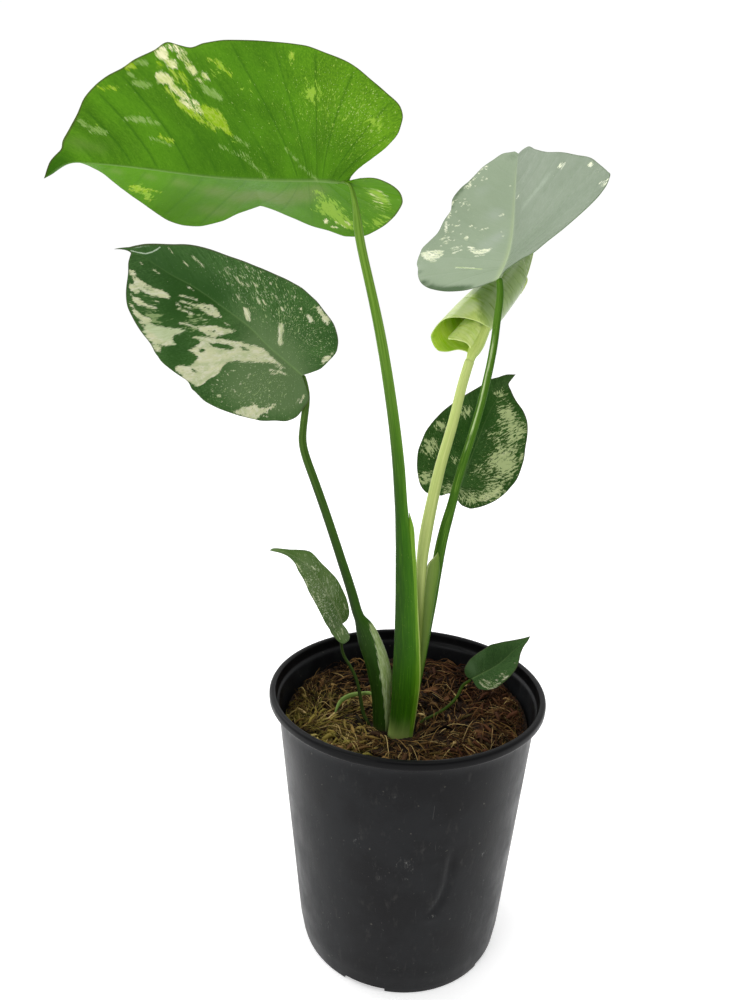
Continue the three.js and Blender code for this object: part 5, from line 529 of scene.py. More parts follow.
            ("stroke", [(37.4, -38.2, 0.41)]),
            ("stroke", [(39, -37.2, 0.42), (39.1, -34.3, 0.42)]),
            ("stroke", [(72.9, -33.6, 0.36)]),
            ("stroke", [(82, -23.2, 0.36)]),
            ("stroke", [(8.5, -25.8, 0.30), (8.5, -15.6, 0.30)]),
            ("stroke", [(84, -35.7, 0.31)]),
            ("stroke", [(62.3, -25.8, 0.36)]),
            ("stroke", [(50.8, -32.5, 0.36), (50.8, -29.6, 0.36)]),
        ],
        "pale": [],
        "marble": [
            (47, -37.3, 8.4, 0.3),
            (27.6, -45.6, 8.4, 0.4),
            (24.3, -16.8, 8.4, 0.3),
        ],
        # painted sheen: grey-green where light reflects off the blade
        "soft": [
            (54.2, -10.2, 7.2, 0.5),
            (77.3, -18.8, 6, 0.4),
            (29.8, -12.7, 7.2, 0.5),
            (37, -6.4, 4.8, 0.5),
            (6.7, -14.5, 8.4, 0.1),
            (78.6, 15.1, 7.2, 0.2),
        ],
        "fleck": [
            (53.4, -38.4, 13.2, 0.5),
            (27.3, -44.4, 14.4, 0.6),
            (74.9, -25.6, 13.2, 0.4),
            (35.2, -18.2, 13.2, 0.4),
            (34.4, 54.7, 9.6, 0.4),
        ],
        "fleck_base": 0.1,
        "line": [
            ("stroke", [(9.5, -26.7, 0.36), (8, -17.7, 0.36), (7.7, -11, 0.36)]),
            ("stroke", [(18.6, -43, 0.30), (16.1, -39.1, 0.30)]),
            ("stroke", [(102.6, -19.1, 0.30), (105.6, -15.3, 0.30)]),
        ],
        "deep": [
            (88.2, -26.6, 2.4, 0.4),
            (84.8, -29.8, 2.4, 0.6),
            (81.1, -31.9, 2.4, 0.7),
            (77.3, -34, 2.4, 0.7),
            (72.6, -35.3, 2.4, 0.7),
            (67.7, -36.1, 2.4, 0.6),
            (60.7, -37.9, 2.1, 0.4),
            (-4.6, -40.2, 3, 0.9),
            (-8.4, -34.5, 3, 1.0),
            (-10, -29.3, 3, 1.0),
            (-10.3, -24.6, 3, 1.0),
            (-9.8, -20.3, 3, 1.0),
            (-8.8, -16.2, 3, 0.8),
            (-7.4, -12.3, 2.4, 0.5),
            (5.4, -46.6, 2.4, 0.5),
            (104.3, -3.5, 6, 0.3),
            (102.2, 5.8, 6, 0.35),
            (21.3, 22.6, 13.2, 0.22),
            (22.3, 35.3, 12, 0.18),
            (20, 8.9, 9.6, 0.2),
        ],
        # painted highlights: light bands across the right half
        "painted_glow": [
            (59.8, 26.2, 3, 0.5),
            (57.4, 22.1, 3, 0.65),
            (55.7, 17.3, 3, 0.7),
            (54, 12.3, 3, 0.6),
            (51.7, 8, 3, 0.5),
            (80, 11.3, 3, 0.35),
            (74.1, 7, 3, 0.4),
            (68.3, 2.6, 3, 0.35),
            (40.6, 33.3, 3, 0.3),
            (37.7, 25.7, 3.6, 0.3),
        ],
    },
    "leaf_5": {
        "cream": [
            ("stroke", [(33.4, 16.1, 0.32), (36.7, 20, 0.32), (40.5, 23.7, 0.32)]),
            ("stroke", [(27, 10.8, 0.37), (30.1, 12.2, 0.37)]),
            ("stroke", [(61.2, 9.7, 0.28), (65.9, 12.1, 0.28)]),
            ("patch", [(4.6, 12.8), (8.5, 16.5), (11.2, 20.6), (14.3, 22), (16.9, 23.7), (13, 23.8), (7.9, 21.9), (4, 18.2), (2.2, 15)]),
            ("patch", [(33.1, 27.8), (39.4, 27.9), (37.5, 29.9), (33.1, 29.7)]),
        ],
        "pale": [],
        "marble": [
            (50.4, 20.1, 14.4, 1.26),
            (62.1, 8.5, 7.8, 0.92),
            (31.1, 15.1, 8.4, 0.85),
            (27.3, 26.2, 9.6, 0.98),
            (10.9, 21.4, 9.6, 1.15),
            (1.3, 8.8, 7.2, 1.1),
            (2.7, -5.1, 8.4, 1.15),
            (22.7, -26, 8.4, 1.3),
            (4, -22.1, 7.2, 1.3),
            (50.6, -13.2, 7.2, 1.15),
            (37.9, -25.3, 6, 1.2),
            (20.2, 6.9, 8.4, 0.85),
            (70.3, -0.9, 5.4, 1.1),
            (42.6, 4.8, 6, 0.65),
            (21, -8.7, 5.4, 1.0),
            (43.9, -4.4, 5.4, -0.1),
        ],
        # painted sheen: grey-green where light reflects off the blade
        "soft": [
            (79.2, -1.5, 6, 0.4),
            (69.5, -4.2, 6, 0.25),
            (57.2, -14.1, 7.2, 0.2),
        ],
        "fleck": [
            (36.3, 15, 18, 0.5),
            (22.2, -22.5, 14.4, 0.5),
            (9, 12.4, 14.4, 0.4),
        ],
        "fleck_base": 0.35,
        "deep": [
            (50, -2.2, 8.4, 0.8),
            (29.7, -3.5, 7.2, 0.8),
            (39.9, -11.5, 6, 0.5),
            (61.3, -6, 6, 0.5),
        ],
    },
    "leaf_6": {
        "cream": [
            ("stroke", [(49.7, -4.3, 0.23), (43.1, -7.4, 0.23)]),
            ("stroke", [(39, -9.1, 0.28), (34.3, -11.2, 0.28)]),
            ("stroke", [(25.1, -8.6, 0.32), (20, -9.9, 0.32)]),
            ("stroke", [(24.1, 0.4, 0.28), (19.9, 0.2, 0.28)]),
            ("stroke", [(7.7, -9.2, 0.32), (2.2, -8.7, 0.32)]),
            ("stroke", [(-2.2, -3.4, 0.28), (-5.4, -6.4, 0.28)]),
            ("stroke", [(-1.2, -9.1, 0.32), (-6.1, -10.7, 0.32)]),
            ("stroke", [(27.8, -3.2, 0.27)]),
            ("stroke", [(43.2, -9.9, 0.23), (38.6, -10.9, 0.23)]),
            ("stroke", [(41, 1.9, 0.28), (37.7, 2.2, 0.28)]),
            ("stroke", [(17.3, -9, 0.28), (13.3, -9.5, 0.28)]),
            ("stroke", [(10.5, 5.6, 0.28), (7.6, 5.3, 0.28)]),
            ("stroke", [(29, -12.3, 0.23), (24.6, -12.7, 0.23)]),
        ],
        "pale": [],
        "marble": [
            (22.3, -8.9, 10.8, 0.45),
            (-3.2, -5.9, 5.4, 1.0),
            (44.1, -8.6, 7.2, 0.4),
            (9.8, -6.4, 6, 0.4),
        ],
        # painted sheen: grey-green where light reflects off the blade
        "soft": [
            (42.3, 1.5, 8.4, 0.4),
            (22.7, 2.6, 8.4, 0.4),
        ],
        "fleck": [
            (22.3, -8.9, 24, 0.75),
        ],
        "fleck_base": 0.6,
        "deep": [
            (15.6, 2.1, 6, 0.3),
            (55.4, 1.7, 7.2, 0.4),
        ],
    },
    "leaf_7": {
        "cream": [
            ("stroke", [(3.4, 4.9, 0.28), (4.9, 8.7, 0.28), (7.8, 11.2, 0.28)]),
            ("stroke", [(10.1, 10.7, 0.28), (14, 10.8, 0.28)]),
            ("stroke", [(6.7, 6.7, 0.23), (8, 9.5, 0.23)]),
            ("stroke", [(13.4, 8.2, 0.27)]),
            ("stroke", [(16.3, 10.1, 0.32), (19.7, 9.7, 0.32)]),
            ("stroke", [(16.1, 6.9, 0.31)]),
            ("stroke", [(6.2, 11.5, 0.32), (11.4, 12.1, 0.32)]),
            ("stroke", [(20.1, 6.9, 0.27)]),
            ("stroke", [(6.5, 4.4, 0.28), (8.4, 7.6, 0.28)]),
            ("stroke", [(17.7, 6.5, 0.28), (18.1, 9.2, 0.28)]),
            ("stroke", [(27.4, 6.3, 0.23)]),
        ],
        "pale": [],
        "marble": [
            (7.2, 8.4, 5.4, 0.88),
            (15.2, 8.6, 5.4, 0.68),
            (2.9, 3.2, 4.2, 0.6),
        ],
        # painted sheen: grey-green where light reflects off the blade
        "soft": [
            (3.3, -8, 4.2, 0.6),
            (11.8, -10.6, 4.8, 0.4),
            (3.5, -3, 3.6, 0.4),
        ],
        "fleck": [
            (10.9, 6.7, 9.6, 0.9),
        ],
        "fleck_base": 0.15,
        "deep": [
            (20, -4.3, 7.2, 0.4),
            (31.9, -1.1, 7.2, 0.4),
        ],
    },
}


ROLL_AXIS = [
    (16.6, 6.5, 366.4), (21.2, 10.5, 371.2), (28.4, 16.5, 378.7), (37.3, 24, 387.8), (46.5, 32, 397.4), (53.3, 38.5, 405.4),
    (57.6, 44, 412.1), (61.3, 49.5, 420), (64.7, 55, 428.3), (68.1, 60, 436.7), (71.1, 64.5, 444.5),
]
ROLL_TAPER = [(-12, 1.02), (0, 1), (15, 0.97), (30, 0.9), (45, 0.8), (55, 0.72), (65, 0.6), (80, 0.46), (105, 0.3)]
ROLL_LOW = [(-375, 24), (-356, 14.8), (-332, 10.6), (-307, 7.6), (-280, 4.2), (-254, 1.3), (-230, -0.5), (-205, -2.6),
            (-190, -6), (-174, -9.6), (-150, -10), (-126, -7.9), (-103, -3.8), (-89, 1), (-67, 1.6), (-35, -1), (-14, -4.4),
            (0, -4.4), (14, -4.4), (40, -4.4), (80, -7), (119, -8.9), (154, -3.5), (200, 1), (260, 6), (320, 11), (380, 17), (430, 28)]
ROLL_HIGH = [(-375, 42), (-367, 50), (-340, 56), (-300, 61), (-240, 67), (-180, 75), (-120, 84), (-60, 94), (0, 103),
             (60, 95), (120, 86), (180, 77), (240, 69), (300, 61), (360, 52), (430, 36)]

WALL = [(0, 61.5), (13.3, 63.7), (153, 76.9), (157, 77.8), (160, 79.2), (165, 79.9)]
NOTCH_ANGLES = [249, 329, 45, 117, 189]
MIX_EDGE = [(0, 145.5), (30, 147), (90, 146), (135, 147), (180, 142.5), (225, 141), (270, 141.5), (305, 139), (325, 136.5), (345, 140.5), (360, 145.5)]


# ----------------------------------------------------------------- helpers
def srgb(r, g, b):
    """A colour given as 0..255 on a screen, as linear light."""
    out = []
    for c in (r, g, b):
        c = c / 255.0
        out.append(c / 12.92 if c <= 0.04045 else ((c + 0.055) / 1.055) ** 2.4)
    return (out[0], out[1], out[2], 1.0)


def unit(v):
    v = np.asarray(v, float)
    n = np.linalg.norm(v, axis=-1, keepdims=True)
    return v / np.where(n < 1e-12, 1.0, n)


def look(tab, x):
    return np.interp(x, [a for a, _ in tab], [b for _, b in tab])


def lattice(i, j, k, seed):
    n = i * 73856093 ^ j * 19349663 ^ k * 83492791 ^ (seed * 40503 + 977)
    n = (n ^ (n >> 13)) & 0x7FFFFFFF
    n = (n * (n * n * 15731 + 789221) + 1376312589) & 0x7FFFFFFF
    return n / float(0x7FFFFFFF)


def noise(p, seed=0):
    """Smooth noise in -1..1 at an (N, 3) array of points."""
    p = np.asarray(p, float)
    base = np.floor(p).astype(np.int64)
    f = p - base
    f = f * f * (3 - 2 * f)
    total = np.zeros(len(p))
    for a in (0, 1):
        fx = f[:, 0] if a else 1 - f[:, 0]
        for b in (0, 1):
            fy = f[:, 1] if b else 1 - f[:, 1]
            for c in (0, 1):
                fz = f[:, 2] if c else 1 - f[:, 2]
                total += fx * fy * fz * lattice(base[:, 0] + a + 4096, base[:, 1] + b + 4096, base[:, 2] + c + 4096, seed)
    return total * 2 - 1


def fractal(p, size, octaves=3, seed=0):
    p = np.asarray(p, float) / size
    total = np.zeros(len(p))
    weight = 0.0
    for k in range(octaves):
        total += noise(p * 2 ** k + 7.31 * k, seed + 11 * k) * 0.5 ** k
        weight += 0.5 ** k
    return total / weight


class Spline:
    """Natural cubic spline through points, run by its real length."""

    def __init__(self, points, samples=600):
        p = np.asarray(points, float)
        t = np.concatenate([[0], np.cumsum(np.linalg.norm(np.diff(p, axis=0), axis=1))])
        n = len(t)
        h = np.diff(t)
        A = np.zeros((n, n))
        r = np.zeros((n, p.shape[1]))
        A[0, 0] = A[-1, -1] = 1
        for i in range(1, n - 1):
            A[i, i - 1], A[i, i], A[i, i + 1] = h[i - 1], 2 * (h[i - 1] + h[i]), h[i]
            r[i] = 6 * ((p[i + 1] - p[i]) / h[i] - (p[i] - p[i - 1]) / h[i - 1])
        self.m = np.linalg.solve(A, r)
        self.t, self.p = t, p
        tt = np.linspace(0, t[-1], samples)
        q = self.value(tt)
        self.tt = tt
        self.a = np.concatenate([[0], np.cumsum(np.linalg.norm(np.diff(q, axis=0), axis=1))])
        self.length = self.a[-1]

    def _at(self, x):
        i = np.clip(np.searchsorted(self.t, x, side="right") - 1, 0, len(self.t) - 2)
        return i, self.t[i + 1] - self.t[i]

    def value(self, x):
        x = np.asarray(x, float)
        i, h = self._at(x)
        a, b = ((self.t[i + 1] - x) / h)[:, None], ((x - self.t[i]) / h)[:, None]
        h = h[:, None]
        return a * self.p[i] + b * self.p[i + 1] + ((a ** 3 - a) * self.m[i] + (b ** 3 - b) * self.m[i + 1]) * h * h / 6

    def slope(self, x):
        x = np.asarray(x, float)
        i, h = self._at(x)
        a, b = ((self.t[i + 1] - x) / h)[:, None], ((x - self.t[i]) / h)[:, None]
        h = h[:, None]
        return (self.p[i + 1] - self.p[i]) / h + ((1 - 3 * a * a) * self.m[i] + (3 * b * b - 1) * self.m[i + 1]) * h / 6

    def at(self, s):
        return self.value(np.interp(s, self.a, self.tt))

    def along(self, s):
        return unit(self.slope(np.interp(s, self.a, self.tt)))


def pchip(t, y, x):
    """Shape-keeping cubic through the rows of y at t."""
    t, y, x = np.asarray(t, float), np.asarray(y, float), np.asarray(x, float)
    h = np.diff(t)[:, None]
    d = np.diff(y, axis=0) / h
    m = np.zeros_like(y)
    w1 = 2 * h[1:] + h[:-1]
    w2 = h[1:] + 2 * h[:-1]
    with np.errstate(divide="ignore", invalid="ignore"):
        inner = (w1 + w2) / (w1 / d[:-1] + w2 / d[1:])
    m[1:-1] = np.where(d[:-1] * d[1:] > 0, inner, 0)
    m[0], m[-1] = d[0], d[-1]
    i = np.clip(np.searchsorted(t, x, side="right") - 1, 0, len(t) - 2)
    hh = (t[i + 1] - t[i])
    s = ((x - t[i]) / hh)[:, None]
    hh = hh[:, None]
    return ((2 * s ** 3 - 3 * s ** 2 + 1) * y[i] + (s ** 3 - 2 * s ** 2 + s) * hh * m[i]
            + (-2 * s ** 3 + 3 * s ** 2) * y[i + 1] + (s ** 3 - s ** 2) * hh * m[i + 1])


def make(name, points, faces, materials, attributes=None, face_material=None, smooth=True):
    """A mesh object from points in millimetres."""
    mesh = bpy.data.meshes.new(name)
    mesh.from_pydata((np.asarray(points, float) * MM).tolist(), [], [list(map(int, f)) for f in faces])
    for key, values in (attributes or {}).items():
        values = np.asarray(values, np.float32)
        if values.ndim == 1:
            mesh.attributes.new(key, "FLOAT", "POINT").data.foreach_set("value", values)
        else:
            mesh.attributes.new(key, "FLOAT_VECTOR", "POINT").data.foreach_set("vector", values.ravel())
    for m in materials:
        mesh.materials.append(m)
    if face_material is not None:
        mesh.polygons.foreach_set("material_index", np.asarray(face_material, np.int32))
    mesh.polygons.foreach_set("use_smooth", np.full(len(mesh.polygons), bool(smooth)))
    mesh.update()
    obj = bpy.data.objects.new(name, mesh)
    bpy.context.scene.collection.objects.link(obj)
    return obj


def quads(index, flip=False):
    """Faces of a grid of vertex numbers; quads whose corners coincide become triangles."""
    a, b, c, d = index[:-1, :-1], index[:-1, 1:], index[1:, 1:], index[1:, :-1]
    stack = np.stack([a, b, c, d] if not flip else [a, d, c, b], axis=-1).reshape(-1, 4)
    whole = (stack[:, 0] != stack[:, 1]) & (stack[:, 1] != stack[:, 2]) & (stack[:, 2] != stack[:, 3]) & (stack[:, 3] != stack[:, 0])
    out = stack[whole].tolist()
    for q in stack[~whole].tolist():
        f = [q[k] for k in range(4) if q[k] != q[k - 1]]
        if len(set(f)) == len(f) >= 3:
            out.append(f)
    return out


def grid_normals(g):
    """Unit normals of a grid of points: rows run along, columns across."""
    along = np.gradient(g, axis=0)
    across = np.gradient(g, axis=1)
    return unit(np.cross(across, along))


# ---------------------------------------------------------------- materials
class Net:
    """A node material with one glossy surface shader."""

    def __init__(self, name):
        self.material = bpy.data.materials.new(name)
        self.material.use_nodes = True
        self.tree = self.material.node_tree
        self.tree.nodes.clear()
        out = self.tree.nodes.new("ShaderNodeOutputMaterial")
        self.shader = self.tree.nodes.new("ShaderNodeBsdfPrincipled")
        self.tree.links.new(self.shader.outputs[0], out.inputs[0])

    def put(self, socket, value):
        if isinstance(value, bpy.types.NodeSocket):
            self.tree.links.new(value, socket)
        else:
            socket.default_value = value

    def math(self, kind, a, b=0.0, clamp=False):
        n = self.tree.nodes.new("ShaderNodeMath")
        n.operation = kind
        n.use_clamp = clamp
        self.put(n.inputs[0], a)
        self.put(n.inputs[1], b)
        return n.outputs[0]

    def mix(self, share, a, b, kind="MIX"):
        n = self.tree.nodes.new("ShaderNodeMix")
        n.data_type = "RGBA"
        n.blend_type = kind
        n.clamp_factor = True
        self.put(n.inputs["Factor"], share)
        sockets = [s for s in n.inputs if s.type == "RGBA"]
        self.put(sockets[0], a)
        self.put(sockets[1], b)
        return [s for s in n.outputs if s.type == "RGBA"][0]

    def attribute(self, name, vector=False):
        n = self.tree.nodes.new("ShaderNodeAttribute")
        n.attribute_name = name
        return n.outputs["Vector" if vector else "Fac"]

    def spread(self, vector, x, y, z):
        n = self.tree.nodes.new("ShaderNodeVectorMath")
        n.operation = "MULTIPLY"
        self.put(n.inputs[0], vector)
        n.inputs[1].default_value = (x, y, z)
        return n.outputs[0]

    def shift(self, vector, x, y, z):
        n = self.tree.nodes.new("ShaderNodeVectorMath")
        n.operation = "ADD"
        self.put(n.inputs[0], vector)
        n.inputs[1].default_value = (x, y, z)
        return n.outputs[0]

    def noise(self, vector, scale, detail=2.0, rough=0.5, twist=0.0):
        n = self.tree.nodes.new("ShaderNodeTexNoise")
        self.put(n.inputs["Vector"], vector)
        n.inputs["Scale"].default_value = scale
        n.inputs["Detail"].default_value = detail
        n.inputs["Roughness"].default_value = rough
        n.inputs["Distortion"].default_value = twist
        return n.outputs[0]

    def cells(self, vector, scale, randomness=1.0):
        n = self.tree.nodes.new("ShaderNodeTexVoronoi")
        self.put(n.inputs["Vector"], vector)
        n.inputs["Scale"].default_value = scale
        n.inputs["Randomness"].default_value = randomness
        return n.outputs["Distance"]

    def ramp(self, value, low, high, to_low=0.0, to_high=1.0):
        n = self.tree.nodes.new("ShaderNodeMapRange")
        n.interpolation_type = "SMOOTHSTEP"
        self.put(n.inputs["Value"], value)
        n.inputs["From Min"].default_value = low
        n.inputs["From Max"].default_value = high
        n.inputs["To Min"].default_value = to_low
        n.inputs["To Max"].default_value = to_high
        return n.outputs[0]

    def place(self):
        n = self.tree.nodes.new("ShaderNodeTexCoord")
        return n.outputs["Object"]

    def bump(self, height, strength, distance):
        n = self.tree.nodes.new("ShaderNodeBump")
        n.inputs["Strength"].default_value = strength
        n.inputs["Distance"].default_value = distance
        self.put(n.inputs["Height"], height)
        self.put(self.shader.inputs["Normal"], n.outputs[0])

    def finish(self, colour, roughness, ior=1.45, coat=0.0, coat_roughness=0.3, specular=0.5):
        s = self.shader.inputs
        self.put(s["Base Color"], colour)
        self.put(s["Roughness"], roughness)
        s["IOR"].default_value = ior
        s["Specular IOR Level"].default_value = specular
        s["Coat Weight"].default_value = coat
        s["Coat Roughness"].default_value = coat_roughness
        return self.material


def blade_material(name, look_of, under=False):
    """Leaf skin: greens that run along the side veins, cream variegation, pale midrib and veins."""
    c = look_of
    n = Net(name)
    place = n.attribute("leaf_place", vector=True)   # vein line, distance from midrib, place along: millimetres
    long = n.spread(place, 1.0, 0.3, 1.0)
    wide = n.noise(n.spread(place, 0.5, 0.4, 0.5), 0.10, 3, 0.55)
    streak = n.noise(n.spread(place, 0.9, 0.16, 1.0), 0.5, 4, 0.6)
    thin = n.noise(n.spread(place, 1.8, 0.3, 1.0), 0.8, 3, 0.6)
    grain = n.noise(n.spread(place, 1.0, 0.7, 1.0), 0.9, 4, 0.65)
    green = n.mix(n.ramp(wide, 0.36, 0.64), c["dark"], c["light"])
    green = n.mix(n.math("MULTIPLY", n.ramp(streak, 0.45, 0.68), c.get("streak", 0.3)), green, c["bright"])
    green = n.mix(n.math("MULTIPLY", n.ramp(thin, 0.5, 0.7), c.get("streak", 0.3) * 0.7), green, c["deep"])
    green = n.mix(n.math("MULTIPLY", n.ramp(grain, 0.52, 0.72), 0.25), green, c["bright"])
    mottle = n.noise(n.shift(n.spread(place, 1.4, 0.8, 1.0), 17.0, 4.0, 9.0), 1.3, 4, 0.7)
    green = n.mix(n.math("MULTIPLY", n.ramp(mottle, 0.5, 0.62), c.get("mottle", 0.35)), green, c["bright"])
    green = n.mix(n.math("MULTIPLY", n.ramp(mottle, 0.48, 0.38), c.get("mottle", 0.35)), green, c["deep"])
    # painted light: the glow clouds lighten the green where light shines through the blade and where highlights fall
    green = n.mix(n.ramp(n.math("ADD", n.attribute("painted_glow"), n.math("MULTIPLY", n.math("SUBTRACT", mottle, 0.5), 1.2)), 0.1, 1.0), green, c.get("painted_glow", c["bright"]))
    # painted sheen and shade: one half of the fold tinted with the left colour, the other with the right, for how light
    # falls on each
    if "left" in c:
        green = n.mix(n.math("MULTIPLY", n.attribute("half"), c.get("left_share", 1.0)), green, c["left"])
    if "right" in c:
        green = n.mix(n.math("MULTIPLY", n.math("SUBTRACT", 1.0, n.attribute("half")), c.get("right_share", 1.0)), green, c["right"])
    broken = n.math("MULTIPLY", n.math("SUBTRACT", grain, 0.5), 0.5)
    green = n.mix(n.ramp(n.math("ADD", n.attribute("deep"), broken), 0.0, 1.0), green, c["deep"])
    # painted sheen: grey-green where light reflects off the blade, from the soft clouds
    green = n.mix(n.ramp(n.math("ADD", n.attribute("soft"), n.math("MULTIPLY", n.math("SUBTRACT", streak, 0.5), 0.35)), 0.05, 1.0), green, c["soft"])
    vein = n.attribute("vein")
    green = n.mix(n.math("MULTIPLY", vein, c.get("vein_share", 0.3)), green, c["vein"])
    # marbling: fine broken paleness where the leaf is mottled
    marbling = n.noise(n.shift(n.spread(place, 0.9, 0.42, 1.0), 11.0, 3.0, 5.0), c.get("marble_scale", 0.55), 6, 0.72, 0.5)
    level = n.math("ADD", marbling, n.math("MULTIPLY", n.math("SUBTRACT", n.attribute("marble"), 1.0), 0.30))
    colour = n.mix(n.math("MULTIPLY", n.ramp(level, 0.50, 0.565), c.get("marble_share", 0.85)), green, c["marble"])
    # pale and yellow patches, then the cream ones on top
    teeth = n.math("SUBTRACT", n.noise(n.spread(place, 2.2, 0.36, 1.0), 1.2, 6, 0.78, 0.3), 0.5)
    ragged = n.math("ADD", n.math("MULTIPLY", n.math("SUBTRACT", n.noise(long, 0.62, 6, 0.72, 0.4), 0.5), 0.8), n.math("MULTIPLY", teeth, 1.5))
    amount_of = c.get("ragged", 5.5)
    pale = n.math("ADD", n.attribute("pale"), n.math("MULTIPLY", ragged, amount_of))
    colour = n.mix(n.math("MULTIPLY", n.ramp(pale, -0.18, 0.22), 0.9), colour, n.mix(n.ramp(thin, 0.4, 0.62), c["pale"], c["pale_2"]))
    ragged_2 = n.math("ADD", n.math("SUBTRACT", n.noise(n.shift(long, 5.0, 9.0, 2.0), 0.62, 6, 0.74, 0.4), 0.5), n.math("MULTIPLY", n.math("SUBTRACT", n.noise(n.shift(n.spread(place, 2.0, 0.4, 1.0), 9.0, 2.0, 6.0), 1.2, 5, 0.78), 0.5), 1.2))
    yellow = n.math("ADD", n.attribute("yellow"), n.math("MULTIPLY", ragged_2, amount_of * 1.3))
    colour = n.mix(n.math("MULTIPLY", n.ramp(yellow, -0.25, 0.35), 0.92), colour, n.mix(n.ramp(grain, 0.4, 0.62), c.get("yellow", c["fleck"]), c.get("yellow_2", c["fleck_2"])))
    edge = n.math("ADD", n.attribute("cream"), n.math("MULTIPLY", ragged, amount_of * 0.85))
    cream = n.mix(n.ramp(n.noise(n.spread(place, 0.8, 0.4, 1.0), 0.3, 4, 0.6), 0.36, 0.66), c["cream"], c["cream_2"])
    tint = n.noise(n.spread(place, 0.9, 0.7, 1.0), 0.45, 6, 0.72, 0.3)
    cream = n.mix(n.ramp(tint, 0.44, 0.66), cream, c["cream_3"])
    holes = n.noise(n.shift(n.spread(place, 1.7, 0.42, 1.0), 3.0, 8.0, 1.0), 1.0, 5, 0.72, 0.2)
    low_hole, high_hole, hole_share = c.get("holes", (0.60, 0.66, 0.85))
    whole = n.math("SUBTRACT", 1.0, n.math("MULTIPLY", n.ramp(holes, low_hole, high_hole), hole_share))
    colour = n.mix(n.math("MULTIPLY", n.ramp(edge, -0.2, 0.2), whole), colour, cream)
    # thin pale strokes; on leaf_2 they are a painted highlight along the curled tip
    colour = n.mix(n.ramp(n.math("ADD", n.attribute("line"), n.math("MULTIPLY", teeth, 0.9)), -0.12, 0.16), colour, c.get("line", c["pale_2"]))
    # scattered flecks, long along the veins
    amount = n.attribute("fleck")
    speck = n.noise(n.spread(place, 1.2, 0.55, 1.0), c.get("fleck_scale", 0.85), 2.5, 0.62, 0.3)
    level = n.math("ADD", speck, n.math("MULTIPLY", n.math("SUBTRACT", amount, 1.0), 0.16))
    colour = n.mix(n.math("MULTIPLY", n.ramp(level, 0.625, 0.66), 0.9), colour, c["fleck"])
    speck_2 = n.noise(n.shift(n.spread(place, 2.2, 1.2, 1.0), 31.0, 7.0, 3.0), 0.9, 2, 0.6)
    level_2 = n.math("ADD", speck_2, n.math("MULTIPLY", n.math("SUBTRACT", amount, 1.0), 0.14))
    colour = n.mix(n.math("MULTIPLY", n.ramp(level_2, 0.645, 0.67), 0.8), colour, c["fleck_2"])
    # midrib and margin
    colour = n.mix(n.math("MULTIPLY", n.attribute("rib"), c.get("rib_share", 0.7)), colour, c["rib"])
    colour = n.mix(n.ramp(n.attribute("rim"), 0.2, 0.6, c.get("rim_share", 0.55), 0.0), colour, c["margin"])
    if under:
        colour = n.mix(n.ramp(wide, 0.2, 0.8, c.get("under_share", 0.45) * 0.9, c.get("under_share", 0.45) * 1.1), colour, c["under"])
    base = c["rough"] + (0.10 if under and c.get("under_share", 0.45) > 0 else 0)
    rough = n.ramp(n.noise(place, 0.5, 3, 0.6), 0.3, 0.7, base - 0.05, base + 0.07)
    height = n.math("ADD", n.math("MULTIPLY", thin, 0.5), n.math("MULTIPLY", n.noise(place, 2.2, 2, 0.5), 0.4))
    n.bump(height, 0.2, 0.0005)
    shine = c.get("specular", 0.35)
    return n.finish(colour, rough, specular=shine, coat=c.get("coat", 0.0), coat_roughness=0.36)


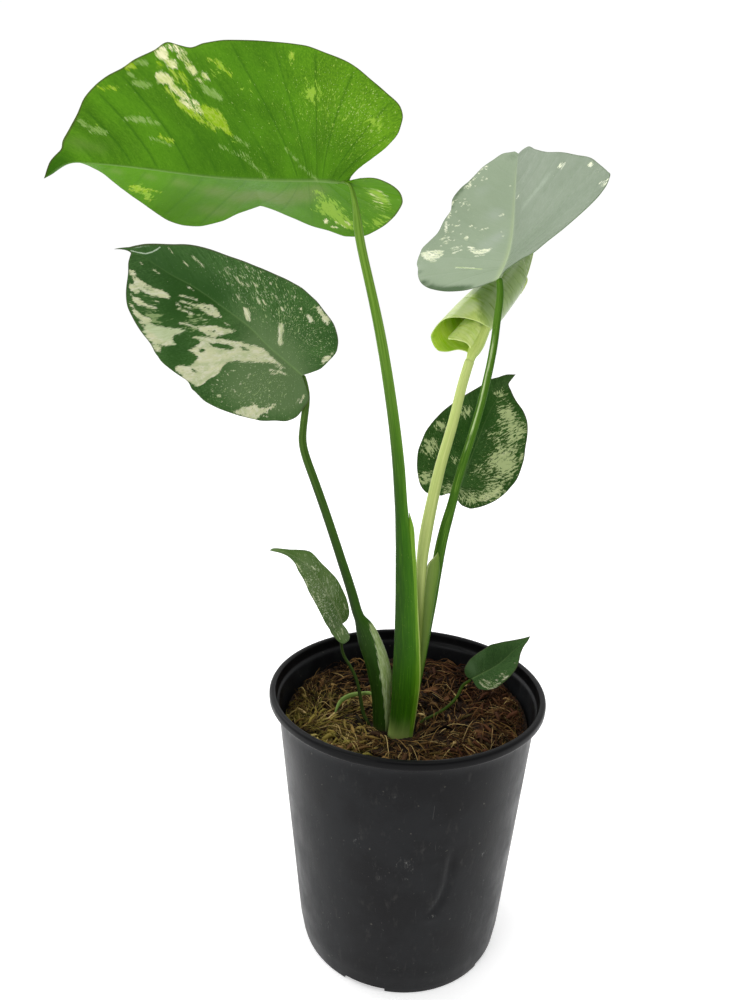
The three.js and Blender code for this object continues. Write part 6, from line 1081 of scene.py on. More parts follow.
def stalk_material(name, c):
    """Stalk skin: long fine streaks, painted shade and light round the stalk, with bands and thin pale lines of its
    sheath; on the third stalk a painted highlight line.
    """
    n = Net(name)
    place = n.attribute("stalk_place", vector=True)   # across, toward the front, height: millimetres
    streak = n.noise(n.spread(place, 0.6, 0.6, 0.022), 1.0, 5, 0.6)
    fine = n.noise(n.spread(place, 2.2, 2.2, 0.05), 1.0, 4, 0.62)
    blotch = n.noise(n.spread(place, 0.35, 0.35, 0.06), 1.0, 3, 0.6)
    # painted shade and light: the side mask, broken by streaks, runs each stalk from its dark colour on one side to its
    # light and side colours on the other
    side = n.attribute("side")
    stray = n.math("ADD", n.math("MULTIPLY", n.math("SUBTRACT", streak, 0.5), 0.55), n.math("MULTIPLY", n.math("SUBTRACT", blotch, 0.5), 0.5))
    round_ = n.math("ADD", side, stray)
    colour = n.mix(n.ramp(round_, c.get("turn_low", -0.95), c.get("turn_high", 0.45)), c["dark"], c["light"])
    colour = n.mix(n.math("MULTIPLY", n.ramp(fine, 0.5, 0.68), c.get("fine_share", 0.35)), colour, c.get("fine", c["side"]))
    colour = n.mix(n.math("MULTIPLY", n.ramp(fine, 0.48, 0.34), c.get("fine_share", 0.35)), colour, c["dark"])
    colour = n.mix(n.ramp(n.math("ADD", n.attribute("rise"), n.math("MULTIPLY", n.math("SUBTRACT", streak, 0.5), 0.5)), 0.05, 0.95), colour,
                   n.mix(n.ramp(n.noise(n.spread(place, 1.8, 1.8, 0.02), 0.9, 3, 0.6), 0.38, 0.62), c["top"], c["top_2"]))
    colour = n.mix(n.ramp(round_, c.get("side_low", 0.1), c.get("side_high", 1.0)), colour, n.mix(n.attribute("rise"), c["side"], c.get("side_top", c["top_2"])))
    band = n.math("ADD", n.attribute("band"), n.math("MULTIPLY", n.math("SUBTRACT", n.noise(n.spread(place, 1.6, 1.6, 0.14), 1.0, 5, 0.66), 0.5), 0.3))
    mottled = n.mix(n.ramp(n.noise(n.spread(place, 1.5, 1.5, 0.16), 1.0, 5, 0.7), 0.4, 0.62), c.get("band", c["pale"]), c.get("band_2", c["pale"]))
    mottled = n.mix(n.math("MULTIPLY", n.ramp(n.noise(n.shift(n.spread(place, 2.2, 2.2, 0.12), 4.0, 9.0, 2.0), 1.0, 4, 0.7), 0.5, 0.66), 0.7), mottled, c.get("band_3", c["light"]))
    colour = n.mix(n.math("MULTIPLY", n.ramp(band, 0.34, 0.62), c.get("band_share", 0.95)), colour, mottled)
    # pale lines: the sheaths' own pale margins, and on the third stalk a painted highlight line
    pale_edge = n.math("ADD", n.attribute("pale"), n.math("MULTIPLY", n.math("SUBTRACT", n.noise(n.spread(place, 1.4, 1.4, 0.08), 1.1, 4, 0.65), 0.5), 0.9))
    colour = n.mix(n.ramp(pale_edge, 0.40, 0.72), colour, c["pale"])
    freckle = n.noise(n.spread(place, 1.0, 1.0, 0.35), 1.7, 2, 0.5)
    colour = n.mix(n.math("MULTIPLY", n.ramp(freckle, 0.68, 0.74), 0.35), colour, c["freckle"])
    low = n.math("ADD", n.attribute("base"), n.math("MULTIPLY", n.math("SUBTRACT", blotch, 0.5), 0.4))
    colour = n.mix(n.math("MULTIPLY", n.ramp(low, 0.0, 1.0), 0.8), colour, c["base"])
    rough = n.ramp(n.noise(place, 0.8, 2, 0.5), 0.3, 0.7, c.get("rough", 0.36) - 0.05, c.get("rough", 0.36) + 0.08)
    n.bump(n.noise(n.spread(place, 1.6, 1.6, 0.06), 1.0, 4, 0.6), 0.14, 0.0005)
    return n.finish(colour, rough, specular=c.get("specular", 0.18))


# -------------------------------------------------------------- flat blades
def segment_reach(U, W, stroke):
    """How far inside a brushed stroke of (along, across, half width) points each place lies."""
    best = np.full(U.shape, -99.0)
    pts = stroke if len(stroke) > 1 else [stroke[0], stroke[0]]
    for (u0, w0, r0), (u1, w1, r1) in zip(pts[:-1], pts[1:]):
        du, dw = u1 - u0, w1 - w0
        q = du * du + dw * dw
        t = np.clip(((U - u0) * du + (W - w0) * dw) / q, 0, 1) if q > 1e-9 else np.zeros(U.shape)
        best = np.maximum(best, r0 + (r1 - r0) * t - np.hypot(U - u0 - t * du, W - w0 - t * dw))
    return best


def patch_reach(U, W, ring):
    """How far inside a closed outline each place lies; negative outside."""
    inside = np.zeros(U.shape, bool)
    near = np.full(U.shape, 99.0)
    n = len(ring)
    for k in range(n):
        (u0, w0), (u1, w1) = ring[k], ring[(k + 1) % n]
        du, dw = u1 - u0, w1 - w0
        q = du * du + dw * dw + 1e-12
        t = np.clip(((U - u0) * du + (W - w0) * dw) / q, 0, 1)
        near = np.minimum(near, np.hypot(U - u0 - t * du, W - w0 - t * dw))
        crosses = ((w0 > W) != (w1 > W)) & (U < (u1 - u0) * (W - w0) / (dw if abs(dw) > 1e-12 else 1e-12) + u0)
        inside ^= crosses
    return np.where(inside, near, -near)


class Blade:
    def __init__(self, spec):
        self.mid = Spline(spec["mid"])
        self.length = self.mid.length
        self.normal = unit(np.array(spec["normal"]))
        self.fold = {-1: spec["fold"][0], 1: spec["fold"][1]}
        self.bend = {-1: spec["bend"][0], 1: spec["bend"][1]}
        self.lobe = None if spec["lobe_tangent"] is None else unit(np.array(spec["lobe_tangent"]))
        self.margin = {-1: np.array(spec["margins"][0], float), 1: np.array(spec["margins"][1], float)}

    def frames(self, u):
        t = self.mid.along(np.clip(u, 0, self.length))
        n = unit(self.normal - t * (t @ self.normal)[:, None])
        return t, n, np.cross(t, n)

    def centre(self, u):
        p = self.mid.at(np.clip(u, 0, self.length))
        start = self.mid.along(np.zeros(1))[0] if self.lobe is None else self.lobe
        end = self.mid.along(np.array([self.length]))[0]
        return p + np.minimum(u, 0)[:, None] * start + np.maximum(u - self.length, 0)[:, None] * end

    def place(self, u, w, side):
        """Points of the blade's middle surface for flat arrays u and w (w not signed)."""
        t, n, b = self.frames(u)
        phi = np.radians(look(self.fold[side], u))[:, None]
        k = self.bend[side]
        x = np.sin(w * k) / k
        y = (1 - np.cos(w * k)) / k
        soft = 0.9
        x_up = np.where(x > 0, np.sqrt(x * x + soft * soft) - soft, x)[:, None]
        x, y = x[:, None], y[:, None]
        return (self.centre(u) + side * b * np.cos(phi) * x + n * np.sin(phi) * x_up
                + (n * np.cos(phi) - side * b * np.sin(phi)) * y)

    def rows(self, count, lean):
        margin, feet = {}, {}
        for side in (-1, 1):
            uw = self.margin[side].copy()
            uw = np.vstack([[0, 0], uw[1:-1], [self.length, 0]])
            d = np.concatenate([[0], np.cumsum(np.linalg.norm(np.diff(uw, axis=0), axis=1))])
            x = np.linspace(0, 1, count)
            x = 0.35 * 0.5 * (1 - np.cos(np.pi * x)) + 0.65 * x
            um = pchip(d / d[-1], uw, x)
            foot = np.maximum.accumulate(np.maximum(um[:, 0] - lean * um[:, 1], 0))
            foot[-1] = self.length
            step = 0.006 * self.length * 24 / count
            for i in range(1, count):
                foot[i] = max(foot[i], foot[i - 1] + step)
            foot[0] = 0
            foot *= self.length / foot[-1]
            margin[side], feet[side] = um, foot
        foot = 0.5 * (feet[-1] + feet[1])
        x = np.linspace(0, 1, count)
        foot = 0.65 * foot + 0.35 * self.length * x ** 1.6
        foot[0], foot[-1] = 0, self.length
        kernel = np.array([1, 4, 6, 4, 1]) / 16.0
        for _ in range(6):
            foot[2:-2] = np.convolve(foot, kernel, "valid")
        least = 0.0045 * self.length * 24 / count
        for i in range(2, count // 2):
            for _ in range(200):
                crossed = False
                for side in (-1, 1):
                    a, b = margin[side][i - 1], margin[side][i]
                    if min(a[1], b[1]) <= 0.05:
                        continue
                    w = np.linspace(0.1, min(a[1], b[1]), 9)
                    before = foot[i - 1] + (a[0] - foot[i - 1]) * (w / a[1]) ** 1.3
                    now = foot[i] + (b[0] - foot[i]) * (w / b[1]) ** 1.3
                    crossed |= bool(np.any(now < before + 0.004))
                if not crossed:
                    break
                foot[i] += 0.03
            foot[i + 1] = max(foot[i + 1], foot[i] + least)
        return foot, margin


def blade_piece(name, rows, outer, looks, rib_top, rib_tip=0.35, wave=0.5, quilt=0.22, vein_gap=9.0, seed=1,
                thick=0.26, groove=0.3, lean=0.8, rib_width=0.55, rib_fade=0.5, vein_low=None):
    spec = BLADES[name]
    blade = Blade(spec)
    foot, margin = blade.rows(rows, lean)
    near = np.array([0, 0.16, 0.36, 0.62, 0.95, 1.4, 2.0])
    columns = []
    for side in (-1, 1):
        um = margin[side]
        wide = np.maximum(np.maximum(np.abs(um[:, 1]), 0.7 * np.abs(um[:, 0] - foot)), 1e-3)
        rim = np.minimum(0.9, 0.3 * wide) / wide
        first = near[None, :] * np.minimum(1, wide / 9.0)[:, None] / wide[:, None]
        start = first[:, -1]
        rest = start[:, None] + (1 - rim - start)[:, None] * (np.arange(1, outer + 1) / outer)[None, :] ** 1.06
        last = 1 - rim[:, None] * np.array([0.62, 0.34, 0.14, 0.04, 0.0])[None, :]
        t = np.hstack([first, rest, last])
        U = foot[:, None] + (um[:, 0] - foot)[:, None] * t ** 1.3
        W = um[:, 1][:, None] * t
        P = blade.place(U.ravel(), W.ravel(), side).reshape(U.shape + (3,))
        columns.append((side, t, U, W, P, wide))
    flip = lambda a: a[:, ::-1]
    (_, tl, Ul, Wl, Pl, wl), (_, tr, Ur, Wr, Pr, wr) = columns
    P = np.concatenate([flip(Pl)[:, :-1], Pr], axis=1)
    U = np.concatenate([flip(Ul)[:, :-1], Ur], axis=1)
    W = np.concatenate([-flip(Wl)[:, :-1], Wr], axis=1)
    T = np.concatenate([-flip(tl)[:, :-1], tr], axis=1)
    wide = np.concatenate([np.repeat(wl[:, None], tl.shape[1] - 1, 1), np.repeat(wr[:, None], tr.shape[1], 1)], axis=1)
    S, C = U.shape
    mid = tl.shape[1] - 1
    F = np.repeat(foot[:, None], C, 1)
    # one number per vein line: its place half way out, in millimetres
    line_of = []
    for Ps in (Pl, Pr):
        edge_way = np.concatenate([[0], np.cumsum(np.linalg.norm(np.diff(Ps[:, -1], axis=0), axis=1))])
        line_of.append(0.42 * foot + 0.58 * edge_way)
    G = np.concatenate([np.repeat(line_of[0][:, None], tl.shape[1] - 1, 1), np.repeat(line_of[1][:, None], tr.shape[1], 1)], axis=1)
    apart = np.abs(T) * wide                     # distance from the midrib
    from_rim = (1 - np.abs(T)) * wide
    N = grid_normals(P)
    N[0] = unit(N[2].mean(0))
    N[1] = unit(N[1] + 2 * N[3])
    N[-1] = unit(N[-3].mean(0))
    for _ in range(2):
        N[1:-1, 1:-1] = unit(N[1:-1, 1:-1] * 2 + N[:-2, 1:-1] + N[2:, 1:-1] + N[1:-1, :-2] + N[1:-1, 2:])
    # side veins, quilting between them and slow waves
    rnd = np.random.RandomState(seed)
    vein = np.zeros((S, C))
    gap_phase = np.zeros((S, C))
    for sign_of, own in ((-1, line_of[0]), (1, line_of[1])):
        cs = np.arange(own[0] + 0.7 * vein_gap, own[-1] - 0.5 * vein_gap, vein_gap)
        cs = cs + rnd.uniform(-0.2, 0.2, len(cs)) * vein_gap
        here = np.sign(T) == sign_of
        for c in cs:
            line = np.exp(-((G - c) / (0.30 + 0.35 * (1 - np.abs(T)))) ** 2)
            vein = np.where(here, np.maximum(vein, line), vein)
        k = np.clip(np.searchsorted(cs, own) - 1, 0, len(cs) - 2)
        ph = np.clip((own - cs[k]) / (cs[k + 1] - cs[k]), 0, 1)
        gap_phase = np.where(here, np.sin(np.pi * ph)[:, None], gap_phase)
    fade = np.clip(apart / 3.0, 0, 1) * np.clip(from_rim / 4.0, 0, 1)
    vein *= fade * (1 if vein_low is None else np.where(T > 0, vein_low, 1.0))
    flat = np.stack([U, W, np.zeros_like(U)], -1).reshape(-1, 3)
    slow = fractal(flat, 34.0, 2, seed).reshape(S, C)
    small = fractal(flat * np.array([1.0, 0.5, 1.0]), 7.0, 2, seed + 5).reshape(S, C)
    t2 = np.abs(T) ** 2
    lift = quilt * gap_phase * fade * (0.3 + 0.7 * t2) - 0.10 * vein + wave * slow * t2 + 0.06 * small * fade
    ends = np.clip(np.minimum(F, blade.length - F) / 6.0, 0, 1)
    lift = lift * ends
    P = P + N * lift[..., None]
    # thickness, rounded at the rim; a rib under the midrib and a groove over it
    body = thick * (1.15 - 0.35 * np.abs(T))
    body = body * np.minimum(1, wide / 1.2)
    over = np.clip(from_rim / 0.45, 0, 1)
    half = body * np.sqrt(np.clip(1 - (1 - over) ** 2, 0, 1))
    share = np.clip(F / blade.length, 0, 1)
    rib = rib_top + (rib_tip - rib_top) * share ** 0.7
    rib_under = np.sqrt(np.clip(rib ** 2 - apart ** 2, 0, None)) * 1.05 * np.clip(F / 1.5, 0, 1) * np.clip((blade.length - F) / 3, 0, 1)
    dip = groove * (1 - share) ** 0.5 * np.exp(-(apart / 0.7) ** 2)
    side_rib = 0.10 * vein
    top = P + N * (half - dip)[..., None]
    under = P - N * (half + np.maximum(rib_under, 0) + side_rib)[..., None]
    keep = half <= 1e-9
    under[keep] = top[keep]
    # vertex numbers: rim columns and pinched end rows are shared
    top_index = np.arange(S * C).reshape(S, C)
    under_index = top_index + S * C
    under_index[:, 0] = top_index[:, 0]
    under_index[:, -1] = top_index[:, -1]
    for r in (0, S - 1):
        top_index[r, :] = top_index[r, 0]
        under_index[r, :] = top_index[r, 0]
    points = np.concatenate([top.reshape(-1, 3), under.reshape(-1, 3)])
    upper = quads(top_index)
    lower = quads(under_index, flip=True)
    rib_mask = np.exp(-(apart / (rib_width * (0.55 + 0.9 * (1 - share) ** 1.5))) ** 2)
    rib_mask *= np.clip((blade.length - F) / (0.25 * blade.length), 0, 1) ** 0.7 * (rib_fade + (1 - rib_fade) * (1 - share) ** 2)
    marks = MARKS.get(name, {})

    def layer(key, start):
        out = np.full((S, C), start)
        for kind, shape in marks.get(key, []):
            out = np.maximum(out, patch_reach(U, W, shape) if kind == "patch" else segment_reach(U, W, shape))
        for kind, shape in marks.get(key + "_cut", []):
            out = np.minimum(out, -(patch_reach(U, W, shape) if kind == "patch" else segment_reach(U, W, shape)))
        return out

    def cloud(key):
        """A soft field from round clouds of (along, across, radius, strength)."""
        out = np.full((S, C), float(marks.get(key + "_base", 0.0)))
        for u0, w0, r, s in marks.get(key, []):
            out = out + s * np.exp(-(((U - u0) ** 2 + (W - w0) ** 2) / r ** 2))
        return np.clip(out, -1, 1.6)

    fields = {
        "leaf_place": np.stack([G, np.abs(W) * 1.0 + np.where(T < 0, 400.0, 0.0), U * 0.02], -1),
        "yellow": np.clip(layer("yellow", -9.0), -9, 9),
        "marble": cloud("marble"),
        "deep": cloud("deep"),
        "cream": np.clip(layer("cream", -9.0), -9, 9),
        "pale": np.clip(layer("pale", -9.0), -9, 9),
        # soft: painted sheen; glow (below): painted light and highlights
        "soft": cloud("soft"),
        "fleck": cloud("fleck"),
        "painted_glow": cloud("painted_glow"),
        "line": np.clip(layer("line", -9.0), -9, 9),
        # half: which side of the fold, for the painted sheen and shade tints
        "half": np.clip(0.5 - T * wide / 1.2, 0, 1),
        "vein": vein,
        "rib": rib_mask,
        "rim": from_rim + 0.6 * np.clip(1 - ends * 6, 0, 1),
    }
    data = {}
    for key, v in fields.items():
        v = v.reshape(S * C, -1)
        v = np.concatenate([v, v])
        data[key] = v if v.shape[1] == 3 else v[:, 0]
    flags = [0] * len(upper) + [1] * len(lower)
    faces = upper + lower
    number = np.full(len(points), -1, np.int64)
    seen = np.zeros(len(points), bool)
    for f in faces:
        for v in f:
            seen[v] = True
    number[seen] = np.arange(seen.sum())
    faces = [[number[v] for v in f] for f in faces]
    data = {k: v[seen] for k, v in data.items()}
    obj = make(name + "_blade", points[seen], faces,
               [blade_material(name + "_upper", looks), blade_material(name + "_lower", looks, under=True)],
               data, flags)
    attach(obj, "root")
    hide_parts(name)
    return obj


# ----------------------------------------------------------------- stalks
def stalk_piece(name, colours, sides=36, step=1.3, grooves=(), start=0.0, wing=None, pale_rule=None, band_rule=None, ridges=0.03, seed=3,
                base_z=(141.0, 152.0), rise_z=(260.0, 420.0), piece=None, thin=1.0):
    """A stalk swept along its run with an oval section, lengthwise grooves and fine ridges."""
    run = np.array(RUNS[piece or name], float)
    run[:, 3:5] *= thin
    lead = unit(run[0, :3] - run[1, :3])
    if start:
        run = np.vstack([np.concatenate([run[0, :3] + lead * start, run[0, 3:]]), run])
    path = Spline(run[:, :3], 900)
    d = np.concatenate([[0], np.cumsum(np.linalg.norm(np.diff(run[:, :3], axis=0), axis=1))])
    d = d / d[-1] * path.length
    count = int(path.length / step) + 1
    s = np.linspace(0, path.length, count)
    centre = path.at(s)
    tangent = path.along(s)
    size = pchip(d, run[:, 3:5], s)
    across = unit(np.cross(np.array([0, 1.0, 0]), tangent))
    deep = np.cross(tangent, across)
    angle = np.linspace(0, 2 * np.pi, sides, endpoint=False)
    right = -np.cos(angle)[None, :]
    front = -np.sin(angle)[None, :]
    z = centre[:, 2][:, None]
    radius = np.ones((count, sides))
    for where, width, depth, z_from, z_to in grooves:
        off = np.angle(np.exp(1j * (angle - math.radians(where))))[None, :]
        on = np.clip((z - z_from) / 8.0, 0, 1) * np.clip((z_to - z) / 8.0, 0, 1)
        radius = radius - depth * on * np.exp(-(off / math.radians(width)) ** 2)
    cylinder = np.stack([np.cos(angle)[None, :] * np.ones((count, 1)) * 3, np.sin(angle)[None, :] * np.ones((count, 1)) * 3, s[:, None] * np.ones((1, sides)) * 0.03], -1)
    radius = radius + ridges * fractal(cylinder.reshape(-1, 3) * 2.2, 1.0, 2, seed).reshape(count, sides) * 0.35
    ring = (centre[:, None, :] + across[:, None, :] * (np.cos(angle)[None, :] * size[:, :1] * radius)[..., None]
            + deep[:, None, :] * (np.sin(angle)[None, :] * size[:, 1:2] * radius)[..., None])
    if wing is not None:
        ring = wing(ring, centre, across, deep, angle, size, s)
    points = ring.reshape(-1, 3)
    index = np.arange(count * sides).reshape(count, sides)
    index = np.concatenate([index, index[:, :1]], axis=1)
    faces = quads(index)
    # rounded ends
    extra, extra_s = [], []
    for row, sign in ((0, 1), (count - 1, -1)):
        out = tangent[row] * (-1 if row == 0 else 1)
        previous = index[row]
        m = float(min(size[row]))
        for lat in (25, 50, 72):
            c, h = math.cos(math.radians(lat)), math.sin(math.radians(lat)) * m * (0.8 if row == 0 else 0.3)
            loop = centre[row] + (ring[row] - centre[row]) * c + out * h
            new = len(points) + sum(len(e) for e in extra) + np.arange(sides)
            extra.append(loop)
            extra_s.append(np.full(sides, row))
            new = np.append(new, new[0])
            pair = np.stack([new, previous]) if row == 0 else np.stack([previous, new])
            faces += quads(pair)
            previous = new
        tip = len(points) + sum(len(e) for e in extra)
        extra.append((centre[row] + out * m * (0.8 if row == 0 else 0.3))[None, :])
        extra_s.append(np.array([row]))
        for k in range(sides):
            faces.append([tip, previous[k + 1], previous[k]] if row == 0 else [tip, previous[k], previous[k + 1]])
    all_points = np.concatenate([points] + extra)
    rows_of = np.concatenate([np.repeat(np.arange(count), sides)] + extra_s).astype(int)
    cos_of = np.concatenate([np.tile(np.cos(angle), count)] + [np.tile(np.cos(angle), len(e) // sides) if len(e) >= sides else np.zeros(1) for e in extra])
    sin_of = np.concatenate([np.tile(np.sin(angle), count)] + [np.tile(np.sin(angle), len(e) // sides) if len(e) >= sides else np.zeros(1) for e in extra])
    zz = all_points[:, 2]
    right_of, front_of = -cos_of, -sin_of
    pale = np.zeros(len(all_points)) if pale_rule is None else pale_rule(right_of, front_of, zz)
    data = {
        "stalk_place": np.stack([cos_of * size[rows_of, 0], sin_of * size[rows_of, 1], s[rows_of]], -1),
        # side: carries the painted shade and light round the stalk
        "side": right_of,
        "pale": pale,
        "band": np.zeros(len(all_points)) if band_rule is None else band_rule(right_of, front_of, zz),
        "rise": np.clip((zz - rise_z[0]) / (rise_z[1] - rise_z[0]), 0, 1),
        "base": np.clip((base_z[1] - zz) / (base_z[1] - base_z[0]), 0, 1) ** 1.4,
    }
    obj = make(piece or name + "_skin", all_points, faces, [stalk_material(name + "_skin", colours)], data)
    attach(obj, "root")
    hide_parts(name)
    return obj


# ------------------------------------------------------------- rolled blade
def rolled_piece():
    axis = Spline(ROLL_AXIS, 900)
    view = unit(np.array([0.19, 0.975, -0.115]))

    def frame_at(sv):
        x = np.clip(sv + 7.73, 0, axis.length)
        p, t = axis.at(x), axis.along(x)
        near = unit(-view - t * (t @ -view)[:, None])
        side = np.cross(near, t)
        side = np.where(side[:, :1] > 0, -side, side)
        return p, side, near

    rad = math.pi / 180
    x0, z0 = 11.5 * math.sin(-75 * rad), 11.5 * math.cos(-75 * rad)
    inner_radius = math.hypot(x0 + 4.5, z0)
    inner_start = math.atan2(x0 + 4.5, z0) / rad
    w = np.concatenate([np.linspace(-375, -12, 88), np.linspace(-9, 9, 9), np.linspace(12, 430, 88)])
    rows = 96
    share = np.linspace(0, 1, rows)
    share = np.concatenate([[0, 0.004, 0.010], np.linspace(0.018, 0.982, rows - 6), [0.990, 0.996, 1.0]])
    low, high = look(ROLL_LOW, w), look(ROLL_HIGH, w)
    kernel = np.exp(-np.linspace(-2, 2, 9) ** 2)
    kernel /= kernel.sum()
    pad = lambda a: np.convolve(np.pad(a, 4, mode="edge"), kernel, "valid")
    low, high = pad(low), pad(high)
    W = np.repeat(w[None, :], rows, 0)
    s = low[None, :] + (high - low)[None, :] * share[:, None]
    k = look(ROLL_TAPER, s)
    outer = W <= 0
    t_out = (-75 + W) * rad
    r_out = 11.5 * k + 1.6 * (-W / 360)
    t_in = (inner_start + W) * rad
    r_in = k * look([(0, inner_radius), (90, 7.9), (160, 7.9), (430, 7.2)], W) - 1.6 * np.maximum(W - 160, 0) / 250
    x = np.where(outer, r_out * np.sin(t_out), -4.5 * k + r_in * np.sin(t_in))
    z = np.where(outer, r_out * np.cos(t_out), r_in * np.cos(t_in))
    # soft wrinkles running along the roll
    wr = fractal(np.stack([W.ravel() * 0.12, s.ravel() * 0.25, np.zeros(W.size)], -1), 9.0, 3, 41).reshape(W.shape)
    ln = np.hypot(x, z)
    x, z = x * (1 + 0.16 * wr / np.maximum(ln, 3)), z * (1 + 0.16 * wr / np.maximum(ln, 3))
    p, side, near = frame_at(s.ravel())
    P = (p + side * x.ravel()[:, None] + near * z.ravel()[:, None]).reshape(W.shape + (3,))
    N = grid_normals(P)
    edge_s = np.minimum(share, 1 - share)[:, None] * (high - low)[None, :]
    girth = np.abs(np.gradient(w))[None, :] * rad * 10
    edge_w = np.minimum(np.abs(W + 375), np.abs(430 - W)) * rad * 10
    edge = np.minimum(edge_s, edge_w)
    over = np.clip(edge / 0.5, 0, 1)
    half = 0.27 * np.sqrt(np.clip(1 - (1 - over) ** 2, 0.0, 1))
    rib = np.clip(1.7 - 0.012 * s, 0.5, 2) * np.clip((s + 5) / 4, 0, 1)
    apart = np.abs(W) * rad * 11.5
    ribbing = np.sqrt(np.clip(rib ** 2 - apart ** 2, 0, None)) * 0.55
    # the outer face of the roll is the leaf's underside
    outward = P - (p.reshape(P.shape))
    sign = np.sign((N * outward).sum(-1).mean())
    N = N * sign
    out_side = P + N * (half + ribbing)[..., None]
    in_side = P - N * half[..., None]
    S, C = W.shape
    top_index = np.arange(S * C).reshape(S, C)
    under_index = top_index + S * C
    for sl in ((0, slice(None)), (-1, slice(None)), (slice(None), 0), (slice(None), -1)):
        under_index[sl] = top_index[sl]
    points = np.concatenate([out_side.reshape(-1, 3), in_side.reshape(-1, 3)])
    outer_faces = quads(top_index, flip=sign < 0)
    inner_faces = quads(under_index, flip=sign > 0)
    faces = outer_faces + inner_faces
    flags = [0] * len(outer_faces) + [1] * len(inner_faces)
    seen = np.zeros(len(points), bool)
    for f in faces:
        for v in f:
            seen[v] = True
    number = np.full(len(points), -1)
    number[seen] = np.arange(seen.sum())
    faces = [[number[v] for v in f] for f in faces]
    coords = np.stack([W * rad * 10, s, np.zeros_like(s)], -1).reshape(-1, 3)
    both = lambda a: np.concatenate([a, a])[seen]
    depth = np.clip((W + 40) / 200, 0, 1)
    data = {
        "leaf_place": both(coords),
        "wrap": both(W.ravel()),
        "inner": both(depth.ravel()),
        # painted shadow: where leaf_3 shades the top and right of the roll
        "far": both(np.clip(np.maximum((P[..., 2] - 393) / 16, (P[..., 0] - 28 - 0.25 * (385 - P[..., 2])) / 8), 0, 1).ravel()),
        # painted highlight: a glossy near-white patch on the outer face
        "shine": both(np.exp(-((P[..., 0] - 25) / 10) ** 2 - ((P[..., 2] - 384 - 0.5 * (P[..., 0] - 22)) / 4.5) ** 2).ravel()),
        "rib": both(np.exp(-(apart / 1.1) ** 2).ravel()),
        "rim": both(edge.ravel()),
        "lip": both(np.clip(1 - (s - low[None, :]) / 9.0, 0, 1).ravel()),
    }

    def skin(name, inside):
        n = Net(name)
        place = n.attribute("leaf_place", vector=True)
        streak = n.noise(n.spread(place, 0.06, 0.45, 1), 1.0, 3, 0.55)
        wide = n.noise(place, 0.09, 3, 0.55)
        blot = n.noise(n.shift(place, 7.0, 3.0, 1.0), 0.35, 5, 0.66)
        # far carries the painted shadow of leaf_3 over the roll
        far = n.attribute("far")
        if inside:
            colour = n.mix(n.ramp(wide, 0.36, 0.64), srgb(152, 200, 30), srgb(182, 216, 64))
            colour = n.mix(n.math("MULTIPLY", n.ramp(streak, 0.42, 0.64), 0.35), colour, srgb(206, 226, 110))
            colour = n.mix(n.ramp(n.attribute("wrap"), -150, 60, 0, 0.6), colour, srgb(204, 222, 120))
            colour = n.mix(n.ramp(n.attribute("wrap"), 60, 230, 0, 0.5), colour, srgb(228, 236, 172))
        else:
            colour = n.mix(n.ramp(wide, 0.36, 0.64), srgb(188, 213, 98), srgb(216, 231, 138))
            colour = n.mix(n.math("MULTIPLY", n.ramp(streak, 0.42, 0.64), 0.4), colour, srgb(232, 240, 186))
            colour = n.mix(n.math("MULTIPLY", n.ramp(blot, 0.54, 0.66), 0.45), colour, srgb(160, 194, 70))
            # painted shadow: darker olive where leaf_3 shades the roll, with paler grey-green streaks in it
            painted_shadow = n.math("ADD", far, n.math("MULTIPLY", n.math("SUBTRACT", blot, 0.5), 0.7))
            colour = n.mix(n.ramp(painted_shadow, 0.15, 0.75, 0.0, 0.85), colour, srgb(98, 130, 34))
            colour = n.mix(n.ramp(painted_shadow, 0.6, 1.1, 0.0, 0.8), colour, srgb(84, 114, 34))
            colour = n.mix(n.ramp(n.math("ADD", n.math("MULTIPLY", far, 0.8), n.math("SUBTRACT", streak, 0.5)), 0.5, 0.9, 0.0, 0.35), colour, srgb(160, 184, 120))
            # painted highlight: near-white gloss on the outer face
            colour = n.mix(n.math("MULTIPLY", n.ramp(n.math("ADD", n.attribute("shine"), n.math("SUBTRACT", blot, 0.5)), 0.35, 1.05), 0.6), colour, srgb(236, 243, 200))
            colour = n.mix(n.math("MULTIPLY", n.attribute("lip"), 0.35), colour, srgb(176, 204, 70))
        colour = n.mix(n.math("MULTIPLY", n.attribute("rib"), 0.35), colour, srgb(200, 218, 134))
        colour = n.mix(n.ramp(n.attribute("rim"), 0.1, 0.6, 0.45, 0.0), colour, srgb(214, 224, 160))
        speck = n.noise(n.spread(place, 0.6, 1.2, 1), 0.8, 2, 0.6)
        colour = n.mix(n.math("MULTIPLY", n.ramp(speck, 0.68, 0.74), 0.4), colour, srgb(128, 164, 58))
        n.bump(n.noise(n.spread(place, 0.12, 0.5, 1), 1.0, 3, 0.55), 0.3, 0.0012)
        n.shader.inputs["Subsurface Weight"].default_value = 0.0
        return n.finish(colour, n.ramp(streak, 0.3, 0.7, 0.26, 0.36), coat=0.3, coat_roughness=0.16)

    obj = make("leaf_4_rolled", points[seen], faces, [skin("leaf_4_outer", False), skin("leaf_4_inner", True)], data, flags)
    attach(obj, "root")
    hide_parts("leaf_4")
    return obj


# -------------------------------------------------------------------- pot
def wall_radius(z):
    return look(WALL, z)


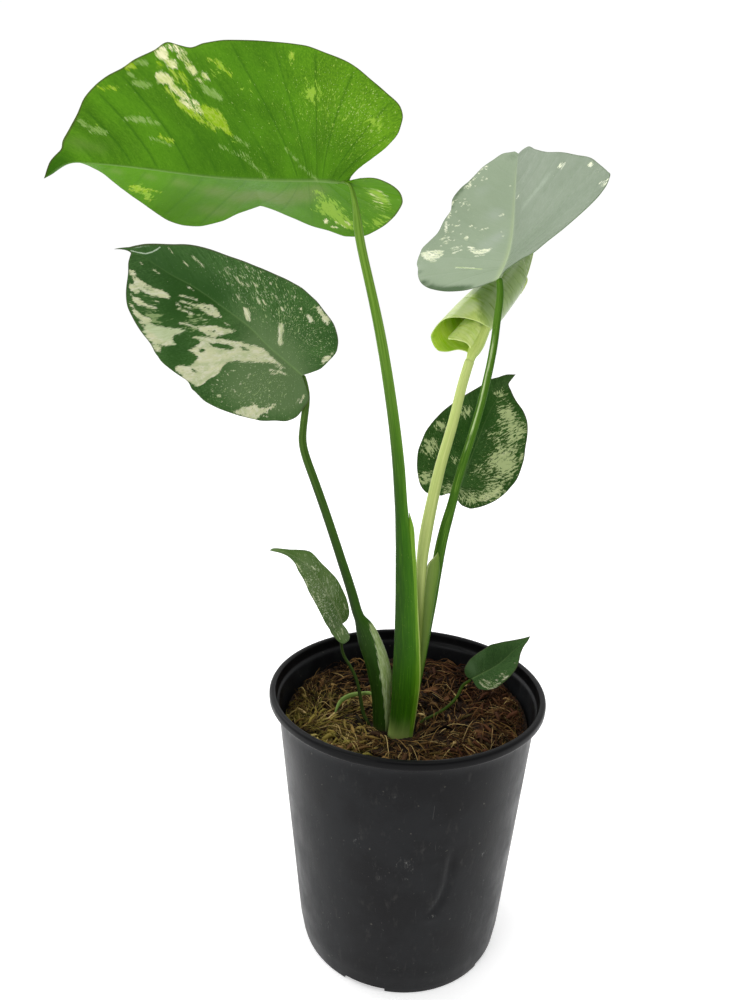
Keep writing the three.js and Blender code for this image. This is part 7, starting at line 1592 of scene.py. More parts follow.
def pot_piece():
    w = 1.3
    profile = [(0.0, 0.0), (11.2, 0), (12, 0.3), (12.4, 1.2), (12.8, 2.5), (13.6, 3), (30, 3), (50, 3), (56.2, 3), (56.9, 2.6), (57.0, 0.5), (57.4, 0),
               (60.4, 0), (61.0, 0.12), (61.4, 0.5), (61.55, 1.1)]
    for z in np.linspace(2.5, 13.3, 5):
        profile.append((float(wall_radius(z)), float(z)))
    for z in np.linspace(17, 151.5, 64):
        profile.append((float(wall_radius(z)), float(z)))
    profile += [(76.95, 153), (77.3, 155), (77.85, 157), (78.6, 158.6), (79.3, 159.6), (80.2, 160.05), (81.6, 160.1), (82.15, 160.35), (82.45, 160.9),
                (82.5, 161.8), (82.5, 163.2), (82.38, 163.9), (82.1, 164.45), (81.6, 164.82), (81.0, 165), (80.0, 165), (79.4, 164.9), (78.95, 164.6),
                (78.7, 164.1), (78.6, 163), (78.3, 160.5), (78.1, 159.0), (77.9, 158.5), (77.4, 158.1), (76.8, 157.6), (76.4, 157.0), (76.1, 155.5)]
    for z in np.linspace(152.5, 13.3, 24):
        profile.append((float(wall_radius(z)) - w, float(z)))
    profile += [(62.0, 9), (61.2, 6.6), (60.2, 5.2), (59, 4.6), (40, 4.5), (20, 4.5), (0.0, 4.5)]
    prof = np.array(profile)
    n = 270
    a = np.linspace(0, 2 * np.pi, n, endpoint=False)
    R, Z = prof[:, 0][:, None], prof[:, 1][:, None]
    x, y = R * np.cos(a)[None, :], R * np.sin(a)[None, :]
    # moulding is never quite round: slow ovality and faint waves of the thin wall
    flat = np.stack([np.cos(a)[None, :] * 3 * np.ones_like(R), np.sin(a)[None, :] * 3 * np.ones_like(R), Z * np.ones_like(a)[None, :] / 42], -1).reshape(-1, 3)
    soft = np.clip(Z / 20, 0, 1) * np.clip((158 - Z) / 12, 0, 1)
    push = 0.14 * fractal(flat, 1.0, 2, 9).reshape(x.shape) * soft
    # one long shallow dent low on the side
    d_a = np.angle(np.exp(1j * (a[None, :] - np.radians(look(DENT_LINE, Z))))) * R
    along_dent = np.clip((Z - 57) / 6, 0, 1) * np.clip((106 - Z) / 12, 0, 1)
    push = push - (1.1 * np.exp(-(d_a / 2.3) ** 2) - 0.3 * np.exp(-((d_a + 3.6) / 1.6) ** 2)) * along_dent * soft
    push = push + 0.45 * np.exp(-((Z - 57) / 2.2) ** 2) * np.exp(-(d_a / 4.0) ** 2) * soft
    x = x + push * np.cos(a)[None, :]
    y = y + push * np.sin(a)[None, :]
    points = np.stack([x, y, Z * np.ones_like(x)], -1)
    index = np.arange(len(prof) * n).reshape(len(prof), n)
    index[0, :] = index[0, 0]
    index[-1, :] = index[-1, 0]
    index = np.concatenate([index, index[:, :1]], axis=1)
    faces = quads(index[:, ::-1])
    pts = points.reshape(-1, 3)
    seen = np.zeros(len(pts), bool)
    for f in faces:
        for v in f:
            seen[v] = True
    number = np.full(len(pts), -1)
    number[seen] = np.arange(seen.sum())
    faces = [[number[v] for v in f] for f in faces]
    n_ = Net("pot_plastic")
    place = n_.place()
    mm = n_.spread(place, 1000, 1000, 1000)
    fine = n_.noise(mm, 0.9, 3, 0.6)
    cloudy = n_.noise(mm, 0.035, 4, 0.6)
    colour = n_.mix(n_.ramp(cloudy, 0.35, 0.65), srgb(15, 15, 17), srgb(24, 25, 27))
    dust = n_.noise(n_.spread(place, 420, 420, 160), 0.5, 5, 0.65)
    colour = n_.mix(n_.math("MULTIPLY", n_.ramp(dust, 0.56, 0.78), 0.30), colour, srgb(66, 65, 62))
    scratch = n_.noise(n_.spread(place, 900, 900, 90), 0.8, 2, 0.5, 0.6)
    colour = n_.mix(n_.math("MULTIPLY", n_.ramp(scratch, 0.73, 0.76), 0.14), colour, srgb(110, 110, 108))
    rubbed = 0.0
    for rx, ry, rz, half_x, half_z, share in RUBBED:
        parts = n_.tree.nodes.new("ShaderNodeVectorMath")
        parts.operation = "LENGTH"
        n_.put(parts.inputs[0], n_.spread(n_.shift(place, -rx * MM, -ry * MM, -rz * MM), 1000 / half_x, 1000 / half_x, 1000 / half_z))
        spot_ = n_.ramp(parts.outputs["Value"], 0.0, 1.6, share, 0.0)
        rubbed = n_.math("MAXIMUM", spot_, rubbed)
    scuff = n_.noise(n_.spread(place, 420, 420, 190), 1.1, 7, 0.8, 0.8)
    mark = n_.math("ADD", scuff, n_.math("MULTIPLY", n_.math("SUBTRACT", rubbed, 1.0), 0.22))
    colour = n_.mix(n_.math("MULTIPLY", n_.ramp(mark, 0.41, 0.54), 0.6), colour, srgb(78, 78, 76))
    colour = n_.mix(n_.math("MULTIPLY", n_.ramp(mark, 0.50, 0.58), 0.6), colour, srgb(140, 140, 136))
    speck = n_.noise(n_.spread(place, 800, 800, 800), 0.55, 2, 0.5)
    colour = n_.mix(n_.math("MULTIPLY", n_.ramp(speck, 0.71, 0.76), 0.3), colour, srgb(104, 100, 90))
    # painted shade: the rim above about 157 mm darkened almost to black
    rim_shade_height = n_.tree.nodes.new("ShaderNodeSeparateXYZ")
    n_.put(rim_shade_height.inputs[0], place)
    colour = n_.mix(n_.ramp(rim_shade_height.outputs["Z"], 0.1572, 0.1592, 0.0, 0.85), colour, srgb(5, 5, 6))
    rough = n_.ramp(n_.math("ADD", n_.math("MULTIPLY", cloudy, 0.6), n_.math("MULTIPLY", dust, 0.4)), 0.35, 0.68, 0.30, 0.46)
    n_.bump(n_.math("ADD", fine, n_.math("MULTIPLY", scratch, 0.5)), 0.12, 0.0003)
    plastic = n_.finish(colour, rough, ior=1.5, specular=0.10)
    obj = make("nursery_pot_shell", pts[seen], faces, [plastic])
    cutters = []
    for angle in NOTCH_ANGLES:
        t = math.radians(angle)
        bpy.ops.mesh.primitive_cube_add(size=1)
        c = bpy.context.object
        c.scale = (0.014, 0.025, 0.0047)
        c.rotation_euler = (0, 0, t)
        c.location = (62.5 * MM * math.cos(t), 62.5 * MM * math.sin(t), 0.00035)
        bevel = c.modifiers.new("round", "BEVEL")
        bevel.width = 0.0006
        bevel.segments = 2
        cutters.append(c)
        bpy.ops.mesh.primitive_cylinder_add(vertices=40, radius=0.006, depth=0.006)
        h = bpy.context.object
        h.location = (45 * MM * math.cos(t), 45 * MM * math.sin(t), 0.0037)
        cutters.append(h)
    for c in cutters:
        b = obj.modifiers.new("cut", "BOOLEAN")
        b.operation = "DIFFERENCE"
        b.solver = "EXACT"
        b.object = c
    bpy.context.view_layer.update()
    depsgraph = bpy.context.evaluated_depsgraph_get()
    done = bpy.data.meshes.new_from_object(obj.evaluated_get(depsgraph))
    obj.modifiers.clear()
    obj.data = done
    for c in cutters:
        bpy.data.objects.remove(c)
    for poly in obj.data.polygons:
        poly.use_smooth = True
    obj.data.set_sharp_from_angle(angle=math.radians(38))
    obj.data.materials.clear()
    obj.data.materials.append(plastic)
    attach(obj, "root")
    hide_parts("nursery_pot")
    return obj


DENT_LINE = [(50, 281.0), (57, 281.2), (62, 282.6), (69.5, 286.2), (79.5, 288.4), (91, 289.0), (110, 289.2)]
# rubbed places on the wall: centre, half width across, half height, share
RUBBED = [(-43.1, -49.7, 35.5, 4.0, 5.0, 0.5), (18.7, -61.4, 18.5, 1.6, 4.0, 0.7), (19.7, -62.4, 32.1, 2.0, 4.0, 0.5), (-32.1, -68.4, 139.1, 5.0, 3.0, 0.4),
          (-27.8, -67.0, 107.5, 2.4, 5.0, 0.6), (43.0, -56.8, 92.8, 4.0, 2.6, 0.8), (36.6, -56.2, 48.7, 5.0, 16.0, 0.45), (-10.9, -65.7, 44.1, 5.0, 5.0, 0.35),
          (-3.9, -64.2, 20.1, 5.0, 4.0, 0.4), (-1.8, -71.5, 96.1, 8.0, 14.0, 0.5), (-15.0, -69.5, 90.8, 10.0, 10.0, 0.35), (14.0, -66.2, 58.6, 3.4, 1.8, 0.8),
          (-9.7, -75.2, 141.0, 8.0, 4.0, 0.4), (8.0, -71.0, 108.0, 10.0, 6.0, 0.3), (-52.0, -44.0, 78.0, 6.0, 12.0, 0.35), (46.0, -52.0, 70.0, 6.0, 10.0, 0.35)]


# -------------------------------------------------------------- potting mix
def mix_top(x, y):
    r = np.hypot(x, y)
    degrees = np.degrees(np.arctan2(y, x)) % 360
    edge = look(MIX_EDGE, degrees)
    far = np.minimum(r / 72, 1)
    lumps = 0.9 * np.sin(0.19 * x + 1.1) * np.cos(0.16 * y - 0.4) + 0.6 * np.sin(0.31 * x - 0.27 * y + 2)
    calm = np.minimum(np.hypot(x + 6, y + 14) / 34, 1)
    return 143.9 + (edge - 143.9) * far * far + lumps * calm * (1 - 0.5 * far)


STEMS = [(-4.7, -21.8, 8.2, 5.4), (-15.5, -15.9, 5.4, 4.2), (0.8, -6.2, 3.6, 3.6), (-1.4, -13.7, 3.7, 3.7), (3.6, -0.6, 2.6, 2.6),
         (-20.8, -12.0, 2.2, 2.2), (5.6, -12.2, 2.0, 2.0), (-13.5, -8.7, 2.2, 1.9)]


def mix_height(x, y):
    """Surface with clods, crumbs and tufts."""
    x, y = np.asarray(x, float), np.asarray(y, float)
    shape = x.shape
    q = np.stack([x.ravel(), y.ravel(), np.zeros(x.size)], -1)
    clods = fractal(q, 9.0, 2, 21)
    crumbs = fractal(q, 3.4, 2, 22)
    grit = fractal(q, 1.3, 2, 23)
    # brushed tufts: noise stretched along a direction that turns slowly
    turn = fractal(q, 26.0, 1, 24) * 2.4 + 0.6
    cx, sx = np.cos(turn), np.sin(turn)
    q2 = np.stack([(q[:, 0] * cx + q[:, 1] * sx) * 0.25, (-q[:, 0] * sx + q[:, 1] * cx) * 1.3, np.zeros(len(q))], -1)
    tuft = fractal(q2, 1.2, 2, 25)
    z = 1.7 * clods + 1.0 * np.abs(crumbs) + 0.35 * grit + 0.3 * tuft
    return mix_top(x, y) + z.reshape(shape)


def mix_pieces():
    rings = np.concatenate([np.linspace(0, 60, 72), np.linspace(60.9, 73.4, 18)])
    n = 300
    a = np.linspace(0, 2 * np.pi, n, endpoint=False)
    X, Y = rings[:, None] * np.cos(a)[None, :], rings[:, None] * np.sin(a)[None, :]
    Z = mix_height(X, Y)
    # keep clear of the wall
    limit = wall_radius(Z) - 1.9
    R = np.hypot(X, Y)
    k = np.where(R > limit, limit / np.maximum(R, 1e-6), 1.0)
    X, Y = X * k, Y * k
    P = [np.stack([X, Y, Z], -1)]
    for z in (134, 120, 90, 50, 14):
        r = float(wall_radius(z)) - 1.3 - 0.35
        P.append(np.stack([r * np.cos(a), r * np.sin(a), np.full(n, float(z))], -1)[None])
    P.append(np.stack([58.4 * np.cos(a), 58.4 * np.sin(a), np.full(n, 4.85)], -1)[None])
    P.append(np.stack([30 * np.cos(a), 30 * np.sin(a), np.full(n, 4.85)], -1)[None])
    P.append(np.stack([0 * a, 0 * a, np.full(n, 4.85)], -1)[None])
    P = np.concatenate(P)
    index = np.arange(P.shape[0] * n).reshape(P.shape[0], n)
    index[0, :] = index[0, 0]
    index[-1, :] = index[-1, 0]
    index = np.concatenate([index, index[:, :1]], axis=1)
    faces = quads(index[:, ::-1], flip=True)
    pts = P.reshape(-1, 3)
    seen = np.zeros(len(pts), bool)
    for f in faces:
        for v in f:
            seen[v] = True
    number = np.full(len(pts), -1)
    number[seen] = np.arange(seen.sum())
    faces = [[number[v] for v in f] for f in faces]
    net = Net("coir_ground")
    place = net.place()
    mm = net.spread(place, 1000, 1000, 1000)
    a1 = net.noise(mm, 0.35, 6, 0.7)
    a2 = net.noise(mm, 1.6, 4, 0.7)
    colour = net.mix(net.ramp(a1, 0.36, 0.64), srgb(16, 10, 7), srgb(50, 35, 22))
    colour = net.mix(net.math("MULTIPLY", net.ramp(a2, 0.52, 0.75), 0.5), colour, srgb(88, 66, 40))
    net.bump(net.math("ADD", a1, a2), 0.7, 0.0012)
    ground = net.finish(colour, net.ramp(a2, 0.3, 0.7, 0.8, 0.95), specular=0.25)
    soil = make("potting_mix_bed", pts[seen], faces, [ground])
    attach(soil, "root")
    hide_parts("potting_mix")

    # coir: loose fibres lying on and sticking out of the bed
    net = Net("coir_fibre")
    tone = net.attribute("tone")
    spot = net.spread(net.place(), 1000, 1000, 1000)
    wobble = net.math("ADD", tone, net.math("MULTIPLY", net.math("SUBTRACT", net.noise(spot, 1.2, 3, 0.6), 0.5), 0.35))
    colour = net.mix(net.ramp(wobble, 0.0, 0.3), srgb(14, 9, 6), srgb(50, 34, 21))
    colour = net.mix(net.ramp(wobble, 0.28, 0.55), colour, srgb(92, 66, 38))
    colour = net.mix(net.ramp(wobble, 0.52, 0.8), colour, srgb(138, 108, 62))
    colour = net.mix(net.ramp(wobble, 0.8, 1.0), colour, srgb(190, 166, 110))
    colour = net.mix(net.math("MULTIPLY", net.ramp(net.attribute("moss"), 0.3, 0.9), 0.55), colour, srgb(148, 140, 60))
    colour = net.mix(net.math("MULTIPLY", net.ramp(net.attribute("rust"), 0.3, 0.9), 0.45), colour, srgb(104, 62, 38))
    net.bump(net.noise(spot, 3.0, 2, 0.5), 0.3, 0.0002)
    fibre = net.finish(colour, net.ramp(net.noise(spot, 0.8, 2, 0.5), 0.3, 0.7, 0.7, 0.9), specular=0.12)

    def strands(name, count, seed, length, radius, lift, sides=3, joints=6, region=None, tone_mid=0.5, spread_tone=0.22, curl=0.9, over=0.0, flat=1.0, tilt=0.0, wander=0.16):
        rnd = np.random.RandomState(seed)
        pts_all, faces_all, tone_all, moss_all, rust_all = [], [], [], [], []
        made, tries, first = 0, 0, 0
        while made < count and tries < count * 4:
            tries += 1
            if region is None:
                r, t = 72.0 * math.sqrt(rnd.rand()), rnd.rand() * 2 * math.pi
                x, y = r * math.cos(t), r * math.sin(t)
            else:
                x, y = region(rnd)
            L = rnd.uniform(*length)
            head = 1.7 * math.sin(0.08 * x + 0.9) + 2.0 * math.cos(0.07 * y - 0.5) + rnd.normal(0, 0.9)
            bend = rnd.normal(0, curl) / joints
            step = L / joints
            xs, ys = [x], [y]
            for k in range(joints):
                head += bend + rnd.normal(0, wander)
                x += step * math.cos(head)
                y += step * math.sin(head)
                xs.append(x)
                ys.append(y)
            xs, ys = np.array(xs), np.array(ys)
            if np.hypot(xs, ys).max() > 73.6:
                continue
            if any((((xs - cx) / ax) ** 2 + ((ys - cy) / ay) ** 2).min() < 1 for cx, cy, ax, ay in STEMS):
                continue
            up = rnd.uniform(*lift)
            tt = np.linspace(0, 1, joints + 1)
            ground_z = mix_top(xs, ys) + LIFT_OVER
            shape = np.sin(np.pi * tt) if rnd.rand() < 0.6 else tt ** 1.4 * 0.8
            zs = ground_z + up * shape + rnd.normal(0, 0.25, joints + 1) + over
            path = np.stack([xs, ys, zs], -1)
            tang = unit(np.gradient(path, axis=0))
            a1_ = unit(np.cross(tang, np.array([0.0, 0, 1.0]) + 1e-3))
            a2_ = np.cross(tang, a1_)
            lean_ = rnd.normal(0, tilt)
            a1_, a2_ = a1_ * math.cos(lean_) + a2_ * math.sin(lean_), (a2_ * math.cos(lean_) - a1_ * math.sin(lean_)) * flat
            rr = rnd.uniform(*radius) * (1 - 0.75 * np.abs(2 * tt - 1) ** 3)
            ang = np.linspace(0, 2 * np.pi, sides, endpoint=False)
            ring = path[:, None, :] + (a1_[:, None, :] * np.cos(ang)[None, :, None] + a2_[:, None, :] * np.sin(ang)[None, :, None]) * rr[:, None, None]
            base = first
            pts_all.append(ring.reshape(-1, 3))
            j = joints + 1
            for i in range(j - 1):
                for s_ in range(sides):
                    p = base + i * sides + s_
                    q = base + i * sides + (s_ + 1) % sides
                    faces_all.append((p, q, q + sides, p + sides))
            faces_all.append(tuple(base + s_ for s_ in range(sides))[::-1])
            faces_all.append(tuple(base + (j - 1) * sides + s_ for s_ in range(sides)))
            first += j * sides
            # painted shade: fibres darker and less olive towards the back, where the pot shades the mix
            painted_back_shade = np.clip((ys.mean() + 10) / 60, 0, 1)
            patch = math.sin(0.12 * x + 1.7) * math.cos(0.15 * y + 0.6) + 0.6 * math.sin(0.26 * x - 0.22 * y)
            tn = rnd.normal(tone_mid - 0.28 * painted_back_shade + 0.15 * patch, spread_tone)
            leftness = np.clip((-xs.mean() - 5) / 45, 0, 1)
            rightness = np.clip((xs.mean() + 5) / 45, 0, 1)
            tone_all.append(np.full(j * sides, np.clip(tn + 0.12 * leftness * (1 - painted_back_shade) - 0.10 * rightness, 0, 1)))
            moss_all.append(np.full(j * sides, np.clip((rnd.rand() * 0.45 + 0.85 * leftness * rnd.rand() + 0.1) * (1 - 0.8 * painted_back_shade), 0, 1)))
            rust_all.append(np.full(j * sides, np.clip(rnd.rand() * 0.55 + 0.7 * rightness * rnd.rand(), 0, 1)))
            made += 1
        obj = make(name, np.concatenate(pts_all), faces_all, [fibre],
                   {"tone": np.concatenate(tone_all), "moss": np.concatenate(moss_all), "rust": np.concatenate(rust_all)}, smooth=True)
        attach(obj, "root")
        return obj

    LIFT_OVER = 0.9
    strands("coir_short", 2200, 5, (5, 14), (0.12, 0.32), (0.3, 3.0), joints=3, tone_mid=0.38, spread_tone=0.36, curl=0.12, wander=0.05)
    strands("coir_long", 900, 6, (8, 22), (0.10, 0.20), (0.6, 3.8), joints=5, tone_mid=0.5, spread_tone=0.36, curl=0.25, wander=0.06)
    strands("coir_chips", 700, 8, (5, 16), (0.5, 1.6), (0.6, 3.6), sides=4, joints=3, tone_mid=0.38, spread_tone=0.3, curl=0.05, flat=0.18, tilt=0.9, wander=0.03, over=0.5)
    strands("coir_straw", 280, 7, (9, 27), (0.12, 0.28), (1.2, 5.0), sides=5, joints=6, tone_mid=0.86, spread_tone=0.12, curl=0.16, over=0.8, wander=0.03)
    strands("coir_tufts", 420, 12, (5, 12), (0.10, 0.2), (2.0, 6.0), joints=4, tone_mid=0.42, spread_tone=0.24, curl=0.4, wander=0.08,
            region=lambda rnd_: (lambda t_, r_: (r_ * math.cos(t_), r_ * math.sin(t_)))(rnd_.choice([math.radians(d_) for d_ in (8, 20, 165, 178, 150, 190, 350)]) + rnd_.normal(0, 0.12), rnd_.uniform(56, 70)))

    # crumbs of bark and dust
    rnd = np.random.RandomState(31)
    pts_all, faces_all, tone_all = [], [], []
    first = 0
    base_ring = np.array([(1, 0, 0), (0.5, 0.86, 0), (-0.5, 0.86, 0), (-1, 0, 0), (-0.5, -0.86, 0), (0.5, -0.86, 0)])
    for k in range(1500):
        r, t = 72.0 * math.sqrt(rnd.rand()), rnd.rand() * 2 * math.pi
        x, y = r * math.cos(t), r * math.sin(t)
        if any(((x - cx) / (ax + 1)) ** 2 + ((y - cy) / (ay + 1)) ** 2 < 1 for cx, cy, ax, ay in STEMS):
            continue
        s_ = rnd.uniform(0.4, 1.3) * (1.6 if rnd.rand() < 0.06 else 1)
        ring = base_ring * rnd.uniform(0.6, 1.2, (6, 1)) * s_
        low_, high_ = ring * 0.8 - [0, 0, 0.35 * s_], ring * rnd.uniform(0.55, 0.85) + [0, 0, 0.35 * s_]
        body = np.vstack([low_, high_])
        rot = Matrix.Rotation(rnd.rand() * 6.28, 3, "Z") @ Matrix.Rotation(rnd.uniform(-0.9, 0.9), 3, "X") @ Matrix.Rotation(rnd.uniform(-0.9, 0.9), 3, "Y")
        body = body @ np.array(rot).T
        z = float(mix_height(np.array([x]), np.array([y]))[0]) + 0.25 * s_
        if np.hypot(x, y) + 1.6 * s_ > 73.8:
            continue
        pts_all.append(body + [x, y, z])
        b = first
        for i in range(6):
            j = (i + 1) % 6
            faces_all.append((b + i, b + j, b + 6 + j, b + 6 + i))
        faces_all.append(tuple(b + i for i in range(6))[::-1])
        faces_all.append(tuple(b + 6 + i for i in range(6)))
        tone_all.append(np.full(12, np.clip(rnd.normal(0.3, 0.22), 0, 1)))
        first += 12
    tones = np.concatenate(tone_all)
    obj = make("bark_crumbs", np.concatenate(pts_all), faces_all, [fibre], {"tone": tones, "moss": tones * 0, "rust": np.clip(tones * 1.2, 0, 1)}, smooth=False)
    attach(obj, "root")

    # flat strips of husk at the front right
    strips = [((21, -57), (44, -49), 2.6, 0.35, 0.28), ((8, -50), (27, -53), 1.3, 0.62, 0.3), ((24, -50), (47, -43), 3.2, 0.22, 0.3), ((36, -58), (53, -46), 1.2, 0.75, 0.9),
              ((30, -46), (40, -54), 1.6, 0.5, 0.8), ((-52, -28), (-38, -40), 1.1, 0.85, 0.6), ((14, 22), (22, 30), 2.2, 0.5, 1.2), ((26, 12), (33, 22), 1.8, 0.42, 0.8)]
    pts_all, faces_all, tone_all = [], [], []
    first = 0
    for (xa, ya), (xb, yb), half_w, tone_, lift_ in strips:
        m, across_n = 22, 7
        tt = np.linspace(0, 1, m)
        cx, cy = xa + (xb - xa) * tt, ya + (yb - ya) * tt
        d_ = unit(np.array([xb - xa, yb - ya]))
        nx, ny = -d_[1], d_[0]
        cx = cx + nx * 1.2 * np.sin(3 * tt + xa)
        cy = cy + ny * 1.2 * np.sin(3 * tt + xa)
        vv = np.linspace(-1, 1, across_n)
        width = half_w * (0.35 + 0.65 * np.sin(np.pi * (0.08 + 0.84 * tt))) * (1 + 0.12 * np.sin(17 * tt + ya))
        X_ = cx[:, None] + nx * vv[None, :] * width[:, None]
        Y_ = cy[:, None] + ny * vv[None, :] * width[:, None]
        Z_ = (mix_top(cx, cy) + 1.5 + lift_ + 0.8 * np.sin(2.5 * tt + xb))[:, None] + 0.35 * half_w * (vv ** 2)[None, :] + 0.12 * np.sin(9 * vv)[None, :]
        upper_ = np.stack([X_, Y_, Z_ + 0.22], -1).reshape(-1, 3)
        lower_ = np.stack([X_, Y_, Z_ - 0.22], -1).reshape(-1, 3)
        idx = np.arange(m * across_n).reshape(m, across_n) + first
        low_idx = idx + m * across_n
        area = (idx[1, 0] - idx[0, 0])
        faces_all += quads(idx) + quads(low_idx, flip=True)
        ring_u = np.concatenate([idx[0, :], idx[1:, -1], idx[-1, -2::-1], idx[-2:0:-1, 0]])
        ring_l = ring_u + m * across_n
        for k in range(len(ring_u)):
            j = (k + 1) % len(ring_u)
            faces_all.append([ring_u[j], ring_u[k], ring_l[k], ring_l[j]])
        pts_all += [upper_, lower_]
        tone_all.append(np.full(2 * m * across_n, tone_))
        first += 2 * m * across_n
    tones = np.concatenate(tone_all)
    obj = make("husk_strips", np.concatenate(pts_all), faces_all, [fibre], {"tone": tones, "moss": tones * 0, "rust": np.full(len(tones), 0.75)})
    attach(obj, "root")


# ------------------------------------------------------------------ looks
# leaf_1: lighter, yellower greens stand in for light shining through the blade (painted backlight); the soft colour is
# painted sheen, the glow colour painted light, and the right tint painted shade on its lower half
BRIGHT = {
    "slot": "bright_leaf", "dark": srgb(66, 112, 16), "light": srgb(80, 132, 20), "bright": srgb(98, 148, 32), "deep": srgb(52, 100, 14),
    "soft": srgb(106, 134, 60), "vein": srgb(48, 94, 14), "vein_share": 0.6, "painted_glow": srgb(112, 160, 30), "line": srgb(176, 196, 120), "mottle": 0.3, "holes": (0.585, 0.64, 0.8), "right": srgb(84, 138, 8), "right_share": 0.5, "pale": srgb(120, 156, 70), "pale_2": srgb(140, 168, 96),
    "yellow": srgb(134, 172, 22), "yellow_2": srgb(160, 184, 70), "marble": srgb(146, 184, 60), "cream": srgb(232, 228, 188), "cream_2": srgb(204, 208, 146), "cream_3": srgb(170, 188, 96),
    "fleck": srgb(140, 172, 66), "fleck_2": srgb(168, 190, 108), "rib": srgb(128, 154, 96), "rib_share": 0.6, "margin": srgb(70, 56, 38),
    "under": srgb(96, 140, 50), "under_share": 0.0, "rough": 0.46, "specular": 0.05, "streak": 0.2, "ragged": 5.0,
}
# the soft colour is painted sheen, and the line colour a painted highlight along leaf_2's curled tip
DARK = {
    "slot": "dark_leaf", "dark": srgb(40, 72, 26), "light": srgb(50, 84, 32), "bright": srgb(68, 102, 50), "deep": srgb(30, 66, 12),
    "soft": srgb(80, 104, 62), "vein": srgb(32, 60, 20), "vein_share": 0.05, "line": srgb(150, 166, 142), "mottle": 0.6, "holes": (0.60, 0.65, 0.8), "pale": srgb(166, 178, 136), "pale_2": srgb(178, 188, 150), "marble": srgb(128, 148, 96),
    "cream": srgb(182, 184, 146), "cream_2": srgb(158, 168, 126), "cream_3": srgb(190, 190, 164), "fleck": srgb(130, 150, 98), "fleck_2": srgb(168, 178, 140), "rib": srgb(104, 132, 76), "rib_share": 0.65,
    "margin": srgb(70, 70, 48), "under": srgb(112, 140, 84), "rough": 0.42, "specular": 0.10, "ragged": 4.2,
}
# leaf_3: grey-green greens stand in for sheen off the blade (painted sheen); the left tint is painted sheen on one
# half, the right tint painted shade on the other, and the glow colour painted highlights
SHEENED_LEAF = {
    "slot": "silver_leaf", "dark": srgb(114, 132, 104), "light": srgb(128, 144, 118), "bright": srgb(136, 152, 126), "deep": srgb(62, 92, 46),
    "soft": srgb(160, 172, 156), "painted_glow": srgb(162, 178, 154), "vein": srgb(142, 156, 132), "vein_share": 0.12, "left": srgb(160, 178, 146), "left_share": 0.5, "right": srgb(92, 110, 82), "right_share": 0.55, "line": srgb(176, 196, 140), "mottle": 0.15, "pale": srgb(170, 186, 140), "pale_2": srgb(184, 196, 156), "marble": srgb(170, 182, 150), "cream": srgb(236, 240, 208),
    "cream_2": srgb(216, 224, 184), "cream_3": srgb(242, 244, 220), "fleck": srgb(170, 182, 144), "fleck_2": srgb(190, 200, 166), "rib": srgb(170, 188, 140), "rib_share": 0.8, "margin": srgb(72, 92, 54),
    "under": srgb(112, 140, 84), "rough": 0.38, "streak": 0.12, "specular": 0.3, "coat": 0.1, "holes": (0.50, 0.57, 0.75), "ragged": 3.6,
}
LEAF_5 = dict(DARK, rib_share=0.35, holes=(0.49, 0.56, 0.85), dark=srgb(34, 62, 18), light=srgb(44, 78, 26), marble_scale=0.95, marble=srgb(171, 184, 130), marble_share=0.95, fleck=srgb(130, 152, 84), fleck_2=srgb(156, 172, 108), fleck_scale=0.9, cream=srgb(196, 202, 156), cream_2=srgb(176, 188, 130), cream_3=srgb(188, 196, 146))
LEAF_6 = dict(SHEENED_LEAF, slot="dark_leaf", left_share=0.0, right_share=0.0, holes=(0.58, 0.64, 0.8), dark=srgb(74, 104, 44), light=srgb(94, 120, 64), bright=srgb(104, 128, 74), deep=srgb(56, 88, 28), soft=srgb(118, 136, 98), marble=srgb(146, 164, 112), cream=srgb(186, 192, 150), cream_3=srgb(176, 186, 140), rib=srgb(140, 156, 110), coat=0.0, specular=0.15)
LEAF_7 = dict(DARK, dark=srgb(50, 80, 38), light=srgb(62, 92, 48), deep=srgb(36, 62, 24), soft=srgb(84, 112, 72), vein_share=0.10)

# In the stalk looks, dark, light and side are the stalk's green as painted shade and painted light on its sides.
GREEN_1 = {"dark": srgb(34, 66, 10), "light": srgb(50, 98, 12), "side": srgb(80, 132, 16), "side_low": 0.25, "side_high": 1.25, "pale": srgb(176, 192, 120), "fine_share": 0.3, "specular": 0.10,
           "top": srgb(86, 124, 34), "top_2": srgb(112, 148, 54), "side_top": srgb(118, 150, 66), "freckle": srgb(120, 150, 60), "base": srgb(150, 170, 92)}
SHEATH_1 = {"dark": srgb(64, 110, 14), "light": srgb(80, 128, 20), "side": srgb(104, 148, 36), "side_low": 0.0, "side_high": 1.0, "side_top": srgb(118, 156, 50), "specular": 0.10, "pale": srgb(170, 192, 96), "fine": srgb(140, 176, 60),
            "top": srgb(96, 142, 32), "top_2": srgb(118, 156, 50), "freckle": srgb(140, 166, 80), "base": srgb(136, 150, 86)}
GREEN_2 = {"specular": 0.10, "dark": srgb(24, 44, 8), "light": srgb(42, 74, 16), "side": srgb(54, 90, 24), "side_low": 0.1, "side_high": 1.1, "pale": srgb(164, 178, 136), "fine_share": 0.3,
           "band": srgb(146, 168, 100), "band_2": srgb(186, 202, 152), "band_3": srgb(100, 134, 58),
           "top": srgb(50, 78, 20), "top_2": srgb(72, 100, 36), "freckle": srgb(120, 146, 76), "base": srgb(70, 70, 40)}
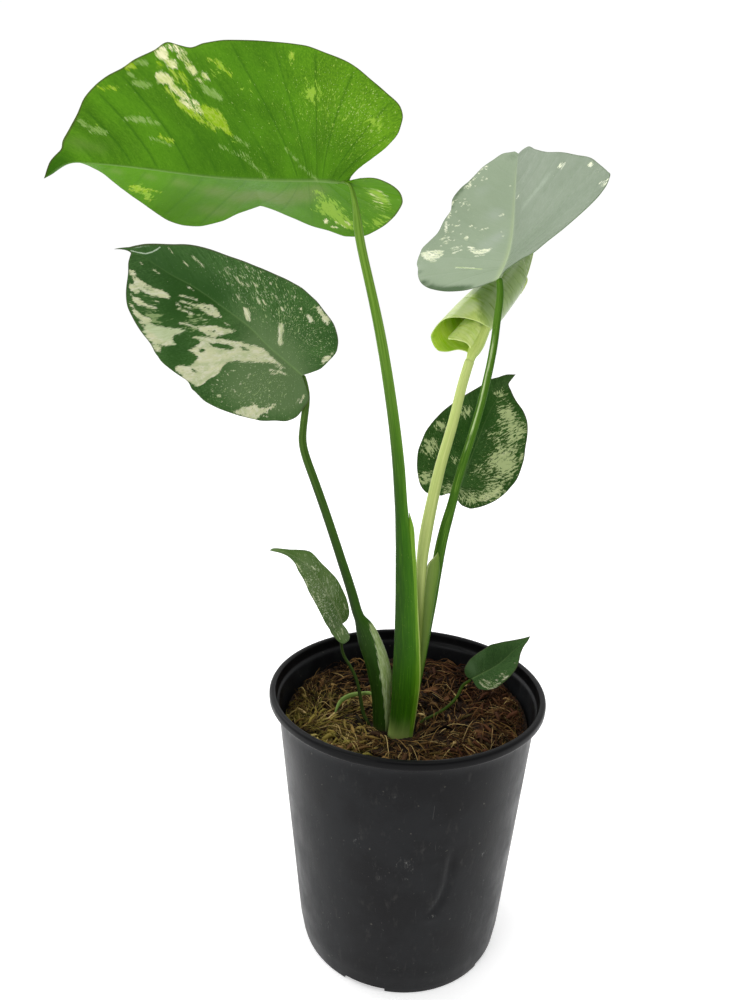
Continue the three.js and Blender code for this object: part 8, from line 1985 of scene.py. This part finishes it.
# GREEN_3's pale colour is the painted highlight line down the stalk's left.
GREEN_3 = {"specular": 0.03, "rough": 0.42, "dark": srgb(52, 87, 22), "light": srgb(66, 105, 30), "side": srgb(50, 88, 16), "side_low": 0.1, "side_high": 1.1, "pale": srgb(172, 192, 136), "fine": srgb(116, 152, 56), "fine_share": 0.75,
           "top": srgb(54, 92, 18), "top_2": srgb(84, 122, 38), "side_top": srgb(54, 92, 18), "freckle": srgb(130, 156, 76), "base": srgb(96, 96, 56)}
LIP_4 = dict(GREEN_1, dark=srgb(150, 178, 84), light=srgb(182, 200, 120), side=srgb(150, 178, 84), fine=srgb(206, 216, 150), top=srgb(176, 196, 110), top_2=srgb(200, 212, 142), side_top=srgb(150, 178, 84), rough=0.3)
SHEATH_3 = {"specular": 0.10, "dark": srgb(122, 144, 74), "light": srgb(104, 132, 52), "side": srgb(78, 112, 34), "side_low": 0.2, "side_high": 1.1, "pale": srgb(178, 190, 130), "fine": srgb(132, 152, 80),
            "top": srgb(112, 140, 58), "top_2": srgb(128, 152, 74), "freckle": srgb(130, 156, 76), "base": srgb(96, 96, 56)}
PALE_4 = {"specular": 0.12, "dark": srgb(118, 136, 58), "light": srgb(112, 130, 52), "side": srgb(108, 130, 50), "side_low": 0.2, "side_high": 1.1, "pale": srgb(208, 214, 160), "fine": srgb(140, 156, 80), "fine_share": 0.25,
          "top": srgb(180, 196, 112), "top_2": srgb(196, 208, 130), "side_top": srgb(158, 178, 96), "freckle": srgb(150, 168, 84), "base": srgb(130, 130, 84), "rough": 0.34}
NECK_4 = dict(PALE_4, dark=srgb(186, 204, 100), light=srgb(206, 220, 136), side=srgb(150, 176, 72), fine=srgb(204, 216, 136), top=srgb(176, 198, 96), top_2=srgb(196, 212, 120), side_top=srgb(150, 178, 70), rough=0.3, specular=0.4)
GREEN_5 = {"specular": 0.05, "rough": 0.45, "dark": srgb(46, 76, 26), "light": srgb(70, 100, 38), "side": srgb(96, 128, 52), "side_low": 0.1, "side_high": 0.9, "pale": srgb(170, 184, 120),
           "top": srgb(72, 100, 40), "top_2": srgb(90, 118, 54), "freckle": srgb(120, 144, 80), "base": srgb(110, 104, 66)}
GREEN_6 = dict(GREEN_5, dark=srgb(24, 36, 10), light=srgb(42, 60, 18), side=srgb(54, 76, 24), top=srgb(54, 76, 26), top_2=srgb(66, 88, 34), freckle=srgb(70, 90, 44), base=srgb(40, 40, 22))
GREEN_7 = dict(GREEN_5, dark=srgb(46, 66, 16), light=srgb(68, 92, 24), side=srgb(78, 104, 30), top=srgb(64, 90, 26), top_2=srgb(78, 104, 36), base=srgb(76, 80, 42))
SHEATH = {"dark": srgb(96, 128, 46), "light": srgb(132, 158, 84), "side": srgb(120, 148, 70), "side_low": 0.1, "side_high": 0.9, "pale": srgb(186, 192, 150),
          "top": srgb(110, 136, 62), "top_2": srgb(130, 150, 84), "freckle": srgb(104, 104, 60), "base": srgb(90, 96, 50), "rough": 0.45}

WORLD_LIGHT = 1.02
WORLD_FRONT = 0.42
FLOOR_GLOW = 0.4
LIGHTS = [
    ("softbox_back_left", (-1.10, 0.80, 1.30), (0.0, 0.0, 0.34), (1.6, 1.3), 11.0),
    ("softbox_top", (0.1, -0.2, 2.1), (0.0, 0.0, 0.3), (1.8, 1.8), 10.0),
    ("softbox_front_left", (-1.5, -1.5, 1.1), (0.0, 0.0, 0.25), (1.2, 1.4), 14.0),
]

# ------------------------------------------------------------ build pieces
pot_piece()
mix_pieces()

def pale_right(right_of, front_of, z):
    """The sheath's pale margin, a thin line along the right-hand edge."""
    return np.exp(-((right_of - 0.82) / 0.26) ** 2) * np.clip(front_of + 0.6, 0, 1) * np.clip((262 - z) / 40, 0, 1) * np.clip((z - 140) / 10, 0, 1) * 0.75


def pale_left(right_of, front_of, z):
    """The thin light line along the free left-hand edge of the third stalk's sheath."""
    return np.exp(-((right_of + 0.9) / 0.2) ** 2) * np.clip((262 - z) / 10, 0, 1) * np.clip((z - 165) / 30, 0, 1) * 0.8


def wing_edge(z):
    """Where the grey-green wing of the second stalk begins, across the stalk."""
    return np.interp(z, [140, 156, 169, 179, 191, 200, 208, 214], [0.62, 0.34, 0.14, 0.02, 0.2, 0.44, 0.52, 0.7])


def wing_line(right_of, front_of, z):
    """The light line where that wing leaves the stalk, and its light outer edge."""
    inner = np.exp(-((right_of - wing_edge(z)) / 0.07) ** 2) * (front_of > -0.1) * np.clip((214 - z) / 6, 0, 1) * np.clip((z - 143) / 8, 0, 1)
    outer = np.exp(-((right_of - 0.985) / 0.04) ** 2) * np.clip((212 - z) / 6, 0, 1)
    return np.clip(0.75 * inner + 0.6 * outer, 0, 1)


def wing_band(right_of, front_of, z):
    """The streaky grey-green wing on the right-hand side of the second stalk."""
    return np.clip((right_of - wing_edge(z)) / 0.16 + 0.2, 0, 1) * np.clip((216 - z) / 10, 0, 1)


def painted_gloss_line_3(right_of, front_of, z):
    """A painted highlight: a bright broken gloss line down the left of the third stalk."""
    return np.exp(-((right_of + 0.46) / 0.36) ** 2) * np.clip((z - 285) / 40, 0, 1) * np.clip((388 - z) / 20, 0, 1) * 0.7


stalk_piece("petiole_1", GREEN_1, sides=48, step=1.4, grooves=[(262, 9, 0.05, 150, 270), (90, 20, 0.10, 170, 440)], base_z=(143.0, 161.0), seed=3)
stalk_piece("petiole_1", SHEATH_1, sides=30, step=1.2, pale_rule=pale_right, seed=13, rise_z=(185.0, 255.0), piece="petiole_1_sheath")
stalk_piece("petiole_2", GREEN_2, sides=48, step=1.2, grooves=[(90, 20, 0.10, 170, 345)], rise_z=(220.0, 360.0), pale_rule=wing_line, band_rule=wing_band, seed=4)
stalk_piece("petiole_3", GREEN_3, sides=36, step=1.5, grooves=[(90, 20, 0.10, 170, 398)], pale_rule=painted_gloss_line_3, seed=5)
stalk_piece("petiole_3", SHEATH_3, sides=30, step=1.2, pale_rule=pale_left, seed=15, piece="petiole_3_sheath")
stalk_piece("petiole_4", PALE_4, sides=36, step=1.5, rise_z=(206.0, 248.0), grooves=[(240, 10, 0.03, 150, 260)], seed=6)
stalk_piece("leaf_4", LIP_4, sides=20, step=0.5, ridges=0.1, seed=17, piece="leaf_4_lip")
stalk_piece("leaf_4", NECK_4, sides=40, step=0.7, ridges=0.1, seed=16, piece="leaf_4_neck")
stalk_piece("petiole_5", GREEN_5, sides=28, step=1.4, seed=7)
stalk_piece("petiole_6", GREEN_6, sides=28, step=1.0, seed=8, thin=0.82)
stalk_piece("petiole_7", GREEN_7, sides=28, step=0.9, seed=9, thin=0.82)
stalk_piece("cataphyll", SHEATH, sides=28, step=0.8, grooves=[(270, 14, 0.14, 140, 160)], seed=10)

blade_piece("leaf_1", 262, 54, BRIGHT, rib_top=0.9, wave=0.7, quilt=0.22, vein_gap=13.0, seed=1, lean=0.85, rib_width=0.5, rib_fade=0.7, vein_low=0.45)
blade_piece("leaf_2", 254, 54, DARK, rib_top=1.0, wave=0.6, quilt=0.14, vein_gap=11.0, seed=2, lean=1.2, rib_width=0.5, rib_fade=0.15)
blade_piece("leaf_3", 222, 54, SHEENED_LEAF, rib_top=1.3, wave=0.4, quilt=0.10, vein_gap=13.0, seed=3, lean=1.0, rib_width=1.2, rib_fade=0.4)
blade_piece("leaf_5", 160, 36, LEAF_5, rib_top=0.8, wave=0.4, quilt=0.12, vein_gap=9.0, seed=5, lean=1.0, rib_width=0.35)
blade_piece("leaf_6", 110, 24, LEAF_6, rib_top=0.7, wave=0.3, quilt=0.08, vein_gap=7.0, seed=6, lean=1.0, rib_width=0.45)
blade_piece("leaf_7", 100, 26, LEAF_7, rib_top=0.7, wave=0.3, quilt=0.06, vein_gap=7.0, seed=7, lean=1.0, rib_width=0.35, rib_fade=0.3)
rolled_piece()

# the rootstock stays as the frame has it, under the mix
net = Net("rootstock_skin")
spot = net.spread(net.place(), 1000, 1000, 1000)
colour = net.mix(net.ramp(net.noise(spot, 0.4, 4, 0.6), 0.35, 0.65), srgb(150, 128, 84), srgb(104, 82, 50))
net.bump(net.noise(spot, 1.2, 3, 0.6), 0.4, 0.0006)
root_skin = net.finish(colour, net.ramp(net.noise(spot, 0.7, 2, 0.5), 0.3, 0.7, 0.7, 0.85))
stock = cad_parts["rootstock"]
stock.data.materials.clear()
stock.data.materials.append(root_skin)

# ------------------------------------------------------------------- stage
bpy.ops.mesh.primitive_plane_add(size=12.0, location=(0, 0, 0))
floor = bpy.context.object
floor.name = "studio_floor"
net = Net("studio_floor")
colour = net.mix(net.ramp(net.noise(net.place(), 1.2, 2, 0.5), 0.3, 0.7), srgb(250, 250, 250), srgb(253, 253, 253))
net.shader.inputs["Emission Color"].default_value = (1, 1, 1, 1)
net.shader.inputs["Emission Strength"].default_value = FLOOR_GLOW
floor.data.materials.append(net.finish(colour, 0.9, specular=0.1))

world = bpy.data.worlds.new("studio")
bpy.context.scene.world = world
world.use_nodes = True
tree = world.node_tree
where = tree.nodes.new("ShaderNodeTexCoord")
parts = tree.nodes.new("ShaderNodeSeparateXYZ")
fade = tree.nodes.new("ShaderNodeMapRange")
fade.interpolation_type = "SMOOTHSTEP"
fade.inputs["From Min"].default_value, fade.inputs["From Max"].default_value = -0.7, 0.5
fade.inputs["To Min"].default_value, fade.inputs["To Max"].default_value = WORLD_FRONT, WORLD_LIGHT
tree.links.new(where.outputs["Generated"], parts.inputs[0])
tree.links.new(parts.outputs["Y"], fade.inputs["Value"])
tree.nodes["Background"].inputs["Color"].default_value = (1, 1, 1, 1)
tree.links.new(fade.outputs[0], tree.nodes["Background"].inputs["Strength"])


def softbox(name, place, aim, size, watts, tint=(1, 1, 1)):
    data = bpy.data.lights.new(name, "AREA")
    data.shape = "RECTANGLE"
    data.size, data.size_y = size
    data.energy = watts
    data.color = tint
    obj = bpy.data.objects.new(name, data)
    obj.location = place
    obj.rotation_euler = (Vector(aim) - Vector(place)).to_track_quat("-Z", "Y").to_euler()
    bpy.context.scene.collection.objects.link(obj)
    return obj


for item in LIGHTS:
    softbox(*item)

# ------------------------------------------------------------------ camera
pitch, roll = math.radians(14.374), math.radians(1.32)
forward = Vector((0, math.cos(pitch), -math.sin(pitch)))
right = Vector((1, 0, 0))
up = right.cross(forward)
right_r = right * math.cos(roll) + up * math.sin(roll)
up_r = -right * math.sin(roll) + up * math.cos(roll)
camera_data = bpy.data.cameras.new("camera")
camera_data.sensor_fit = "AUTO"
camera_data.sensor_width = 36
camera_data.lens = 765.92 / 1000 * 36
camera_data.clip_start, camera_data.clip_end = 0.01, 50
camera = bpy.data.objects.new("camera", camera_data)
turn = Matrix((right_r, up_r, -forward)).transposed()
camera.matrix_world = Matrix.Translation((-0.02774, -0.42147, 0.38755)) @ turn.to_4x4()
bpy.context.scene.collection.objects.link(camera)
bpy.context.scene.camera = camera

scene = bpy.context.scene
scene.view_settings.view_transform = "Standard"
scene.view_settings.look = "None"
scene.view_settings.exposure = 0.0
scene.view_settings.gamma = 1.0
